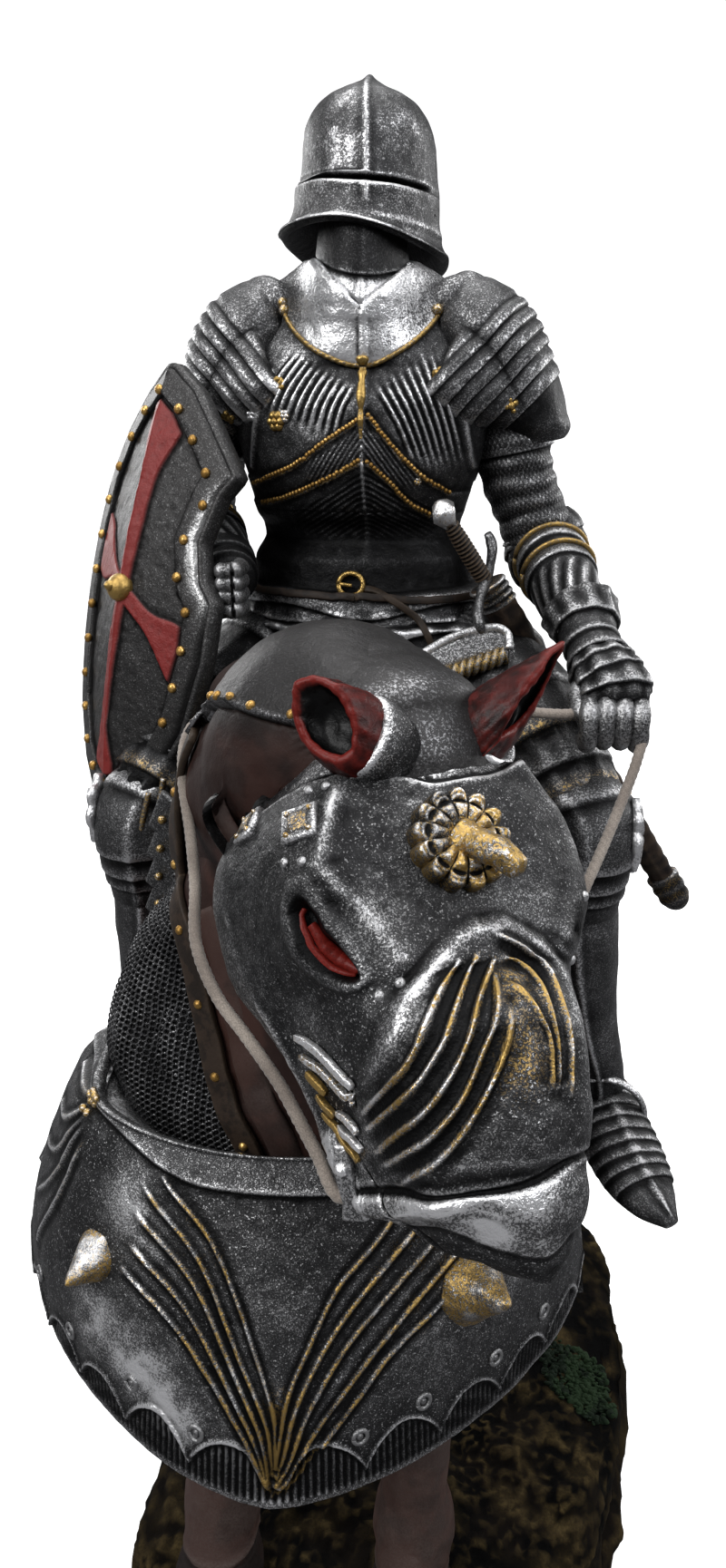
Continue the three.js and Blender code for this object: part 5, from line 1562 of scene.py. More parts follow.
def mailPlaces(values):
    # offset rows of links over the left front of the neck, left of the strap
    spots = []
    normals = []
    along = []
    pitch = values["linkPitch"]
    strap = strapSpots
    for row, z in enumerate(np.arange(104, 157, pitch * 0.86)):
        limit = np.interp(z, strap[::-1, 2], strap[::-1, 0]) - values["strapWidth"] * 0.5
        turn = math.pi * 1.08
        while turn < math.pi * 1.75:
            out = np.array([math.cos(turn), math.sin(turn), 0])
            start = np.array([-2.5, -46, z]) + out * 70
            spot, normal, _, _ = neckTree.ray_cast(Vector(start), Vector(-out))
            if spot is None:
                turn += 0.05
                continue
            spot = np.array(spot)
            reach = max(np.linalg.norm(spot[:2] - (-2.5, -46)), 8)
            if spot[0] < limit:
                spots.append(spot + np.array(normal) * 0.75)
                normals.append(np.array(normal))
                along.append((0, 0, 1.0))
            turn += pitch / reach
    return spots, normals, along


mailSpots, mailNormals, mailAlong = mailPlaces(tackValues)
print("mail links", len(mailSpots))


def mailBacking():
    # a dark cloth under the links
    rows = []
    for z in np.linspace(102, 158, 60):
        row = []
        for turn in np.linspace(math.pi * 1.04, math.pi * 1.62, 70):
            out = np.array([math.cos(turn), math.sin(turn), 0])
            start = np.array([-2.5, -46, z]) + out * 70
            spot = neckTree.ray_cast(Vector(start), Vector(-out))[0]
            spot = np.array(spot) if spot is not None else np.array([-2.5, -46, z]) + out * 20
            row.append(spot + out * 0.35)
        rows.append(row)
    grid = np.array(rows)
    limit = np.interp(grid[..., 2], strapSpots[::-1, 2], strapSpots[::-1, 0]) - 1.5
    sink = rise(grid[..., 0] - limit, 0, 1.0)
    centre = np.array([-2.5, -46, 0]) * (1, 1, 0) + grid * (0, 0, 1)
    grid = grid + unit(centre - grid) * sink[..., None] * 1.6
    return plate(grid, 1.6, {"dark": 0.55}, outward=grid - centre)


def collarLining():
    # leather between the lip of the chest plate and the neck
    degrees = np.linspace(-84, 84, 150)
    lip = bellGrid(peytralValues, degrees, np.array([0.03, 0.10]))
    lip[:, :, 1] = np.minimum(lip[:, :, 1], peytralValues["back"] + 0.2)
    middle = np.array([-4.0, -38.0, 0])
    rows = []
    for share in np.linspace(0, 1, 12):
        ring = lip[0] * (1, 1, 1) - unit((lip[0] - middle) * (1, 1, 0)) * (1.2 + 9 * share)
        rows.append(ring - np.array([0, 0, 1.4 + 5 * share]))
    grid = np.array(rows)
    return plate(grid, 0.8, {"dark": 0.4}, outward=np.broadcast_to((0, 0, 1.0), grid.shape))


makePiece("horse_mail_cloth", [mailBacking(), collarLining()], [pewterDark], "horse")

# Saddle, its flaps, and the plates over the rump

saddleValues = {"rope": 0.8, "ropeTurns": 40, "bowRibs": 22, "bowRibHeight": 0.35, "ribs": 13}
crupperLevels = [[163, 10, 12], [160.5, 24, 28], [152, 36, 39], [138, 41, 44.5], [118, 43.6, 47.4],
    [95, 44.5, 49]]


def makeSaddle(values):
    parts = []
    seat = tube([[0, -24, 156, 24, 13], [0, -10, 158, 24, 13], [0, 8, 158, 24, 13], [0, 26, 160, 22, 14]],
        (0, 0, 1), rings=60, sides=90)
    parts.append(loft(raised(seat, 0.3 * rough3(seat, 8, 3)), {"rub": 0.1}, slot=1))
    for rows, seed in (([[0, -27, 155, 29, 22], [0, -24.5, 159, 30, 26], [0, -22, 160, 28, 24]], 1),
                       ([[0, 22, 160, 26, 27], [0, 26, 163, 27, 31], [0, 30, 164, 25, 30]], 2)):
        bow = tube(rows, (0, 0, 1), rings=50, sides=200)
        angle = np.arange(200)[None] / 200 * 2 * math.pi
        share = np.linspace(0, 1, 50)[:, None]
        edge = hill(share - 0.5, 0.22)
        rope = np.cos(angle * values["ropeTurns"])
        height = values["rope"] * edge * (0.7 + 0.3 * rope) + 0.2 * rough3(bow, 6, seed)
        height = height + values["bowRibHeight"] * np.cos(angle * values["bowRibs"]) * (1 - edge)
        parts.append(loft(raised(bow, height), {"rub": 0.3 * edge * rise(noise3(bow, 5, seed), -0.4, 0.6),
            "gilt": 0.5 * edge * (rope > 0), "dark": 0.4 * (1 - edge) + 0 * angle}))
    for side in (-1, 1):
        m = -1
        flap = tube([[m + side * 27, 0, 152, 4, 20], [m + side * 32, -2, 132, 3, 19],
            [m + side * 33.5, -3, 112, 2, 16], [m + side * 33, -3, 104, 1.5, 10]], (0, -1, 0), rings=90,
            sides=90, roundness=2.6)
        angle = np.arange(90)[None] / 90 * 2 * math.pi
        line = hill(np.abs(np.sin(angle)) - 0.82, 0.06) * rise(flap[..., 2], 106, 110)
        parts.append(loft(raised(flap, 0.3 * line + 0.15 * rough3(flap, 5, 6)), {"rub": 0.25 * line + 0.05},
            slot=1))
    return parts


def makeCrupper(values):
    angles = np.linspace(0, 2 * math.pi, 300, endpoint=False)
    rows = flowing(crupperLevels, 150, [-l[0] for l in crupperLevels])
    level = ((163 - rows[:, :1]) / 68) + 0 * angles
    reach = 1 + 0.012 * np.cos(values["ribs"] * angles)[None] * level
    x = squared(np.cos(angles), 2.15)[None] * rows[:, 1:2] * reach
    y = 52 + squared(np.sin(angles), 2.15)[None] * rows[:, 2:3] * reach
    z = rows[:, :1] + np.where(level > 0.95, 2 * np.abs(np.sin(5 * angles))[None], 0) - 7 * np.maximum(0,
        np.sin(angles))[None] * (1 - level)
    y = np.maximum(y, 29.5)
    grid = np.stack([x, y, z], -1)
    ribs = np.cos(values["ribs"] * angles)[None] * rise(level, 0.12, 0.3)
    height = 0.5 * hill(ribs - 1, 0.25) + 0.25 * rough3(grid, 9, 2)
    rub = 0.4 * hill(ribs - 1, 0.12) * rise(noise3(grid, 6, 5), -0.6, 0.5)
    gilt = 0.5 * hill(ribs - 1, 0.08) * rise(noise3(grid, 5, 8), 0, 0.6)
    # painted shade on the flanks of the ribs
    dark = 0.4 * hill(ribs - 0.55, 0.2)
    for at, wide in ((0.42, 0.012), (0.70, 0.012), (0.965, 0.016)):
        edge = at + 0.02 * np.abs(np.sin(6.5 * angles))[None]
        height = height + 0.6 * rise(level - edge, -0.006, 0.006) * (1 - rise(level - edge, 0.02, 0.08))
        rub = rub + 0.5 * hill(level - edge - 0.004, wide) * rise(noise3(grid, 5, 15), -0.5, 0.6)
        # painted shadow under each lame's edge
        dark = dark + 0.6 * hill(level - edge + 0.014, 0.012)
    top = {"rub": np.clip(rub, 0, 1), "gilt": gilt, "dark": np.clip(dark, 0, 1)}
    outer = raised(grid, height, outward=grid - np.array([0, 52, 90.0]))
    # the inner wall folds back under the foot
    inner = (outer[::-1][::6] - np.array([0, 52, 0])) * (0.93, 0.93,
        1) + np.array([0, 52, 0]) - np.array([0, 0, 2.4])
    inner[0, :, 2] = outer[-1, :, 2] - 0.2
    whole = np.concatenate([outer, inner])
    marks = {key: np.concatenate([mark + 0 * angles, np.zeros((len(inner), 300))]) for key,
        mark in top.items()}
    return loft(whole, marks)


makePiece("horse_saddle", makeSaddle(saddleValues), [pewterDark, leatherPaint], "horse")
makePiece("horse_rump_plates", [makeCrupper(saddleValues)], [pewterDark], "horse")


def saddleFront():
    # a plate with a silver rim before the rider, fringed with a gold rope
    parts = []
    rim = even([[10, -23, 180.6], [14.2, -20.0, 183.3], [18.6, -18.5, 185.6], [23.0, -17.5, 186.9],
        [26.4, -17.0, 187.3], [28.6, -17.5, 186.0], [28.9, -19.0, 183.8]], 0.4)
    face = unit(np.array([0.15, -0.75, 0.62]))
    parts.append(ribbon(rim, np.tile(face, (len(rim), 1)), 1.5, 1.3, sides=14, marks={"rub": 0.3}))
    rows = [rim - np.array([0, 0, 1.0]) * 1.6 * k + np.array([0, -0.9, 0]) * k for k in range(4)]
    parts.append(plate(np.array(rows), 1.2, {"rub": 0.1}, outward=np.broadcast_to(face, (4, len(rim), 3))))
    rope = even([[14.4, -23, 177.6], [17.6, -22.0, 179.0], [20.6, -21.5, 180.2], [24.0, -21.0, 181.5],
        [28.2, -20.0, 182.9]], 0.3)
    parts.append(ribbon(rope, np.tile(face, (len(rope), 1)), 3.2, 3.0, sides=24, twist=2 * math.pi / 4.5,
        strands=3, depth=0.4, marks={"gilt": 0.42, "rub": 0.05, "dark": 0.25}))
    return parts


def sideTassels():
    # short gold cords and dark plates hanging beside the saddle
    parts = []
    for x0, y0, z0, x1, y1, z1 in ((-30.4, -39.5, 163, -31.6, -40.5, 147),
            (-33.5, -39, 160, -36, -39.4, 144)):
        line = even([[x0, y0, z0], [(x0 + x1) / 2 - 0.5, (y0 + y1) / 2 - 0.6, (z0 + z1) / 2], [x1, y1, z1]],
            0.4)
        parts.append(ribbon(line, np.tile((0, -1.0, 0.1), (len(line), 1)), 1.1, 1.1, sides=10,
            twist=2 * math.pi / 1.8, strands=2, depth=0.3, marks={"gilt": 0.42, "dark": 0.2}))
    for k, (x, y, z) in enumerate(((-27.6, -46, 158), (-28.4, -45.6, 152.5), (-29.2, -45, 147),
            (-29.8, -44.4, 141.5), (-30.2, -43.6, 136))):
        line = even([[x + 1.6, y - 0.6, z + 3.4], [x, y, z], [x - 1.4, y + 0.4, z - 3.2]], 0.4)
        normal = unit(np.array([-0.25, -0.9, 0.3]))
        parts.append(ribbon(line, np.tile(normal, (len(line), 1)), 6.5, 1.2, sides=22, roundness=5,
            marks={"rub": 0.12, "dark": 0.25}))
        parts.append(dome(np.array([x - 1, y - 0.8, z]), normal, 0.75, 0.7, marks={"gilt": 0.7, "rub": 0.2}))
    return parts


makePiece("saddle_front", saddleFront() + sideTassels(), [pewterDark], "horse")
print("tack ready")

# Beads, rivets and mail links are repeated by geometry nodes

def repeatTree(name, build):
    # a node tree that puts one small shape on every point, turned by the point's own angle
    tree = bpy.data.node_groups.new(name, "GeometryNodeTree")
    for label, kind, way in (("Geometry", "NodeSocketGeometry", "INPUT"),
            ("Radius", "NodeSocketFloat", "INPUT"), ("Material", "NodeSocketMaterial", "INPUT"),
            ("Geometry", "NodeSocketGeometry", "OUTPUT")):
        tree.interface.new_socket(label, in_out=way, socket_type=kind)
    given = tree.nodes.new("NodeGroupInput")
    out = tree.nodes.new("NodeGroupOutput")
    shape = build(tree, given.outputs["Radius"])
    turn = addNode(tree, "GeometryNodeInputNamedAttribute", {"Name": "turn"}, data_type="FLOAT_VECTOR")
    size = addNode(tree, "GeometryNodeInputNamedAttribute", {"Name": "size"}, data_type="FLOAT_VECTOR")
    euler = addNode(tree, "FunctionNodeEulerToRotation", {0: turn.outputs["Attribute"]})
    put = addNode(tree, "GeometryNodeInstanceOnPoints", {"Points": given.outputs["Geometry"],
        "Instance": shape, "Rotation": euler.outputs[0], "Scale": size.outputs["Attribute"]})
    whole = addNode(tree, "GeometryNodeRealizeInstances", {0: put.outputs[0]})
    smooth = addNode(tree, "GeometryNodeSetShadeSmooth", {0: whole.outputs[0]})
    paint = addNode(tree, "GeometryNodeSetMaterial", {0: smooth.outputs[0],
        "Material": given.outputs["Material"]})
    tree.links.new(paint.outputs[0], out.inputs[0])
    return tree


def beadShape(tree, radius):
    return addNode(tree, "GeometryNodeMeshUVSphere", {"Segments": 10, "Rings": 6,
        "Radius": radius}).outputs["Mesh"]


def crumbShape(tree, radius):
    return addNode(tree, "GeometryNodeMeshUVSphere", {"Segments": 6, "Rings": 4,
        "Radius": radius}).outputs["Mesh"]


def linkShape(tree, radius):
    ring = addNode(tree, "GeometryNodeCurvePrimitiveCircle", {"Resolution": 8, "Radius": radius},
        mode="RADIUS")
    wire = addNode(tree, "GeometryNodeCurvePrimitiveCircle",
                   {"Resolution": 4, "Radius": mathNode(tree, "MULTIPLY", radius, 0.34)}, mode="RADIUS")
    return addNode(tree, "GeometryNodeCurveToMesh", {"Curve": ring.outputs["Curve"],
                                                     "Profile Curve": wire.outputs["Curve"]}).outputs[0]


beadTree = repeatTree("studRow", beadShape)
linkTree = repeatTree("mailLinks", linkShape)
crumbTree = repeatTree("mossCrumbs", crumbShape)


def eulerOf(m):
    # XYZ Euler angles of a rotation matrix
    sy = math.hypot(m[0, 0], m[1, 0])
    return np.array([math.atan2(m[2, 1], m[2, 2]), math.atan2(-m[2, 0], sy), math.atan2(m[1, 0], m[0, 0])])


def repeated(name, tree, spots, normals, radius, sizes, material, node, along=None, tilt=0.0):
    spots = np.asarray(spots, float)
    normals = unit(np.asarray(normals, float))
    mesh = bpy.data.meshes.new(name + "_points")
    mesh.from_pydata(toFrame(spots).tolist(), [], [])
    turns = []
    for k, n in enumerate(normals):
        z = Vector(n)
        x = Vector(along[k]) if along is not None else Vector((1, 0.01, 0.02))
        x = (x - x.dot(z) * z).normalized()
        y = z.cross(x)
        frameOf = np.array([x, y, z]).T
        if tilt:
            c, s = math.cos(tilt), math.sin(tilt)
            frameOf = frameOf @ np.array([[1, 0, 0], [0, c, -s], [0, s, c]])
        turns.append(eulerOf(frameOf))
    sizes = np.broadcast_to(np.asarray(sizes, float), (len(spots), 3))
    for key, values in (("turn", np.array(turns)), ("size", sizes)):
        mesh.attributes.new(key, "FLOAT_VECTOR", "POINT").data.foreach_set("vector",
            values.astype(np.float32).ravel())
    points = bpy.data.objects.new(name + "_points", mesh)
    bpy.context.scene.collection.objects.link(points)
    modifier = points.modifiers.new("repeat", "NODES")
    modifier.node_group = tree
    sockets = {s.name: s.identifier for s in tree.interface.items_tree if s.in_out == "INPUT"}
    modifier[sockets["Radius"]] = radius * millimetre
    modifier[sockets["Material"]] = material
    shown = bpy.context.evaluated_depsgraph_get()
    made = bpy.data.meshes.new_from_object(points.evaluated_get(shown))
    bpy.data.objects.remove(points)
    piece = bpy.data.objects.new(name, made)
    bpy.context.scene.collection.objects.link(piece)
    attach(piece, "root")
    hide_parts(node)
    print(name, len(spots), "copies")
    return piece


# The rider's body armour

torsoValues = {"rings": 300, "sides": 300, "gorget": 0.7, "flute": 0.3}
torsoLevels = [
    [174, 20, 15, 1, 4], [180, 26, 18, 1, 1], [186, 26, 19, 0.5, 0], [187, 24.5, 17.6, 0, 0.5],
    [192, 24, 17.4, -0.3, 0.5], [193, 21.6, 15.6, -0.6, 1], [198, 21, 15, -0.9, 1.2], [202, 19, 13, -1, 2],
    [209, 20.6, 15.4, -0.9, 1], [217, 23, 17.4, -0.6, 0], [225, 24.5, 17.8, -0.3, 0], [233, 25, 15.5, 0, 1],
    [240, 22, 12, -0.4, 2], [245, 17.5, 10.5, -0.8, 1.5], [249, 10.5, 10, -0.6, 0.5],
]
neckLine = [[-14.8, 243.6], [-11.4, 238.4], [-4.6, 233.6], [1.7, 231.9], [7.7, 234.2], [12.3, 238.2],
    [14.5, 241.8]]
beadLines = [
    [[1.9, 223.2], [-4.2, 219.5], [-10.7, 215.2], [-19.6, 211.9]],
    [[1.5, 216.2], [-4.5, 213.1], [-13.1, 209.6], [-18, 208.4]],
    [[3.0, 223.6], [7.5, 218.1], [11.7, 213.8], [16.5, 210.5]],
    [[2.8, 216], [6.6, 212.4], [9.4, 209.1], [13, 206.8]],
]


def makeTorso(values):
    R, C = values["rings"], values["sides"]
    rows = flowing(torsoLevels, R, [l[0] for l in torsoLevels])
    # more columns over the chest than the back
    share = np.arange(C) / C
    angle = (share + 0.09 * np.sin(2 * math.pi * share)) * 2 * math.pi + math.pi / 2
    angle = angle[None] + 0 * rows[:, :1]
    level = (rows[:, :1] - 174) / 75
    front = np.clip(np.cos(angle + math.pi / 2), 0, 1)
    reach = 1 + np.where((level > 0.45), 0.05, 0.02) * front ** 8
    x = rows[:, 3:4] + squared(np.cos(angle), 2.2) * rows[:, 1:2] * reach
    y = rows[:, 4:5] + squared(np.sin(angle), 2.2) * rows[:, 2:3] * reach
    z = rows[:, :1] + 0 * angle
    facing = rise(-(y - rows[:, 4:5]), 0, 4)
    # the gorget stands forward up to the V seam under the chin
    seam = 240.9 + 0.92 * np.abs(x - 1.4)
    stand = np.interp(z, [230, 232, 236, 240, 243, 249], [0, 0, 3.0, 5.8, 6.9,
        7.2]) * (1 - rise(np.abs(x - 0.8), 2, 15))
    y = y - stand * (1 - rise(z - seam, -0.3, 0.5)) * facing
    grid = np.stack([x, y, z], -1)
    flat = np.stack([x, z], -1)
    height = np.zeros(x.shape)
    rub = np.zeros(x.shape)
    gilt = np.zeros(x.shape)
    dark = np.zeros(x.shape)
    centre = 1.9
    # upper plate inside the gold neckline
    neck = flowing([[p[1]] for p in neckLine], np.clip(x, -14.8, 14.5).ravel(), [p[0] for p in neckLine])[:,
        0].reshape(x.shape)
    neck = neck + np.maximum(np.abs(x) - 14.6, 0) * 1.6
    upper = rise(z - neck, -0.2, 0.3) * facing
    height += values["gorget"] * upper
    # painted highlight over the upper plate, brightest either side of the middle
    plateHighlight = upper * (0.72 + 0.2 * noise3(grid, 6, 3)) * (0.3 + 0.75
        * rise(hill(x - 6, 8) * 0.75 + hill(x + 4.5, 6), 0.1, 0.9))
    rub += plateHighlight * (1 - 0.5 * hill(x + 12.5, 2.5))
    height += 0.45 * hill(x - centre, 0.8) * facing * rise(z, 196, 204)
    rub += 0.15 * hill(x - centre, 0.4) * facing * rise(z, 222, 232)
    # painted shade beside the middle ridge, and under the step of the neckline
    dark += 0.55 * hill(x - centre + 0.8, 0.4) * upper
    dark += 0.6 * hill(z - neck + 0.7, 0.5) * facing
    # flutes spread from the neckline out over the breast
    for first, last, count, sway, bright in (
            (([-9.6, 235], [-17.6, 222.5]), ([0.6, 229.2], [-3.4, 218.6]), 10, -0.5, 0.34),
            (([3.8, 229.6], [11.6, 213.8]), ([12.4, 235.4], [19.6, 213.4]), 8, 0.6, 0.2)):
        for k in range(count):
            t = k / (count - 1)
            a = np.array(first[0]) * (1 - t) + np.array(last[0]) * t
            b = np.array(first[1]) * (1 - t) + np.array(last[1]) * t
            middle = (a + b) / 2 + np.array([sway, 0.4])
            d, along = near(flat, even([a, middle, b], 1.0))
            fade = rise(along, 0.0, 0.3) * (1 - rise(along, 0.55, 1.0)) * facing * (1 - upper)
            height += values["flute"] * (hill(d, 0.34) - 0.4 * hill(d - 0.62, 0.3)) * fade
            rub += bright * (0.6 + 0.6 * noise3(grid, 1.6, k)) * hill(d, 0.22) * fade
            # painted shade in the groove beside each flute
            dark += 0.2 * hill(d - 0.62, 0.3) * fade
    # painted highlights on the breast
    rub += 0.5 * hill(np.linalg.norm((flat - (-5.6, 222.6)) * (1, 1.1), axis=-1), 3.2) * facing
    rub += 0.5 * hill(np.linalg.norm((flat - (-11.4, 233.8)) * (1, 1), axis=-1), 2.6) * facing * (1 - upper)
    # breast plackart: two stepped points with fine ribs under them
    for k, line in enumerate(beadLines):
        d, along = near(flat, even(line, 1.0))
        side = -1 if k < 2 else 1
        slope = np.interp(np.clip((x - centre) * side, 0, 18), [abs(p[0] - centre) for p in line],
            [p[1] for p in line])
        below = rise(slope - z, -0.15, 0.25) * rise((x - centre) * side, -0.5, 0.3) * facing * rise(z, 204,
            207)
        height += 0.3 * below
        # painted shade at the foot of each step of the plackart
        dark += 0.55 * hill(slope - z + 0.8, 0.45) * rise((x - centre) * side, 0, 0.5) * facing * rise(z,
            206, 208)
        height += 0.35 * hill(d, 0.45) * facing
        gilt += 0.55 * hill(d, 0.4) * facing
    ribs = np.sin((z - 0.62 * (6 - np.abs(x - centre))) * 2 * math.pi / 1.05)
    lower = np.interp(np.abs(x - centre), [0, 6, 16], [216, 211.6, 207.6])
    ribbed = rise(lower - z, 0.4, 1.4) * rise(z, 201, 206) * facing * (1 - rise(np.abs(x - centre), 9, 15))
    height += 0.08 * ribs * ribbed
    dark += 0.25 * ribbed
    between = rise(lower + 7 - z, 0.4, 1.2) * rise(z - lower, 0.5,
        1.4) * facing * (1 - rise(np.abs(x - centre), 6, 12))
    height += 0.12 * np.sin((z + 1.4 * np.abs(x - centre)) * 2 * math.pi / 1.3) * between
    rub += 0.12 * rise(noise3(grid, 5, 9), 0, 0.8) * facing * rise(z, 208, 214)
    dark += 0.35 * (1 - rise(z, 206, 213)) * rise(z, 192, 194)
    # armhole borders
    for side in (-1, 1):
        d, _ = near(flat, even([[side * 15.5 + 0.5, 231], [side * 18.4 + 0.5, 224],
            [side * 20.2 + 0.5, 215]], 1.0))
        height += 0.5 * hill(d, 0.6) * facing
        rub += 0.3 * hill(d, 0.5) * facing
    # waist and skirt of lames with wavy silver edges
    for edge, wave in ((190.9, 0.5), (188.3, 0.9), (185.7, 1.2), (183, 1.4), (180, 1.5)):
        line = edge + wave * np.cos(5 * (angle + 1.57) + edge) * 0.7 - 0.35 * np.abs(np.sin(angle)) * 2
        line = line - 1.8 * hill(x - 1.5, 9) * facing
        height += 0.4 * rise(z - line, -0.15, 0.15) * (1 - rise(z - line, 1.5, 3.4))
        worn = rise(noise3(grid * (1, 1, 2), 2.4, int(edge)), -0.7, 0.5)
        rub += 0.5 * hill(z - line - 0.5, 0.6) * worn + 0.32 * rise(z - line, 0.3,
            0.8) * (1 - rise(z - line, 1.4, 2.6)) * worn * hill(x - 0.5, 15)
        # painted shade under each lame's edge
        dark += 0.5 * hill(z - line + 0.4, 0.4)
    dark += 0.45 * rise(z, 192.4, 193.4) * (1 - rise(z, 199, 204))
    pleats = np.sin(angle * 22) * (1 - rise(z, 189, 191)) * rise(z, 176, 180)
    height += 0.2 * pleats
    # back: a plain keel and three lames
    behind = rise(y - rows[:, 4:5], 0, 4)
    for edge in (212, 220, 228):
        line = edge - 3.0 * hill(x, 9)
        height += 0.4 * rise(z - line, -0.15, 0.2) * (1 - rise(z - line, 3, 6)) * behind
        rub += 0.4 * hill(z - line - 0.3, 0.4) * behind
        # painted shade under each lame's edge
        dark += 0.5 * hill(z - line + 0.4, 0.4) * behind
    height += 0.16 * rough3(grid, 5, 12) + 0.05 * noise3(grid, 1.3, 14)
    marks = {"rub": np.clip(rub, 0, 1.1), "gilt": np.clip(gilt, 0, 1), "dark": np.clip(dark, 0, 1)}
    return loft(raised(grid, height), marks)


torso = makeTorso(torsoValues)
torsoTree = treeOf([torso])


def onChest(line, lift=0.0, step=0.4):
    # a line drawn on the front view, laid on the breastplate
    spots = []
    normals = []
    for x, z in even(np.array(line, float), step):
        spot, normal, _, _ = torsoTree.ray_cast(Vector((x, -60, z)), Vector((0, 1, 0)))
        spots.append(np.array(spot) + np.array(normal) * lift)
        normals.append(np.array(normal))
    return np.array(spots), np.array(normals)


def chestTrim():
    parts = []
    spots, normals = onChest(neckLine, 0.2)
    parts.append(ribbon(softened(spots), unit(softened(normals, 6)), 0.95, 0.85, sides=10,
        twist=2 * math.pi / 2.6, strands=2, depth=0.3, marks={"gilt": 0.62, "rub": 0.1, "dark": 0.2}))
    # knots at the ends of the rope and the hanging tassel in the middle
    for x, z in ((-14.4, 243.0), (-13.6, 241.6), (14.2, 241.4)):
        (spot,), (normal,) = onto(torsoTree, [[x, -9, z]], 0.3)
        parts.append(dome(spot, normal, 1.0, 0.9, marks={"gilt": 0.6, "rub": 0.2}))
    profile = [[233.4, 0.8], [232.8, 1.15], [231.4, 0.6], [230.6, 0.85], [229.6, 0.55], [227.2, 0.85],
        [225.6, 0.6], [224.8, 0.4], [223.4, 0.55], [221.6, 0.4], [219.8, 0.25]]
    rows = flowing(profile, 60)
    angle = np.arange(20) / 20 * 2 * math.pi
    spot, _ = onChest([[1.85, 233.6], [1.85, 219.8]], 0.35, 0.2)
    y = np.interp(rows[:, 0], spot[::-1, 2], spot[::-1, 1])
    grid = np.stack([1.85 + rows[:, 1:] * np.cos(angle), y[:, None] + 0.7 * rows[:, 1:] * np.sin(angle),
                     rows[:, :1] + 0 * angle], -1)
    parts.append(loft(grid, {"gilt": 0.95, "rub": 0.45}))
    # belt, its buckle and the loose end
    path = []
    for turn in np.linspace(0, 2 * math.pi, 120):
        x, y = 30 * math.sin(turn), -26 * math.cos(turn)
        drop = 2.4 * rise(x, 2, 20) * rise(-y, 0, 10)
        spot, normal, _, _ = torsoTree.find_nearest(Vector((x * 0.8, y * 0.8, 194.2 - drop)))
        path.append([*spot, *normal])
    path = np.array(path)
    parts.append(ribbon(path[:, :3] + path[:, 3:] * 0.3, unit(softened(path[:, 3:], 8)), 1.5, 0.8, sides=12,
        roundness=4, slot=1, marks={"rub": 0.0, "dark": 0.6}))
    tail, tailNormals = onChest([[1.5, 193.4], [5, 192.4], [9, 190.6], [12.5, 187.6], [14.6, 183.6],
        [15.2, 180.5]], 0.7, 0.5)
    parts.append(ribbon(softened(tail, 8), unit(softened(tailNormals, 10)), 1.3, 0.7, sides=10, roundness=4,
        slot=1, marks={"dark": 0.6}))
    (middle,), (normal,) = onChest([[-0.6, 194.0], [-0.6, 194.02]], 1.0,
        1)[0][:1], onChest([[-0.6, 194.0], [-0.6, 194.02]], 1.0, 1)[1][:1]
    side = unit(np.cross(normal, (0, 0, 1)))
    up = np.cross(side, normal)
    circle = []
    for turn in np.linspace(0, 2 * math.pi, 33):
        c, s = math.cos(turn), math.sin(turn)
        circle.append(middle + side * 2.3 * c + up * 2.1 * s)
    parts.append(ribbon(circle, np.tile(normal, (33, 1)), 0.95, 0.95, sides=10,
        marks={"gilt": 1.0, "rub": 0.3}))
    parts.append(ribbon([middle - side * 0.2 - up * 0.2, middle + side * 1.2,
        middle + side * 2.5 + up * 0.1], np.tile(normal, (3, 1)), 0.7, 0.7, sides=8,
        marks={"gilt": 0.9, "rub": 0.3}))
    # rosette rivets on the breast
    for x, z, r, gilt in ((-13.8, 222.8, 1.9, 1.0), (-12.2, 223.6, 1.2, 0.3), (-19.0, 224.1, 1.5, 0.0),
            (11.4, 212.6, 0.8, 0.5)):
        (spot, _), (normal, _) = [w[:2] for w in onChest([[x, z], [x, z + 0.3]], 0.0, 0.3)]
        for k in range(6):
            turn = k * math.pi / 3
            side = unit(np.cross(normal, (0, 0, 1)))
            up = np.cross(side, normal)
            parts.append(dome(spot + (side * math.cos(turn) + up * math.sin(turn)) * r * 0.55, normal,
                r * 0.45, r * 0.5, marks={"gilt": gilt, "rub": 0.4}))
        parts.append(dome(spot, normal, r * 0.4, r * 0.75, marks={"gilt": gilt, "rub": 0.5}))
    return parts


makePiece("knight_body", [torso] + chestTrim(), [pewterBright, leatherPaint], "knight")
beadSpots = []
beadNormals = []
for beadLine in beadLines:
    for spots, normals in [onChest(beadLine, 0.35, 0.72)]:
        beadSpots.extend(spots)
        beadNormals.extend(normals)
print("body armour ready")

# Helmet: a keeled sallet with a sight slit, a visor band and a flared rim

helmetValues = {"tip": 0.12, "rings": 330, "sides": 280, "keel": 0.04, "slit": 1.7}
skullLevels = [[279.2, 0.5, 1.0, 0.6, 1], [277.4, 3.6, 5.4, 0.6, 1], [274.8, 8.5, 10.6, 0.5, 1.2],
    [270.2, 11.4, 13.9, 0.5, 1.5], [262.4, 12.4, 15.7, 0.4, 2], [262, 12.6, 16.0, 0.3, 2],
    [257.4, 13, 16.6, 0, 2.2], [254.6, 14, 18.6, -0.6, 3.2], [252.8, 15.3, 21.5, -1, 5],
    [252.2, 14.6, 20.7, -1, 5], [254, 12.8, 17.2, -0.6, 3.2], [257, 11.4, 14.8, 0, 2.2], [262, 9, 12, 0, 2],]
skullShare = [0, 1, 2, 3, 4, 5, 6, 7, 8, 8, 7.2, 6, 6]


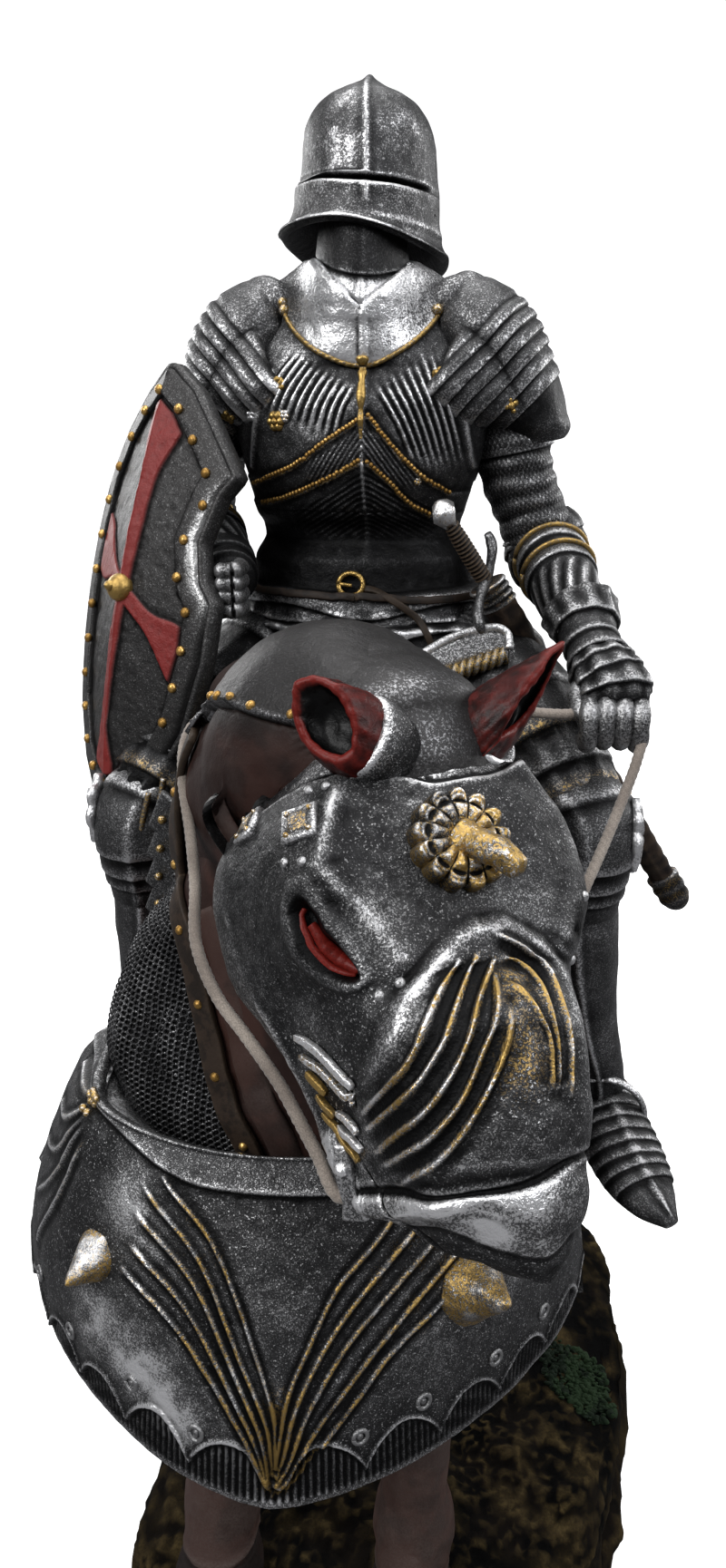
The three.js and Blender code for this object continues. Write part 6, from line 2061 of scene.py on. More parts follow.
def makeSkull(values):
    R, C = values["rings"], values["sides"]
    raw = np.array(skullLevels, float)
    knots = chords(raw[:, [0, 2]] * (1.0, 1.0))
    both = np.concatenate([raw, np.array(skullShare, float)[:, None] / 8], 1)
    rows = flowing(both, R, knots)
    share = np.arange(C) / C
    angle = ((share + 0.07 * np.sin(2 * math.pi * share)) * 2 * math.pi + math.pi / 2)[None] + 0 * rows[:,
        :1]
    level = rows[:, 5:6] + 0 * angle
    outer = (np.linspace(0, knots[-1], R)[:, None] < knots[8]) * 1.0
    front = np.cos(angle + math.pi / 2)
    reach = 1 + values["keel"] * np.abs(front) ** 10 * (1 - 0.6 * level)
    offX = np.cos(angle) * rows[:, 1:2] * reach
    x = rows[:, 3:4] + offX
    y = rows[:, 4:5] + np.sin(angle) * rows[:, 2:3] * reach
    flare = np.maximum(0, level - 0.6)
    z = rows[:, :1] + flare * np.where(front > 0, 5 * front ** 3, 10 * front) - values["tip"] * level * offX
    grid = np.stack([x, y, z], -1)
    ahead = rise(front, -0.1, 0.25) * outer
    height = np.zeros(x.shape)
    rub = np.zeros(x.shape)
    dark = np.zeros(x.shape)
    # the keel runs over the crown from front to back
    keel = hill(x - 0.6 - 1.4 * rise(front, 0, 1) * rise(level, 0, 0.5),
        0.75) * outer * (1 - rise(level, 0.72, 0.85))
    height += 0.35 * keel
    rub += 0.22 * hill(x - 0.6 - 1.4 * rise(front, 0, 1) * rise(level, 0, 0.5),
        0.36) * outer * (1 - rise(level, 0.7, 0.8)) * rise(level, 0.02, 0.1)
    # sight: a slit darkened as painted shade, with a bright lower lip
    slitLine = 261.6 - 0.085 * x - 0.3 * hill(x, 5)
    slit = hill(z - slitLine, 0.42) * ahead * (1 - rise(np.abs(x), 10.8, 12.2))
    height -= values["slit"] * slit
    dark += 1.2 * slit
    below = slitLine - z
    height += 0.3 * rise(below, 0.3, 0.9) * (1 - rise(level, 0.74, 0.9)) * ahead
    rub += 0.3 * hill(below - 1.0, 0.35) * ahead * rise(x, -4, 3) * (1 - rise(np.abs(x), 8, 11))
    # lower border of the visor and the flare
    bandLine = 255.6 - 0.12 * x
    height += 0.25 * hill(z - bandLine - 0.2, 0.7) * outer * rise(x, 0, 5)
    rub += 0.25 * hill(z - bandLine - 0.4, 0.5) * ahead * rise(x, 1, 5)
    rim = rise(level, 0.965, 1.0) * outer
    height += 0.35 * rim
    # painted highlight on the front middle of the rim and of the flare
    rub += 0.35 * rim * ahead * (1 - rise(np.abs(x), 5, 10))
    rub += 0.25 * rise(level, 0.84, 0.93) * ahead * rise(noise3(grid, 4, 5), -0.3,
        0.6) * (1 - rise(np.abs(x), 8, 13))
    # painted shade on the sides of the flare
    dark += 0.55 * rise(np.abs(x), 9, 15) * rise(level, 0.8, 0.95)
    # painted highlights: bright patches where the lights catch the helmet
    for spot, size, strength in (((-2.6, -13, 266.5), 3.0, 0.7), ((-3.0, -11, 273), 2.4, 0.35),
            ((7.4, -10, 268.6), 3.0, 0.22), ((9.5, -7, 271), 2.6, 0.2), ((-5, -13, 259), 4.5, 0.3),
            ((8.5, -11.5, 257.5), 4, 0.2), ((-12, 2, 268), 4, 0.1), ((0, 14, 268), 7, 0.25)):
        d = np.linalg.norm((grid - spot) * (1, 0.8, 0.75), axis=-1)
        rub += strength * hill(d, size) * (0.6 + 0.8 * noise3(grid, 1.6, 8)) * outer
    # painted shade inside the helmet and under its rim
    dark += (1 - outer) * 0.8
    dark += 0.22 * rise(noise3(grid, 5, 21), 0.1, 0.9) * outer
    height += (0.14 * rough3(grid, 6, 15) + 0.04 * noise3(grid, 1.4, 18)) * outer * rise(level, 0.02, 0.1)
    normals = gridNormals(grid, True, None)
    normals = np.where(outer[..., None] > 0, normals, 0)
    grid = grid + normals * height[..., None]
    return loft(grid, {"rub": np.clip(rub, 0, 1.1), "dark": np.clip(dark, 0, 1)})


def makeBevor():
    levels = [[236, 8, 10, 0, -3], [239, 9.2, 12.2, 0, -2.6], [243, 9.4, 13.6, 0, -2],
        [249, 8.0, 13, 0, -1.4], [254, 7.6, 12.2, 0, -1], [260, 7.6, 11, 0, 0]]
    R, C = 150, 220
    rows = flowing(levels, R, [l[0] for l in levels])
    angle = (np.arange(C) / C * 2 * math.pi)[None] + 0 * rows[:, :1]
    front = np.clip(np.cos(angle + math.pi / 2), 0, 1)
    reach = 1 + 0.08 * front ** 6
    x = rows[:, 3:4] + np.cos(angle) * rows[:, 1:2] * reach
    y = rows[:, 4:5] + np.sin(angle) * rows[:, 2:3] * reach
    z = rows[:, :1] + 0 * angle
    grid = np.stack([x, y, z], -1)
    facing = rise(-(y + 2), 0, 4)
    centre = 1.4
    seam = 240.9 + 0.92 * np.abs(x - centre)
    lip = 245.8 + 0.052 * (x - 1.8) ** 2
    height = 0.9 * rise(z - lip, -0.2, 0.3) * facing - 0.9 * hill(z - seam, 0.55) * facing
    height = height + 0.5 * rise(z - seam, 0.2, 0.7) * (1 - rise(z - lip, -0.3, 0.2)) * facing
    height = height + 0.25 * hill(x - centre, 0.5) * facing * (1 - 0.7 * rise(z - lip, 0, 1))
    rub = 0.75 * rise(z - seam, 0.3, 1.0) * (1 - rise(z - lip, -1.2,
        -0.2)) * facing * (1 - rise(np.abs(x - 0.5), 1.5, 8))
    rub = rub + 0.06 * rise(z - lip, 0.5, 1) * facing
    # painted shade in the seam, under the lip, over the bevor above the lip where the helmet overhangs it,
    # and round its back
    dark = 0.9 * hill(z - seam, 0.5) * facing + 0.8 * hill(z - lip + 0.3,
        0.5) * facing + 0.75 * rise(z - lip, 0, 1) + 0.8 * (1 - facing)
    height = height + 0.1 * rough3(grid, 4, 2)
    return loft(raised(grid, height), {"rub": rub, "dark": np.clip(dark, 0, 1)})


makePiece("knight_helmet", [makeSkull(helmetValues), makeBevor()], [pewterBright],
    "knight")
print("helmet ready")

# Shoulders: overlapping fluted lames from the neck out over the arm

pauldronValues = {"arch": 5.4, "edges": (0.26, 0.36, 0.46, 0.56, 0.66, 0.76, 0.87), "step": 0.55,
    "rings": 230, "sides": 170}


def makePauldron(side, values):
    start = np.array([side * 13, 1, 239.0])
    end = np.array([side * 30.4, 2, 222.6])
    shares = np.linspace(0, 1, 5)
    centre = start + (end - start) * shares[:, None]
    centre[:, 2] += values["arch"] * np.sin(math.pi * shares)
    stations = [[*c, w, d] for c, w, d in zip(centre, (8, 12.4, 13.8, 12.4, 9.2), (5, 8.6, 9.8, 8.9, 6.8))]
    # a short tail past the last lame closes over the arm
    stations.append([side * 30.9, 2.3, 219.6, 7.2, 5.6])
    grid = tube(stations, (0, 0, 1), rings=values["rings"], sides=values["sides"], roundness=2.1)
    R, C = grid.shape[:2]
    share = np.linspace(0, 1.12, R)[:, None]
    middle = grid.mean(axis=1, keepdims=True)
    over = np.array([side * 0.697, 0, 0.717])
    ahead = np.clip((middle[..., 1] - grid[..., 1]) / 12, 0, 1)
    below = np.clip(-((grid - middle) @ over) / 8.5, 0, 1)
    # the front wing hangs over the breast: the lower front corner is drawn out
    wing = 2 * ahead * below * rise(share, 0.10, 0.26) * (1 - rise(share, 0.62, 0.98))
    grid = grid + wing[..., None] * (np.array([0, -5.0, 0]) - 3.6 * over)
    height = np.zeros((R, C))
    rub = np.zeros((R, C))
    dark = np.zeros((R, C))
    # lames are cut straight across the shoulder
    cut = ((grid[..., 0] * side - 13) * 0.717 - (grid[..., 2] - 239) * 0.697) / 25.1
    cut = cut + 0.012 * noise3(grid, 8, 2)
    edges = list(values["edges"])
    bounds = [-0.6] + edges + [1.6]
    front = rise(ahead, 0.1, 0.5)
    for k in range(len(bounds) - 1):
        low, high = bounds[k], bounds[k + 1]
        t = (cut - low) / (high - low)
        inside = rise(t, -0.02, 0.05) * (1 - rise(t, 0.95, 1.02))
        saw = np.clip(t, 0, 1)
        worn = 0.35 + 0.65 * rise(noise3(grid, 4, 11 + k), -0.7, 0.3)
        if k == 0:
            height += inside * 0.5
            rub += 0.3 * hill((cut - high) / 0.02 + 0.6, 0.5) + 0.05 * inside
        else:
            height += inside * values["step"] * (0.1 + 0.9 * rise(saw, 0.05, 0.6)) * (1 - 0.15 * (k > 4))
            # painted highlight on the lames' faces towards the front, strong on the shoulder at negative x
            # and faint on the other
            face = {-1: 0.5, 1: 0.12}[side] * front * (0.4 + 0.6 * rise(-grid[..., 2], -237, -229))
            rub += inside * worn * rise(saw, 0.3, 0.55) * face
            # rubbed silver on each lame's edge, a little brighter at positive x as painted highlight
            rub += inside * worn * hill((saw - 0.82) / 0.2, 0.45) * ({-1: 0.3, 1: 0.42}[side])
            # painted shade where each lame runs under the one before
            dark += inside * 0.7 * (1 - rise(saw, 0.05, 0.3))
    # a raised border along the wing's free edge
    free = hill(np.arctan2(below, ahead + 0.001) - 0.86, 0.16) * rise(wing, 0.25, 0.6)
    height += 0.5 * free
    rub += 0.35 * free
    # painted shade under the wing
    dark += 0.5 * rise(below - ahead, 0.15, 0.5) * rise(share, 0.1, 0.2)
    height += 0.12 * rough3(grid, 4, 8)
    return loft(raised(grid, height), {"rub": np.clip(rub, 0, 1), "dark": np.clip(dark, 0, 1)})


def pauldronStuds(tree, side):
    parts = []
    spots = {-1: [(-12.6, -15, 229.6), (-24.6, -11, 222.3)],
        1: [(14.6, -13.5, 230.2), (27, -9, 225.6)]}[side]
    for x, y, z in spots:
        (spot,), (normal,) = onto(tree, [[x, y, z]])
        up = unit(np.cross(normal, (1, 0, 0.3)))
        across = np.cross(up, normal)
        for u, v, r in ((0, 0, 0.8), (0.9, 0.1, 0.6), (-0.9, 0.1, 0.6), (0, 1.0, 0.6), (0.2, -1.1, 0.5)):
            parts.append(dome(spot + across * u + up * v, normal, r, r * 1.1,
                marks={"gilt": 1.0, "rub": 0.35}))
    return parts


shoulders = []
for side in (-1, 1):
    shell = makePauldron(side, pauldronValues)
    shoulders += [shell] + pauldronStuds(treeOf([shell]), side)
    # a rolled lobe by the neck
    lobe = tube([[side * 12.5, -6.5, 240.5, 1.2, 2.0], [side * 15.5, -5.5, 243.2, 3.2, 3.4],
        [side * 18.8, -1.5, 244.4, 3.8, 3.8], [side * 20, 4, 243.2, 3.4, 3.2],
        [side * 18.5, 8.5, 240.6, 1.4, 2.0]], (0, 0, 1), rings=50, sides=48)
    lobe = raised(lobe, 0.15 * rough3(lobe, 3, 5))
    shoulders.append(loft(lobe, {"rub": 0.1 + 0.15 * rise(noise3(lobe, 3, 4), 0, 1)}))
makePiece("knight_shoulders", shoulders, [pewterBright], "knight")
print("shoulders ready")

# Arms and hands

armValues = {"mailPitch": 0.9, "mailDepth": 0.07}


def limbGrid(stations, facing, rings, sides, roundness=2.05):
    grid = tube(stations, facing, rings=rings, sides=sides, roundness=roundness)
    share = np.linspace(0, 1, rings)[:, None] + np.zeros((1, sides))
    angle = np.zeros((rings, 1)) + np.arange(sides)[None] / sides * 2 * math.pi
    return grid, share, angle


def lamed(share, edges, width, step):
    # raised lips at the given shares along a limb, each with its shadow
    height = np.zeros(share.shape)
    rub = np.zeros(share.shape)
    dark = np.zeros(share.shape)
    for edge in edges:
        t = (share - edge) / width
        height += step * rise(t, -3.2, -0.1) * (1 - rise(t, -0.06, 0.12))
        rub += 0.75 * hill(t + 0.35, 0.4)
        dark += 0.7 * hill(t - 0.28, 0.3)
    return height, rub, dark


def mailRelief(share, angle, length, radius, pitch, depth):
    along = share * length / pitch
    around = angle * radius / pitch
    return depth * (np.sin(along * 2 * math.pi) * np.cos(around * 2 * math.pi + math.pi * np.floor(along)))


def makeArms(values):
    parts = []
    for side, upper, fore in ((1, [[26, 2, 228, 7.6, 8], [28.6, 2.5, 214, 6.9, 7.4], [31.8, 3, 206, 6.5, 7],
            [34.6, 3, 199.8, 6.2, 6.6]], [[34.8, 4, 200.6, 5.4, 5.8], [36.0, -2, 198, 6.4, 6.6],
            [37.8, -8, 195, 6.3, 6.3], [40.2, -16, 191, 5.7, 5.7], [42.2, -21, 188.4, 5.2, 5.2]]),
            (-1, [[-27.5, 2, 228, 8, 8], [-32, 5, 217, 7.2, 7.2], [-35, 8, 209, 6.6, 6.6],
            [-36, 9, 203, 6.6, 6.6]], [[-36.4, 9, 203.4, 5.8, 5.8], [-34, 3, 202, 6.8, 6.8],
            [-31, -2, 200.5, 6.8, 6.8], [-23.5, -18, 197, 5.4, 5.4]])):
        grid, share, angle = limbGrid(upper, (0, -1, 0), 180, 150)
        folds = 0.3 * np.sin(share * 46 + 2.5 * np.sin(angle + 1) + 1.5 * noise3(grid, 6, 3))
        mail = mailRelief(share, angle, 30, 7.2, values["mailPitch"], values["mailDepth"])
        high, rub, dark = lamed(share, (0.36, 0.9), 0.05, 0.5)
        height = folds * 0.6 + mail + high
        rub = rub * 0.35 + 0.28 * rise(folds, 0.12, 0.3) * rise(noise3(grid, 3, 9), -0.6, 0.6)
        # painted shade in the troughs of the folds
        parts.append(loft(raised(grid, height), {"rub": rub,
            "dark": np.clip(dark + 0.3 * rise(-folds, 0.05, 0.3), 0, 1)}))
        elbow = np.array(upper[-1][:3])
        cop, share, angle = limbGrid([[*(elbow + (-1.6 * side, 0.6, 5)), 6.2, 6.4],
            [*(elbow + (-0.5 * side, 0.8, 2.5)), 7.3, 7.6], [*(elbow + (0.2 * side, 0.4, 0)), 7.6, 8.0],
            [*(elbow + (0.9 * side, -1.6, -2.4)), 7.1, 7.4], [*(elbow + (1.6 * side, -4.4, -3.2)), 6.4,
            6.4]], (0, -1, 0), 90, 130)
        high, rub, dark = lamed(share, (0.3, 0.55, 0.8), 0.09, 0.5)
        parts.append(loft(raised(cop, high + 0.15 * np.cos(angle * 12)),
            {"rub": rub * 0.4, "dark": np.clip(dark * 0.8 + 0.2, 0, 1)}))
        grid, share, angle = limbGrid(fore, (0, 0, 1), 170, 150)
        swirl = np.sin(angle * 13 + share * 22 * side)
        high, rub, dark = lamed(share, (0.30, 0.50), 0.06, 0.5)
        height = high + 0.16 * swirl * rise(share, 0.5, 0.6)
        rub = rub * 0.4 + 0.35 * rise(swirl, 0.3, 1.0) * rise(share, 0.5, 0.6) * rise(noise3(grid, 3, 7),
            -0.6, 0.5)
        # painted shade in the troughs of the fluting, over a darker tone
        dark = dark + 0.35 * rise(-swirl, 0.2, 0.9) * rise(share, 0.5, 0.6) + 0.15
        parts.append(loft(raised(grid, height), {"rub": rub, "dark": np.clip(dark, 0, 1)}))
        # two gilt rings round the forearm
        for at in (0.22, 0.40):
            row = int(at * 169)
            ring = grid[row]
            middle = ring.mean(axis=0)
            out = unit(ring - middle)
            path = np.concatenate([ring, ring[:2]])[::3] + np.concatenate([out, out[:2]])[::3] * 0.5
            normals = np.concatenate([out, out[:2]])[::3]
            parts.append(ribbon(path, normals, 0.9, 1.1, sides=12, marks={"gilt": 0.62, "rub": 0.2}))
    return parts


def finger(points, radius):
    points = np.array(points, float)
    rows = even(points, count=26)
    along = unit(np.gradient(rows, axis=0))
    up = unit(np.cross(along, (1.0, 0.2, 0.1)))
    share = np.linspace(0, 1, 26)
    # knuckles
    swell = radius * (1 + 0.16 * np.abs(np.cos(share * math.pi * 3)) - 0.5 * rise(share, 0.93, 1))
    return ribbon(rows, up, 2 * swell, 2 * swell, sides=12,
        marks={"rub": 0.06 + 0.3 * np.abs(np.cos(share * math.pi * 3))[:, None] ** 3, "dark": 0.35})


def makeHands():
    parts = []
    # left gauntlet: flared cuff, plated back and fingers closed on the rein
    cuff = [[41.0, -17.6, 190.4, 6.9, 6.7], [42.0, -20.5, 188.6, 5.6, 5.4], [42.9, -24, 186.2, 4.5, 4.3],
        [44.4, -28.5, 183.4, 5.1, 4.4]]
    grid, share, angle = limbGrid(cuff, (0, -1, 0.4), 90, 110)
    wavy = 0.25 * np.cos(angle * 10) * (1 - rise(share, 0.1, 0.5))
    high, rub, dark = lamed(share, (0.34, 0.66, 0.95), 0.09, 0.6)
    parts.append(loft(raised(grid, high + wavy), {"rub": rub * 0.5 + 0.3 * hill(share, 0.07),
        "dark": np.clip(dark * 0.8 + 0.3, 0, 1)}))
    back = [[43.8, -27, 184.4, 4.6, 4.0], [45.2, -30.5, 182.2, 5.6, 4.8], [46.6, -33.4, 179.8, 6.0, 4.8],
        [47.2, -35.2, 177.6, 5.2, 4.0]]
    grid, share, angle = limbGrid(back, (0, -1, 0.4), 90, 110)
    high, rub, dark = lamed(share, (0.3, 0.55, 0.8), 0.09, 0.5)
    parts.append(loft(raised(grid, high + 0.2 * np.cos(angle * 9)),
        {"rub": rub * 0.45, "dark": np.clip(dark * 0.8 + 0.3, 0, 1)}))
    for k in range(4):
        x = 42.4 + 2.75 * k
        drop = 0.5 * abs(k - 1.4)
        parts.append(finger([[x, -34.6 + 0.35 * k, 180.0 - drop], [x + 0.1, -38.4 + 0.4 * k, 178.4 - drop],
            [x + 0.1, -39.6 + 0.4 * k, 175.2 - drop], [x - 0.1, -37.4 + 0.4 * k, 172.6 - drop],
            [x - 0.2, -34.6 + 0.4 * k, 173.0 - drop]], 1.5))
    parts.append(finger([[42.0, -30.8, 181.0], [40.6, -34.0, 179.2], [41.4, -36.8, 177.0],
        [44.0, -38.2, 176.2]], 1.6))
    # right hand behind the shield, seen from the rider's side
    cuff = [[-24.6, -15.5, 197.4, 6.2, 6.2], [-22.6, -19.5, 196.4, 5.0, 5.0], [-21.2, -23, 195.6, 4.4, 4.2]]
    grid, share, angle = limbGrid(cuff, (0, 0, 1), 60, 90)
    high, rub, dark = lamed(share, (0.4, 0.8), 0.1, 0.5)
    # painted shade on the hand behind the shield
    parts.append(loft(raised(grid, high), {"rub": rub * 0.4, "dark": np.clip(dark + 0.6, 0, 1)}))
    for k in range(4):
        z = 198.4 - 2.3 * k
        parts.append(finger([[-20.6, -21.8, z], [-18.8, -25.6, z - 0.2], [-19.6, -28.2, z - 0.4],
            [-22.6, -28.2, z - 0.5]], 1.35))
    return parts


makePiece("knight_arms", makeArms(armValues) + makeHands(), [pewterBright], "knight")
print("arms ready")

# Legs: thigh plates, knee, greave and a pointed foot of lames

legValues = {"middle": 3.0}


def makeRiderLeg(side, values):
    def across(stations):
        return stations if side > 0 else [[2 * values["middle"] - s[0], *s[1:]] for s in stations]

    parts = []
    thigh = across([[12, 4, 182, 13, 14], [25, -8, 175, 12.4, 12.4], [36, -22, 163.5, 10.4, 10.8],
        [42.6, -31, 154, 8.6, 9]])
    grid, share, angle = limbGrid(thigh, (0, 0, 1), 150, 150, 2.1)
    high, rub, dark = lamed(share, (0.36, 0.56, 0.72, 0.84, 0.93), 0.045, 0.75)
    wavy = 0.3 * np.cos(angle * 14) * rise(share, 0.3, 0.5)
    mail = mailRelief(share, angle, 48, 12, 1.3, 0.2) * (1 - rise(share, 0.28, 0.36))
    gilt = sum(hill((share - e) / 0.045 + 0.3, 0.3) for e in (0.72, 0.93))
    parts.append(loft(raised(grid, high + wavy * 0.6 + mail),
        {"rub": rub * 0.35, "dark": np.clip(dark * 0.8 + 0.3, 0, 1), "gilt": 0.5 * gilt}))
    low = 3.0 if side < 0 else 1.0
    knee = across([[38.6, -23.6, 161.6 - low, 7.2, 7.4], [41, -28, 159.4 - low, 8.4, 8.4],
        [42.9, -31.2, 156.4 - low, 9.2, 8.8], [43.4, -32.2, 153 - low, 8.8, 8.6],
        [43.3, -32, 149 - low, 8.2, 8.2], [43.1, -31.4, 145 - low, 7.8, 7.8],
        [43.0, -31, 141 - low, 7.4, 7.6]])
    grid, share, angle = limbGrid(knee, (0, -1, 0), 120, 150, 2.05)
    high, rub, dark = lamed(share, (0.24, 0.36, 0.62, 0.74, 0.86), 0.05, 0.45)
    ridge = hill(np.abs(angle - math.pi / 2), 0.12)
    height = high + 0.4 * ridge
    gilt = 0.8 * hill((share - 0.24) / 0.06 + 0.3, 0.35)
    parts.append(loft(raised(grid, height), {"rub": rub * 0.35 + 0.15 * ridge + 0.1 * hill(share - 0.5,
        0.12), "dark": np.clip(dark + 0.12, 0, 1), "gilt": gilt * 0.6}))
    # fan plate at the outer side of the knee
    x = (43.4 + 9.6) if side > 0 else 2 * values["middle"] - 53
    fan = []
    turns = np.linspace(0, 2 * math.pi, 72, endpoint=False)
    for reach, out in ((0.1, 1.6), (0.4, 1.5), (0.75, 1.1), (1.0, 0.5), (1.0, -0.4), (0.6, -0.6),
            (0.1, -0.6)):
        radius = 7.0 * reach * (0.86 + 0.14 * np.abs(np.cos(turns * 4)))
        y = -31 + radius * np.cos(turns) * 0.85
        z = 153.5 + radius * np.sin(turns)
        fan.append(np.stack([x + side * (out - 1.2) + 0.35 * side * np.abs(np.cos(turns * 4)) * (out > 0), y,
            z], -1))
    parts.append(loft(np.array(fan), {"rub": 0.4}))
    greave = across([[43.2, -31.6, 150, 7.8, 8.4], [42.6, -30, 144, 7.9, 8.9], [43.8, -27, 130, 7.7, 9.5],
        [45.4, -25, 120, 6.8, 8.4], [47, -24, 112, 5.9, 7.3], [50.2, -22.6, 99, 4.9, 5.7],
        [50.6, -21, 92.5, 5.6, 6.6]])
    grid, share, angle = limbGrid(greave, (0, -1, 0), 170, 130, 2.05)
    ridge = hill(np.abs(angle - math.pi / 2), 0.10)
    high, rub, dark = lamed(share, (0.07, 0.97), 0.03, 0.5)
    side1 = hill(np.abs(np.abs(angle - math.pi / 2) - 1.45), 0.05)
    # painted shade in the groove down each side
    parts.append(loft(raised(grid, high + 0.5 * ridge - 0.3 * side1 + 0.12 * rough3(grid, 5, 3)),
        {"rub": rub * 0.4 + 0.12 * ridge + 0.12 * rise(noise3(grid, 7, 5), 0, 0.8),
        "dark": np.clip(dark + 0.6 * side1, 0, 1)}))
    foot = across([[49.4, -15, 91.6, 4.4, 4.6], [50.2, -19, 92.4, 5.9, 5.6], [51.2, -24, 92.4, 6.6, 5.5],
        [52.8, -29, 91.6, 7.1, 5.1], [54.6, -34, 90.2, 7.2, 4.6], [56.9, -39.5, 88.4, 6.6, 4.0],
        [59.6, -44.5, 87, 4.8, 2.8], [62.4, -48.4, 86, 1.6, 1.0]])
    grid, share, angle = limbGrid(foot, (0, 0, 1), 170, 110, 2.1)
    over = rise(np.sin(angle), -0.5, 0.1)
    high, rub, dark = lamed(share, (0.30, 0.37, 0.44, 0.51, 0.58, 0.65, 0.72, 0.79), 0.03, 0.4)
    ridge = hill(np.abs(angle - math.pi / 2), 0.16) * rise(share, 0.2, 0.4)
    parts.append(loft(raised(grid, high * over + 0.5 * ridge),
        {"rub": rub * over * 0.45 * rise(noise3(grid, 4, 3), -0.6, 0.5) + 0.12 * ridge,
        "dark": np.clip(dark * over + 0.25, 0, 1)}))
    # ankle strap and spur
    ankle = grid[int(0.17 * 170)]
    path = np.concatenate([ankle, ankle[:2]])[::3]
    out = unit(path - ankle.mean(axis=0))
    parts.append(ribbon(path + out * 0.3, out, 1.8, 1.0, sides=8, roundness=3, slot=1, marks={"rub": 0.2}))
    heel = np.array([49.2, -12.5, 92.5] if side > 0 else [2 * values["middle"] - 49.2, -12.5, 92.5])
    parts.append(ribbon([heel + (0, -2, 0), heel + (0, 2, 0.6), heel + (0, 6, 0.4), heel + (0, 8, 0)],
        np.tile((0, 0, 1.0), (4, 1)), [2.2, 1.6, 1.2, 0.5], [2.2, 1.6, 1.2, 0.5], sides=10,
        marks={"gilt": 0.8, "rub": 0.3}))
    # stirrup hanging from its leather
    strap = [[*(heel + (-1.5 * side, -13, 50))], [*(heel + (-3.0 * side, -13.5, 30))],
        [*(heel + (-1.5 * side, -14.5, 12))]]
    parts.append(ribbon(even(strap, 1.0), np.tile((float(side), 0, 0.05), (len(even(strap, 1.0)), 1)), 2.6,
        0.9, sides=8, roundness=3, slot=1, marks={"rub": 0.15}))
    bow = []
    for turn in np.linspace(0, 2 * math.pi, 41):
        bow.append(heel + (8.4 * math.sin(turn) + 1.5 * side, -15.5,
            1.0 + 8.2 * math.cos(turn) - (1.5 if math.cos(turn) < -0.5 else 0)))
    parts.append(ribbon(bow, np.tile((0, 1.0, 0), (41, 1)), 1.2, 2.0, sides=10, marks={"rub": 0.4}))
    return parts


riderLegs = makeRiderLeg(1, legValues) + makeRiderLeg(-1, legValues)
makePiece("knight_legs", riderLegs, [pewterBright, leatherPaint], "knight")
print("legs ready")

# The shield: bowed and keeled, a grey border round a dark field with a red cross

shieldValues = {"width": 44, "height": 80, "keel": 7.5, "bow": 3.6, "wall": 2.4, "border": 4.6,
    "armWidth": 1.5, "flare": 2.6}
shieldBoss = np.array([-41.2, -25, 194.0])
shieldUp = unit(np.array([0.16, 0.187, 0.969]))
shieldAcross = np.array([0.788, -0.616, 0])
shieldAcross = unit(shieldAcross - (shieldAcross @ shieldUp) * shieldUp)
shieldOut = np.cross(shieldAcross, shieldUp)
shieldRows = [[1, 0.04, 0.04], [0.9, 0.4, 0.3], [0.74, 0.72, 0.56], [0.56, 0.9, 0.84], [0.47, 0.95, 0.74],
    [0.26, 1, 0.66], [0.09, 1, 0.74], [0.01, 1, 0.86], [-0.25, 0.97, 0.86], [-0.58, 0.88, 0.74],
    [-0.84, 0.64, 0.5], [-0.96, 0.36, 0.25], [-1, 0.08, 0.06],]


def onShield(w, h, out=0.0):
    # w in millimetres across and h up from the boss
    bowed = out - (shieldValues["keel"] * np.abs(w) / (shieldValues["width"] / 2)
                   + shieldValues["bow"] * (h / (shieldValues["height"] / 2)) ** 2)
    return shieldBoss + w[..., None] * shieldAcross + h[..., None] * shieldUp + bowed[..., None] * shieldOut


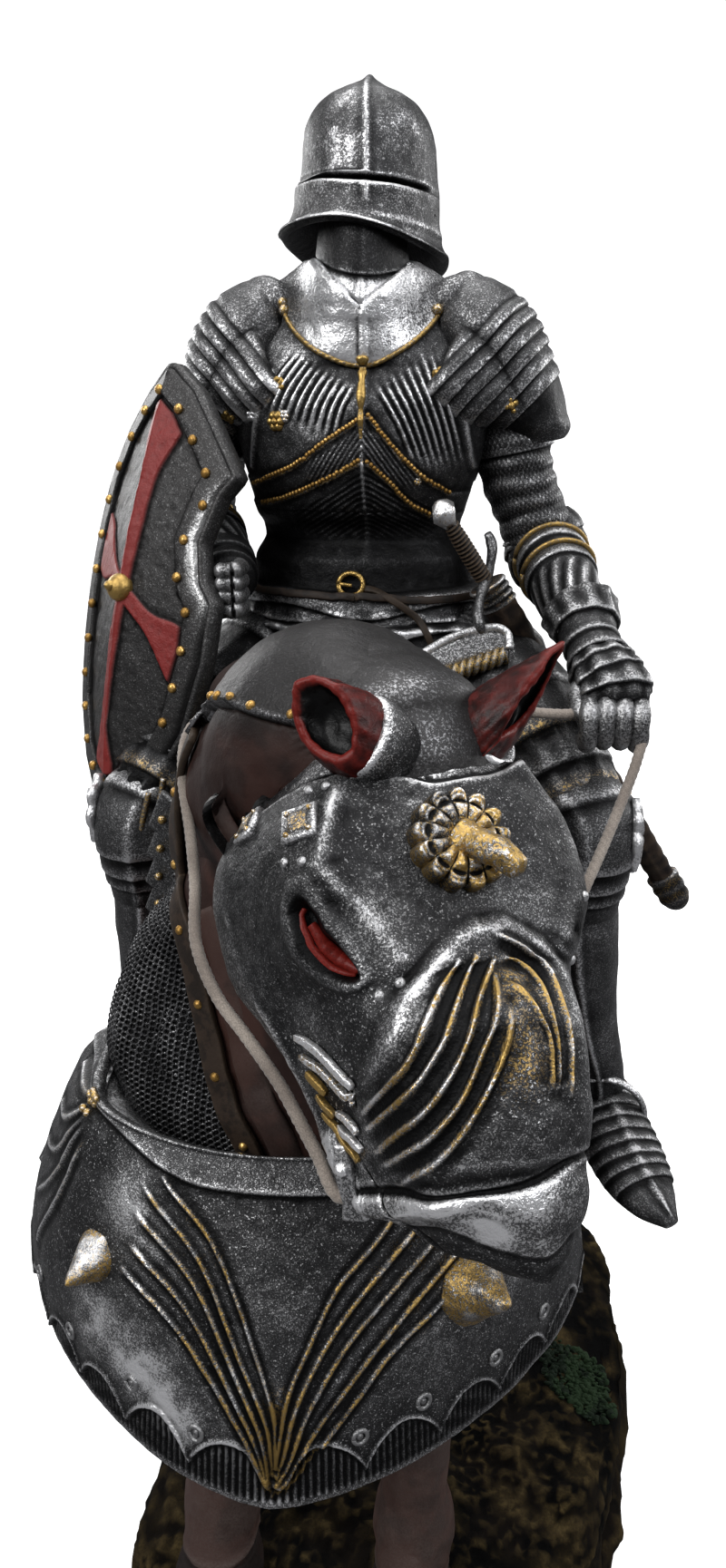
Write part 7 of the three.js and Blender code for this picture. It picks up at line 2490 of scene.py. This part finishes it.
def makeShield(values):
    R, C = 300, 170
    half = values["height"] / 2
    rows = np.array(shieldRows)[::-1]
    h = np.linspace(-1, 1, R)
    outer = np.interp(h, rows[:, 0], rows[:, 1])
    inner = np.interp(h, rows[:, 0], rows[:, 2])
    t = np.linspace(0, 1, C)
    w = (-outer[:, None] + (outer + inner)[:, None] * t[None]) * values["width"] / 2
    hh = h[:, None] * half + 0 * w
    outline = [[-r[1] * values["width"] / 2, r[0] * half] for r in shieldRows] \
        + [[r[2] * values["width"] / 2, r[0] * half] for r in shieldRows[::-1]]
    flat = np.stack([w, hh], -1)
    inside, _ = near(flat, np.array(outline + outline[:1]))
    height = np.zeros(w.shape)
    rub = np.zeros(w.shape)
    gilt = np.zeros(w.shape)
    red = np.zeros(w.shape)
    dark = np.zeros(w.shape)
    field = rise(inside, values["border"] - 0.25, values["border"] + 0.25)
    height += 0.9 * (1 - field) - 0.5 * (1 - rise(inside, 0, 0.9))
    rub += 0.07 * (1 - field)
    # painted highlight on the border at positive w, a little above the middle
    rub += (1 - field) * 0.95 * hill(hh - 8, 9) * rise(w, 2, 6) * (1 - rise(inside, 1.6, 2.6))
    # painted shade on the outer edge of the border's lower part at positive w
    dark += 0.75 * (1 - rise(inside, 0.8, 2.0)) * (1 - rise(hh, -6, 0)) * rise(w, 2, 6)
    # painted shade along the foot of the border's step
    dark += 0.6 * hill(inside - values["border"] - 0.5, 0.5)
    # the cross: thin arms that flare at their ends
    arm = values["armWidth"]
    upright = np.abs(w - 0.073 * hh) - arm - values["flare"] * rise(np.abs(hh + 2) / half, 0.45, 0.8) ** 2
    beamMiddle = np.where(w < 0, -0.51 * w, -0.76 * w)
    beam = np.abs(hh - beamMiddle) - arm * 1.15 - values["flare"] * 1.5 * rise(np.abs(w), 4, 14) ** 1.5
    cross = np.maximum(1 - rise(upright, -0.2, 0.2), (1 - rise(beam, -0.2, 0.2)))
    cross = cross * rise(inside, values["border"] + 0.6, values["border"] + 1.0)
    height += 0.55 * cross
    red += cross
    # painted shade beside the arms of the cross
    dark += 0.5 * field * (1 - cross) * hill(np.minimum(upright, beam) - 0.5, 0.4)
    rub += field * (1 - cross) * 0.04
    grain = 0.05 * noise3(flat[..., [0, 1, 1]] * (1, 1, 0), 0.9,
        4) + 0.06 * noise3(flat[..., [0, 1, 1]] * (1, 1, 0), 2.2, 6)
    height += grain * field + 0.1 * rough3(flat[..., [0, 1, 1]] * (1, 1, 0), 5, 9)
    rub += 0.3 * rise(noise3(flat[..., [0, 1, 1]] * (1, 1, 0), 0.8, 14), 0.55, 0.9) * field * (1 - cross)
    front = onShield(w, hh, height)
    marks = {"rub": np.clip(rub, 0, 1), "gilt": gilt, "red": red, "dark": np.clip(dark, 0, 1)}
    return plate(front, values["wall"] + 0.4, marks, outward=np.broadcast_to(shieldOut, front.shape))


def shieldFittings(values):
    parts = []
    # rolled rim
    outline = [[-r[1] * 22, r[0] * 40] for r in shieldRows] + [[r[2] * 22, r[0] * 40]
        for r in shieldRows[::-1]]
    line = np.array(outline + outline[:1])
    knots = chords(line)
    s = np.linspace(0, knots[-1], 330)
    w = np.interp(s, knots, line[:, 0])
    h = np.interp(s, knots, line[:, 1])
    w[-1], h[-1] = w[0], h[0]
    points = onShield(w, h, np.full(w.shape, -0.9))
    out = np.broadcast_to(shieldOut, points.shape)
    parts.append(ribbon(points, out, 1.8, 3.2, sides=12, roundness=2.6,
        marks={"rub": 0.08 + 0.1 * noise3(points, 5, 3)[:, None]}))
    # boss
    centre = onShield(np.array([-0.2]), np.array([0.2]), np.array([0.2]))[0]
    parts.append(dome(centre, shieldOut, 2.6, 2.4, marks={"gilt": 0.95, "rub": 0.3}, sides=20))
    parts.append(dome(centre + shieldOut * 1.6, shieldOut, 1.1, 1.7, marks={"gilt": 0.9, "rub": 0.5},
        sides=14))
    # straps behind
    for h0 in (-8.0, 12.0):
        h = np.full(30, h0)
        w = np.linspace(-15, 13, 30)
        arc = onShield(w, h, -values["wall"] - 0.6 - 3.4 * np.sin(np.linspace(0, math.pi, 30)))
        parts.append(ribbon(arc, np.broadcast_to(-shieldOut, arc.shape), 4, 0.9, sides=8, roundness=4,
            slot=1, marks={"rub": 0.15}))
    return parts


makePiece("shield_painted", [makeShield(shieldValues)] + shieldFittings(shieldValues),
    [shieldPaint, leatherPaint], "shield")


def shieldRivets():
    outline = np.array([[-r[1] * 22, r[0] * 40] for r in shieldRows] + [[r[2] * 22, r[0] * 40]
        for r in shieldRows[::-1]])
    middle = np.array([-1.5, -2.0])
    inset = outline + (middle - outline) * 4.2 / np.linalg.norm(middle - outline, axis=1)[:, None]
    line = np.concatenate([inset, inset[:1]])
    knots = chords(line)
    s = np.linspace(0, knots[-1], 27)[:-1]
    w = np.interp(s, knots, line[:, 0])
    h = np.interp(s, knots, line[:, 1])
    return onShield(w, h, np.full(w.shape, 1.05)), np.tile(shieldOut, (26, 1))


print("shield ready")

# The sword in its scabbard

swordValues = {"length": 92, "width": 6.4, "depth": 3.6, "guard": 19}
swordGuard = np.array([24.0, -15, 195.2])
swordAlong = unit(np.array([46.0, 32, -77]))


def makeSword(values):
    def at(run, *halves):
        return [*(swordGuard + swordAlong * run), *halves]

    parts = []
    w, d, long = values["width"] / 2, values["depth"] / 2, values["length"]
    grid = tube([at(0.5, w * 0.98, d), at(long * 0.3, w, d), at(long * 0.6, w, d),
        at(long * 0.93, w - 0.6, d - 0.2), at(long * 0.97, w - 0.7, d - 0.2)], (0, -1, 0), rings=220,
        sides=60, roundness=2.0)
    share = np.linspace(0, 1, 220)[:, None]
    angle = np.arange(60)[None] / 60 * 2 * math.pi
    wrap = np.sin(share * 150)
    height = 0.10 * rough3(grid, 4, 3) + 0.08 * wrap + 0.15 * hill(np.abs(np.cos(angle)), 0.2)
    # painted shade in the troughs of the scabbard's binding
    parts.append(loft(raised(grid, height), {"rub": 0.25 * rise(noise3(grid, 4, 5), 0, 1),
        "dark": 0.15 * (wrap < 0)}, slot=1))
    for run, length, scale in ((0.5, 5, 1.09), (27, 2.6, 1.08), (31, 1.0, 1.1), (56, 2.6, 1.08),
            (long - 9, 9.5, 1.07)):
        stations = [at(run, w * 0.9, d * 0.9), at(run + 0.3, w * scale, d * scale),
            at(run + length * 0.5, w * scale, d * scale), at(run + length - 0.3, w * scale, d * scale),
            at(run + length, w * 0.9, d * 0.9)]
        if run > 70:
            stations[-1] = at(run + length + 2, 0.6, 0.6)
            stations[-2] = at(run + length - 0.5, w * 0.95, d * 1.25)
        band = tube(stations, (0, -1, 0), rings=40, sides=60)
        band = raised(band, 0.15 * np.sin(np.linspace(0, 1, 40) * 22)[:, None] + 0 * angle)
        parts.append(loft(band, {"gilt": (0.55 if 10 < run < 70 else 0.14) + 0.2 * noise3(band, 2, 4),
            "rub": 0.05, "dark": 0.3}))
    # grip bound with wire
    grip = tube([at(-13.2, 1.2, 1.2), at(-9, 1.45, 1.45), at(-5, 1.5, 1.5), at(-0.5, 1.4, 1.4)], (0, -1, 0),
        rings=120, sides=30)
    turn = np.sin(np.linspace(0, 1, 120)[:, None] * 100 + np.arange(30)[None] / 30 * 2 * math.pi)
    # painted shade in the grooves of the wire, over a darker tone
    parts.append(loft(raised(grip, 0.16 * turn), {"rub": 0.12 * (turn > 0.3),
        "dark": 0.3 + 0.4 * (turn < -0.4)}, slot=1))
    # faceted pommel
    rings = []
    across = unit(np.cross(swordAlong, (0.2, 1, 0.1)))
    deep = np.cross(swordAlong, across)
    for run, half in ((-12.2, 1.1), (-13.2, 1.6), (-15.4, 3.0), (-16.8, 2.1), (-17.8, 0.5)):
        ring = []
        for k in range(4):
            for share in (0, 0.34, 0.66):
                a0, a1 = k * math.pi / 2 + 0.6, (k + 1) * math.pi / 2 + 0.6
                p = (1 - share) * np.array([math.cos(a0), math.sin(a0)]) + share * np.array([math.cos(a1),
                    math.sin(a1)])
                ring.append(swordGuard + swordAlong * run + (across * p[0] + deep * p[1]) * half)
        rings.append(ring)
    parts.append(loft(np.array(rings), {"rub": 0.6, "gilt": 0.15}))
    # S-curved guard with rolled ends
    cross = np.array([0.2, 0.85, 0.48])
    cross = unit(cross - (cross @ swordAlong) * swordAlong)
    line = [swordGuard + cross * share * values["guard"] + swordAlong * off for share,
        off in ((-0.5, 4.2), (-0.49, 3.0), (-0.42, 1.5), (-0.25, 0.5), (0, 0), (0.25, -0.5), (0.42, -1.5),
        (0.49, -3.0), (0.5, -4.2))]
    rows = even(line, 0.3)
    half = np.interp(np.linspace(-1, 1, len(rows)), [-1, -0.85, -0.4, 0, 0.4, 0.85, 1],
        [2.4, 3.4, 2.7, 4.0, 2.7, 3.4, 2.4])
    parts.append(ribbon(rows, np.tile((1.0, 0, 0), (len(rows), 1)), half * 0.7, half * 0.6, sides=20,
        marks={"rub": 0.03, "dark": 0.45}))
    return parts


makePiece("sword_sheathed", makeSword(swordValues), [pewterBright, leatherPaint], "sword")
repeated("chest_beads", beadTree, beadSpots, beadNormals, 0.42, (1, 1, 0.9), goldRub,
    "knight")
rivetSpots, rivetNormals = shieldRivets()
repeated("shield_rivets", beadTree, rivetSpots, rivetNormals, 0.95, (1, 1, 0.75), goldRub,
    "shield")
print("sword ready")

# Gold rivets, mail and beads by geometry nodes

linkRow, linkNormals, linkAlong = mailSpots, mailNormals, mailAlong
repeated("horse_mail", linkTree, linkRow, linkNormals, tackValues["linkRadius"], (1, 1, 1), pewterLink,
    "horse", along=linkAlong, tilt=0.5)


def strapStuds():
    rows = np.linspace(0.16, 0.93, 6)
    pick = (rows * (len(strapSpots) - 1)).astype(int)
    return strapSpots[pick] + strapNormals[pick] * 0.55, strapNormals[pick]


def crinetRivets():
    spots = []
    normals = []
    for y in (-66.5, -70.2, -73.8, -77.2, -80.4):
        z = float(np.interp(y, [-80, -73.7, -67, -62], [186.6, 187, 185.4, 183.4]))
        spot, normal, _, _ = crinetTree.ray_cast(Vector((-60, y, z)), Vector((1, 0, 0)))
        if spot is not None:
            spots.append(np.array(spot))
            normals.append(np.array(normal))
    return spots, normals


studs, studNormals = strapStuds()
repeated("strap_studs", beadTree, studs, studNormals, tackValues["studRadius"], (1, 1, 0.8), goldRub,
    "horse")
rivets, rivetDirections = crinetRivets()
repeated("neck_rivets", beadTree, rivets, rivetDirections, 0.75, (1, 1, 0.8), goldRub,
    "horse")


def mossPlaces():
    # clumps of moss on the rock, thickest beside the left foreleg
    random = np.random.default_rng(7)
    spots = []
    normals = []
    sizes = []
    for centre, reach, count in (([52.6, -2, 4], 8, 420), ([57, -9, 4], 5, 160), ([45, 5, 4], 5, 120),
            ([20, 40, 4], 9, 160), ([-30, 20, 4], 8, 120)):
        for _ in range(count):
            turn, far = random.random() * 2 * math.pi, reach * random.random() ** 0.7
            start = Vector((centre[0] + far * math.cos(turn), centre[1] + far * math.sin(turn), 40))
            spot, normal, _, _ = rockTree.ray_cast(start, Vector((0, 0, -1)))
            if spot is None or spot[2] > 14:
                continue
            spots.append(np.array(spot) + (0, 0, 0.1))
            normals.append(np.array(normal) + random.normal(0, 0.5, 3))
            sizes.append(np.array([0.6, 0.35, 1.0]) * (0.5 + random.random()))
    return spots, normals, sizes


mossSpots, mossNormals, mossSizes = mossPlaces()
repeated("moss_tufts", crumbTree, mossSpots, mossNormals, 1.1, mossSizes, mossPaint,
    "rock_base")
# Stage: a pale floor that curves up behind, and soft studio light

stageValues = {"half": 1.6, "backStart": 1.1, "height": 1.4}


def stagePaint():
    # pale in the picture, and dimmer where the metal would mirror it
    material, tree, shader = newMaterial("stagePaint")
    shader.inputs["Base Color"].default_value = (0.62, 0.62, 0.62, 1)
    shader.inputs["Roughness"].default_value = 0.9
    shader.inputs["Specular IOR Level"].default_value = 0.1
    path = addNode(tree, "ShaderNodeLightPath")
    glow = addNode(tree, "ShaderNodeEmission", {"Color": (1, 1, 1, 1), "Strength": 0.82})
    lit = addNode(tree, "ShaderNodeAddShader", {0: shader.outputs[0], 1: glow.outputs[0]})
    dim = addNode(tree, "ShaderNodeBsdfDiffuse", {"Color": (0.16, 0.16, 0.165, 1)})
    mix = addNode(tree, "ShaderNodeMixShader", {0: path.outputs["Is Camera Ray"], 1: dim.outputs[0],
        2: lit.outputs[0]})
    tree.links.new(mix.outputs[0], tree.nodes["Material Output"].inputs["Surface"])
    return material


def makeStage(values):
    rows = []
    for y in np.linspace(-values["half"], values["backStart"], 10):
        rows.append((y, 0.0))
    for turn in np.linspace(0, math.pi / 2, 14)[1:]:
        rows.append((values["backStart"] + 0.5 * math.sin(turn), 0.5 - 0.5 * math.cos(turn)))
    rows.append((values["backStart"] + 0.5, values["height"]))
    xs = (-values["half"], values["half"])
    verts = [(x, y, z) for y, z in rows for x in xs]
    faces = [(2 * k, 2 * k + 1, 2 * k + 3, 2 * k + 2) for k in range(len(rows) - 1)]
    mesh = bpy.data.meshes.new("floor")
    mesh.from_pydata(verts, [], faces)
    mesh.shade_smooth()
    mesh.materials.append(stagePaint())
    floor = bpy.data.objects.new("floor", mesh)
    bpy.context.scene.collection.objects.link(floor)


lightValues = {
    "front_left": {"place": (-0.75, -0.85, 1.05), "size": 0.75, "power": 15, "colour": (1, 1, 1)},
    "front_right": {"place": (0.75, -0.55, 0.9), "size": 0.55, "power": 7, "colour": (0.97, 0.98, 1)},
    "overhead": {"place": (0.0, 0.15, 1.1), "size": 0.7, "power": 9, "colour": (1, 1, 1)},
    "left_rim": {"place": (-0.8, 0.7, 0.5), "size": 0.5, "power": 5, "colour": (1, 1, 1)},
    "right_rim": {"place": (0.85, 0.6, 0.5), "size": 0.5, "power": 5, "colour": (1, 1, 1)},
}


def makeLights(values):
    aim = Vector((0, -0.02, 0.16))
    for name, light in values.items():
        data = bpy.data.lights.new(name, "AREA")
        data.shape = "SQUARE"
        data.size = light["size"]
        data.energy = light["power"]
        data.color = light["colour"]
        lamp = bpy.data.objects.new(name, data)
        lamp.location = light["place"]
        lamp.rotation_euler = (aim - Vector(light["place"])).to_track_quat("-Z", "Y").to_euler()
        bpy.context.scene.collection.objects.link(lamp)


def makeWorld():
    world = bpy.data.worlds.new("studio")
    world.use_nodes = True
    tree = world.node_tree
    path = addNode(tree, "ShaderNodeLightPath")
    around = tree.nodes["Background"]
    around.inputs[0].default_value = (0.5, 0.5, 0.52, 1)
    around.inputs[1].default_value = 0.35
    seen = addNode(tree, "ShaderNodeBackground", {"Color": (1, 1, 1, 1), "Strength": 1.0})
    mix = addNode(tree, "ShaderNodeMixShader", {0: path.outputs["Is Camera Ray"], 1: around.outputs[0],
        2: seen.outputs[0]})
    tree.links.new(mix.outputs[0], tree.nodes["World Output"].inputs["Surface"])
    bpy.context.scene.world = world


makeStage(stageValues)
makeLights(lightValues)
makeWorld()
bpy.context.scene.view_settings.view_transform = "Standard"
print("stage and light ready")
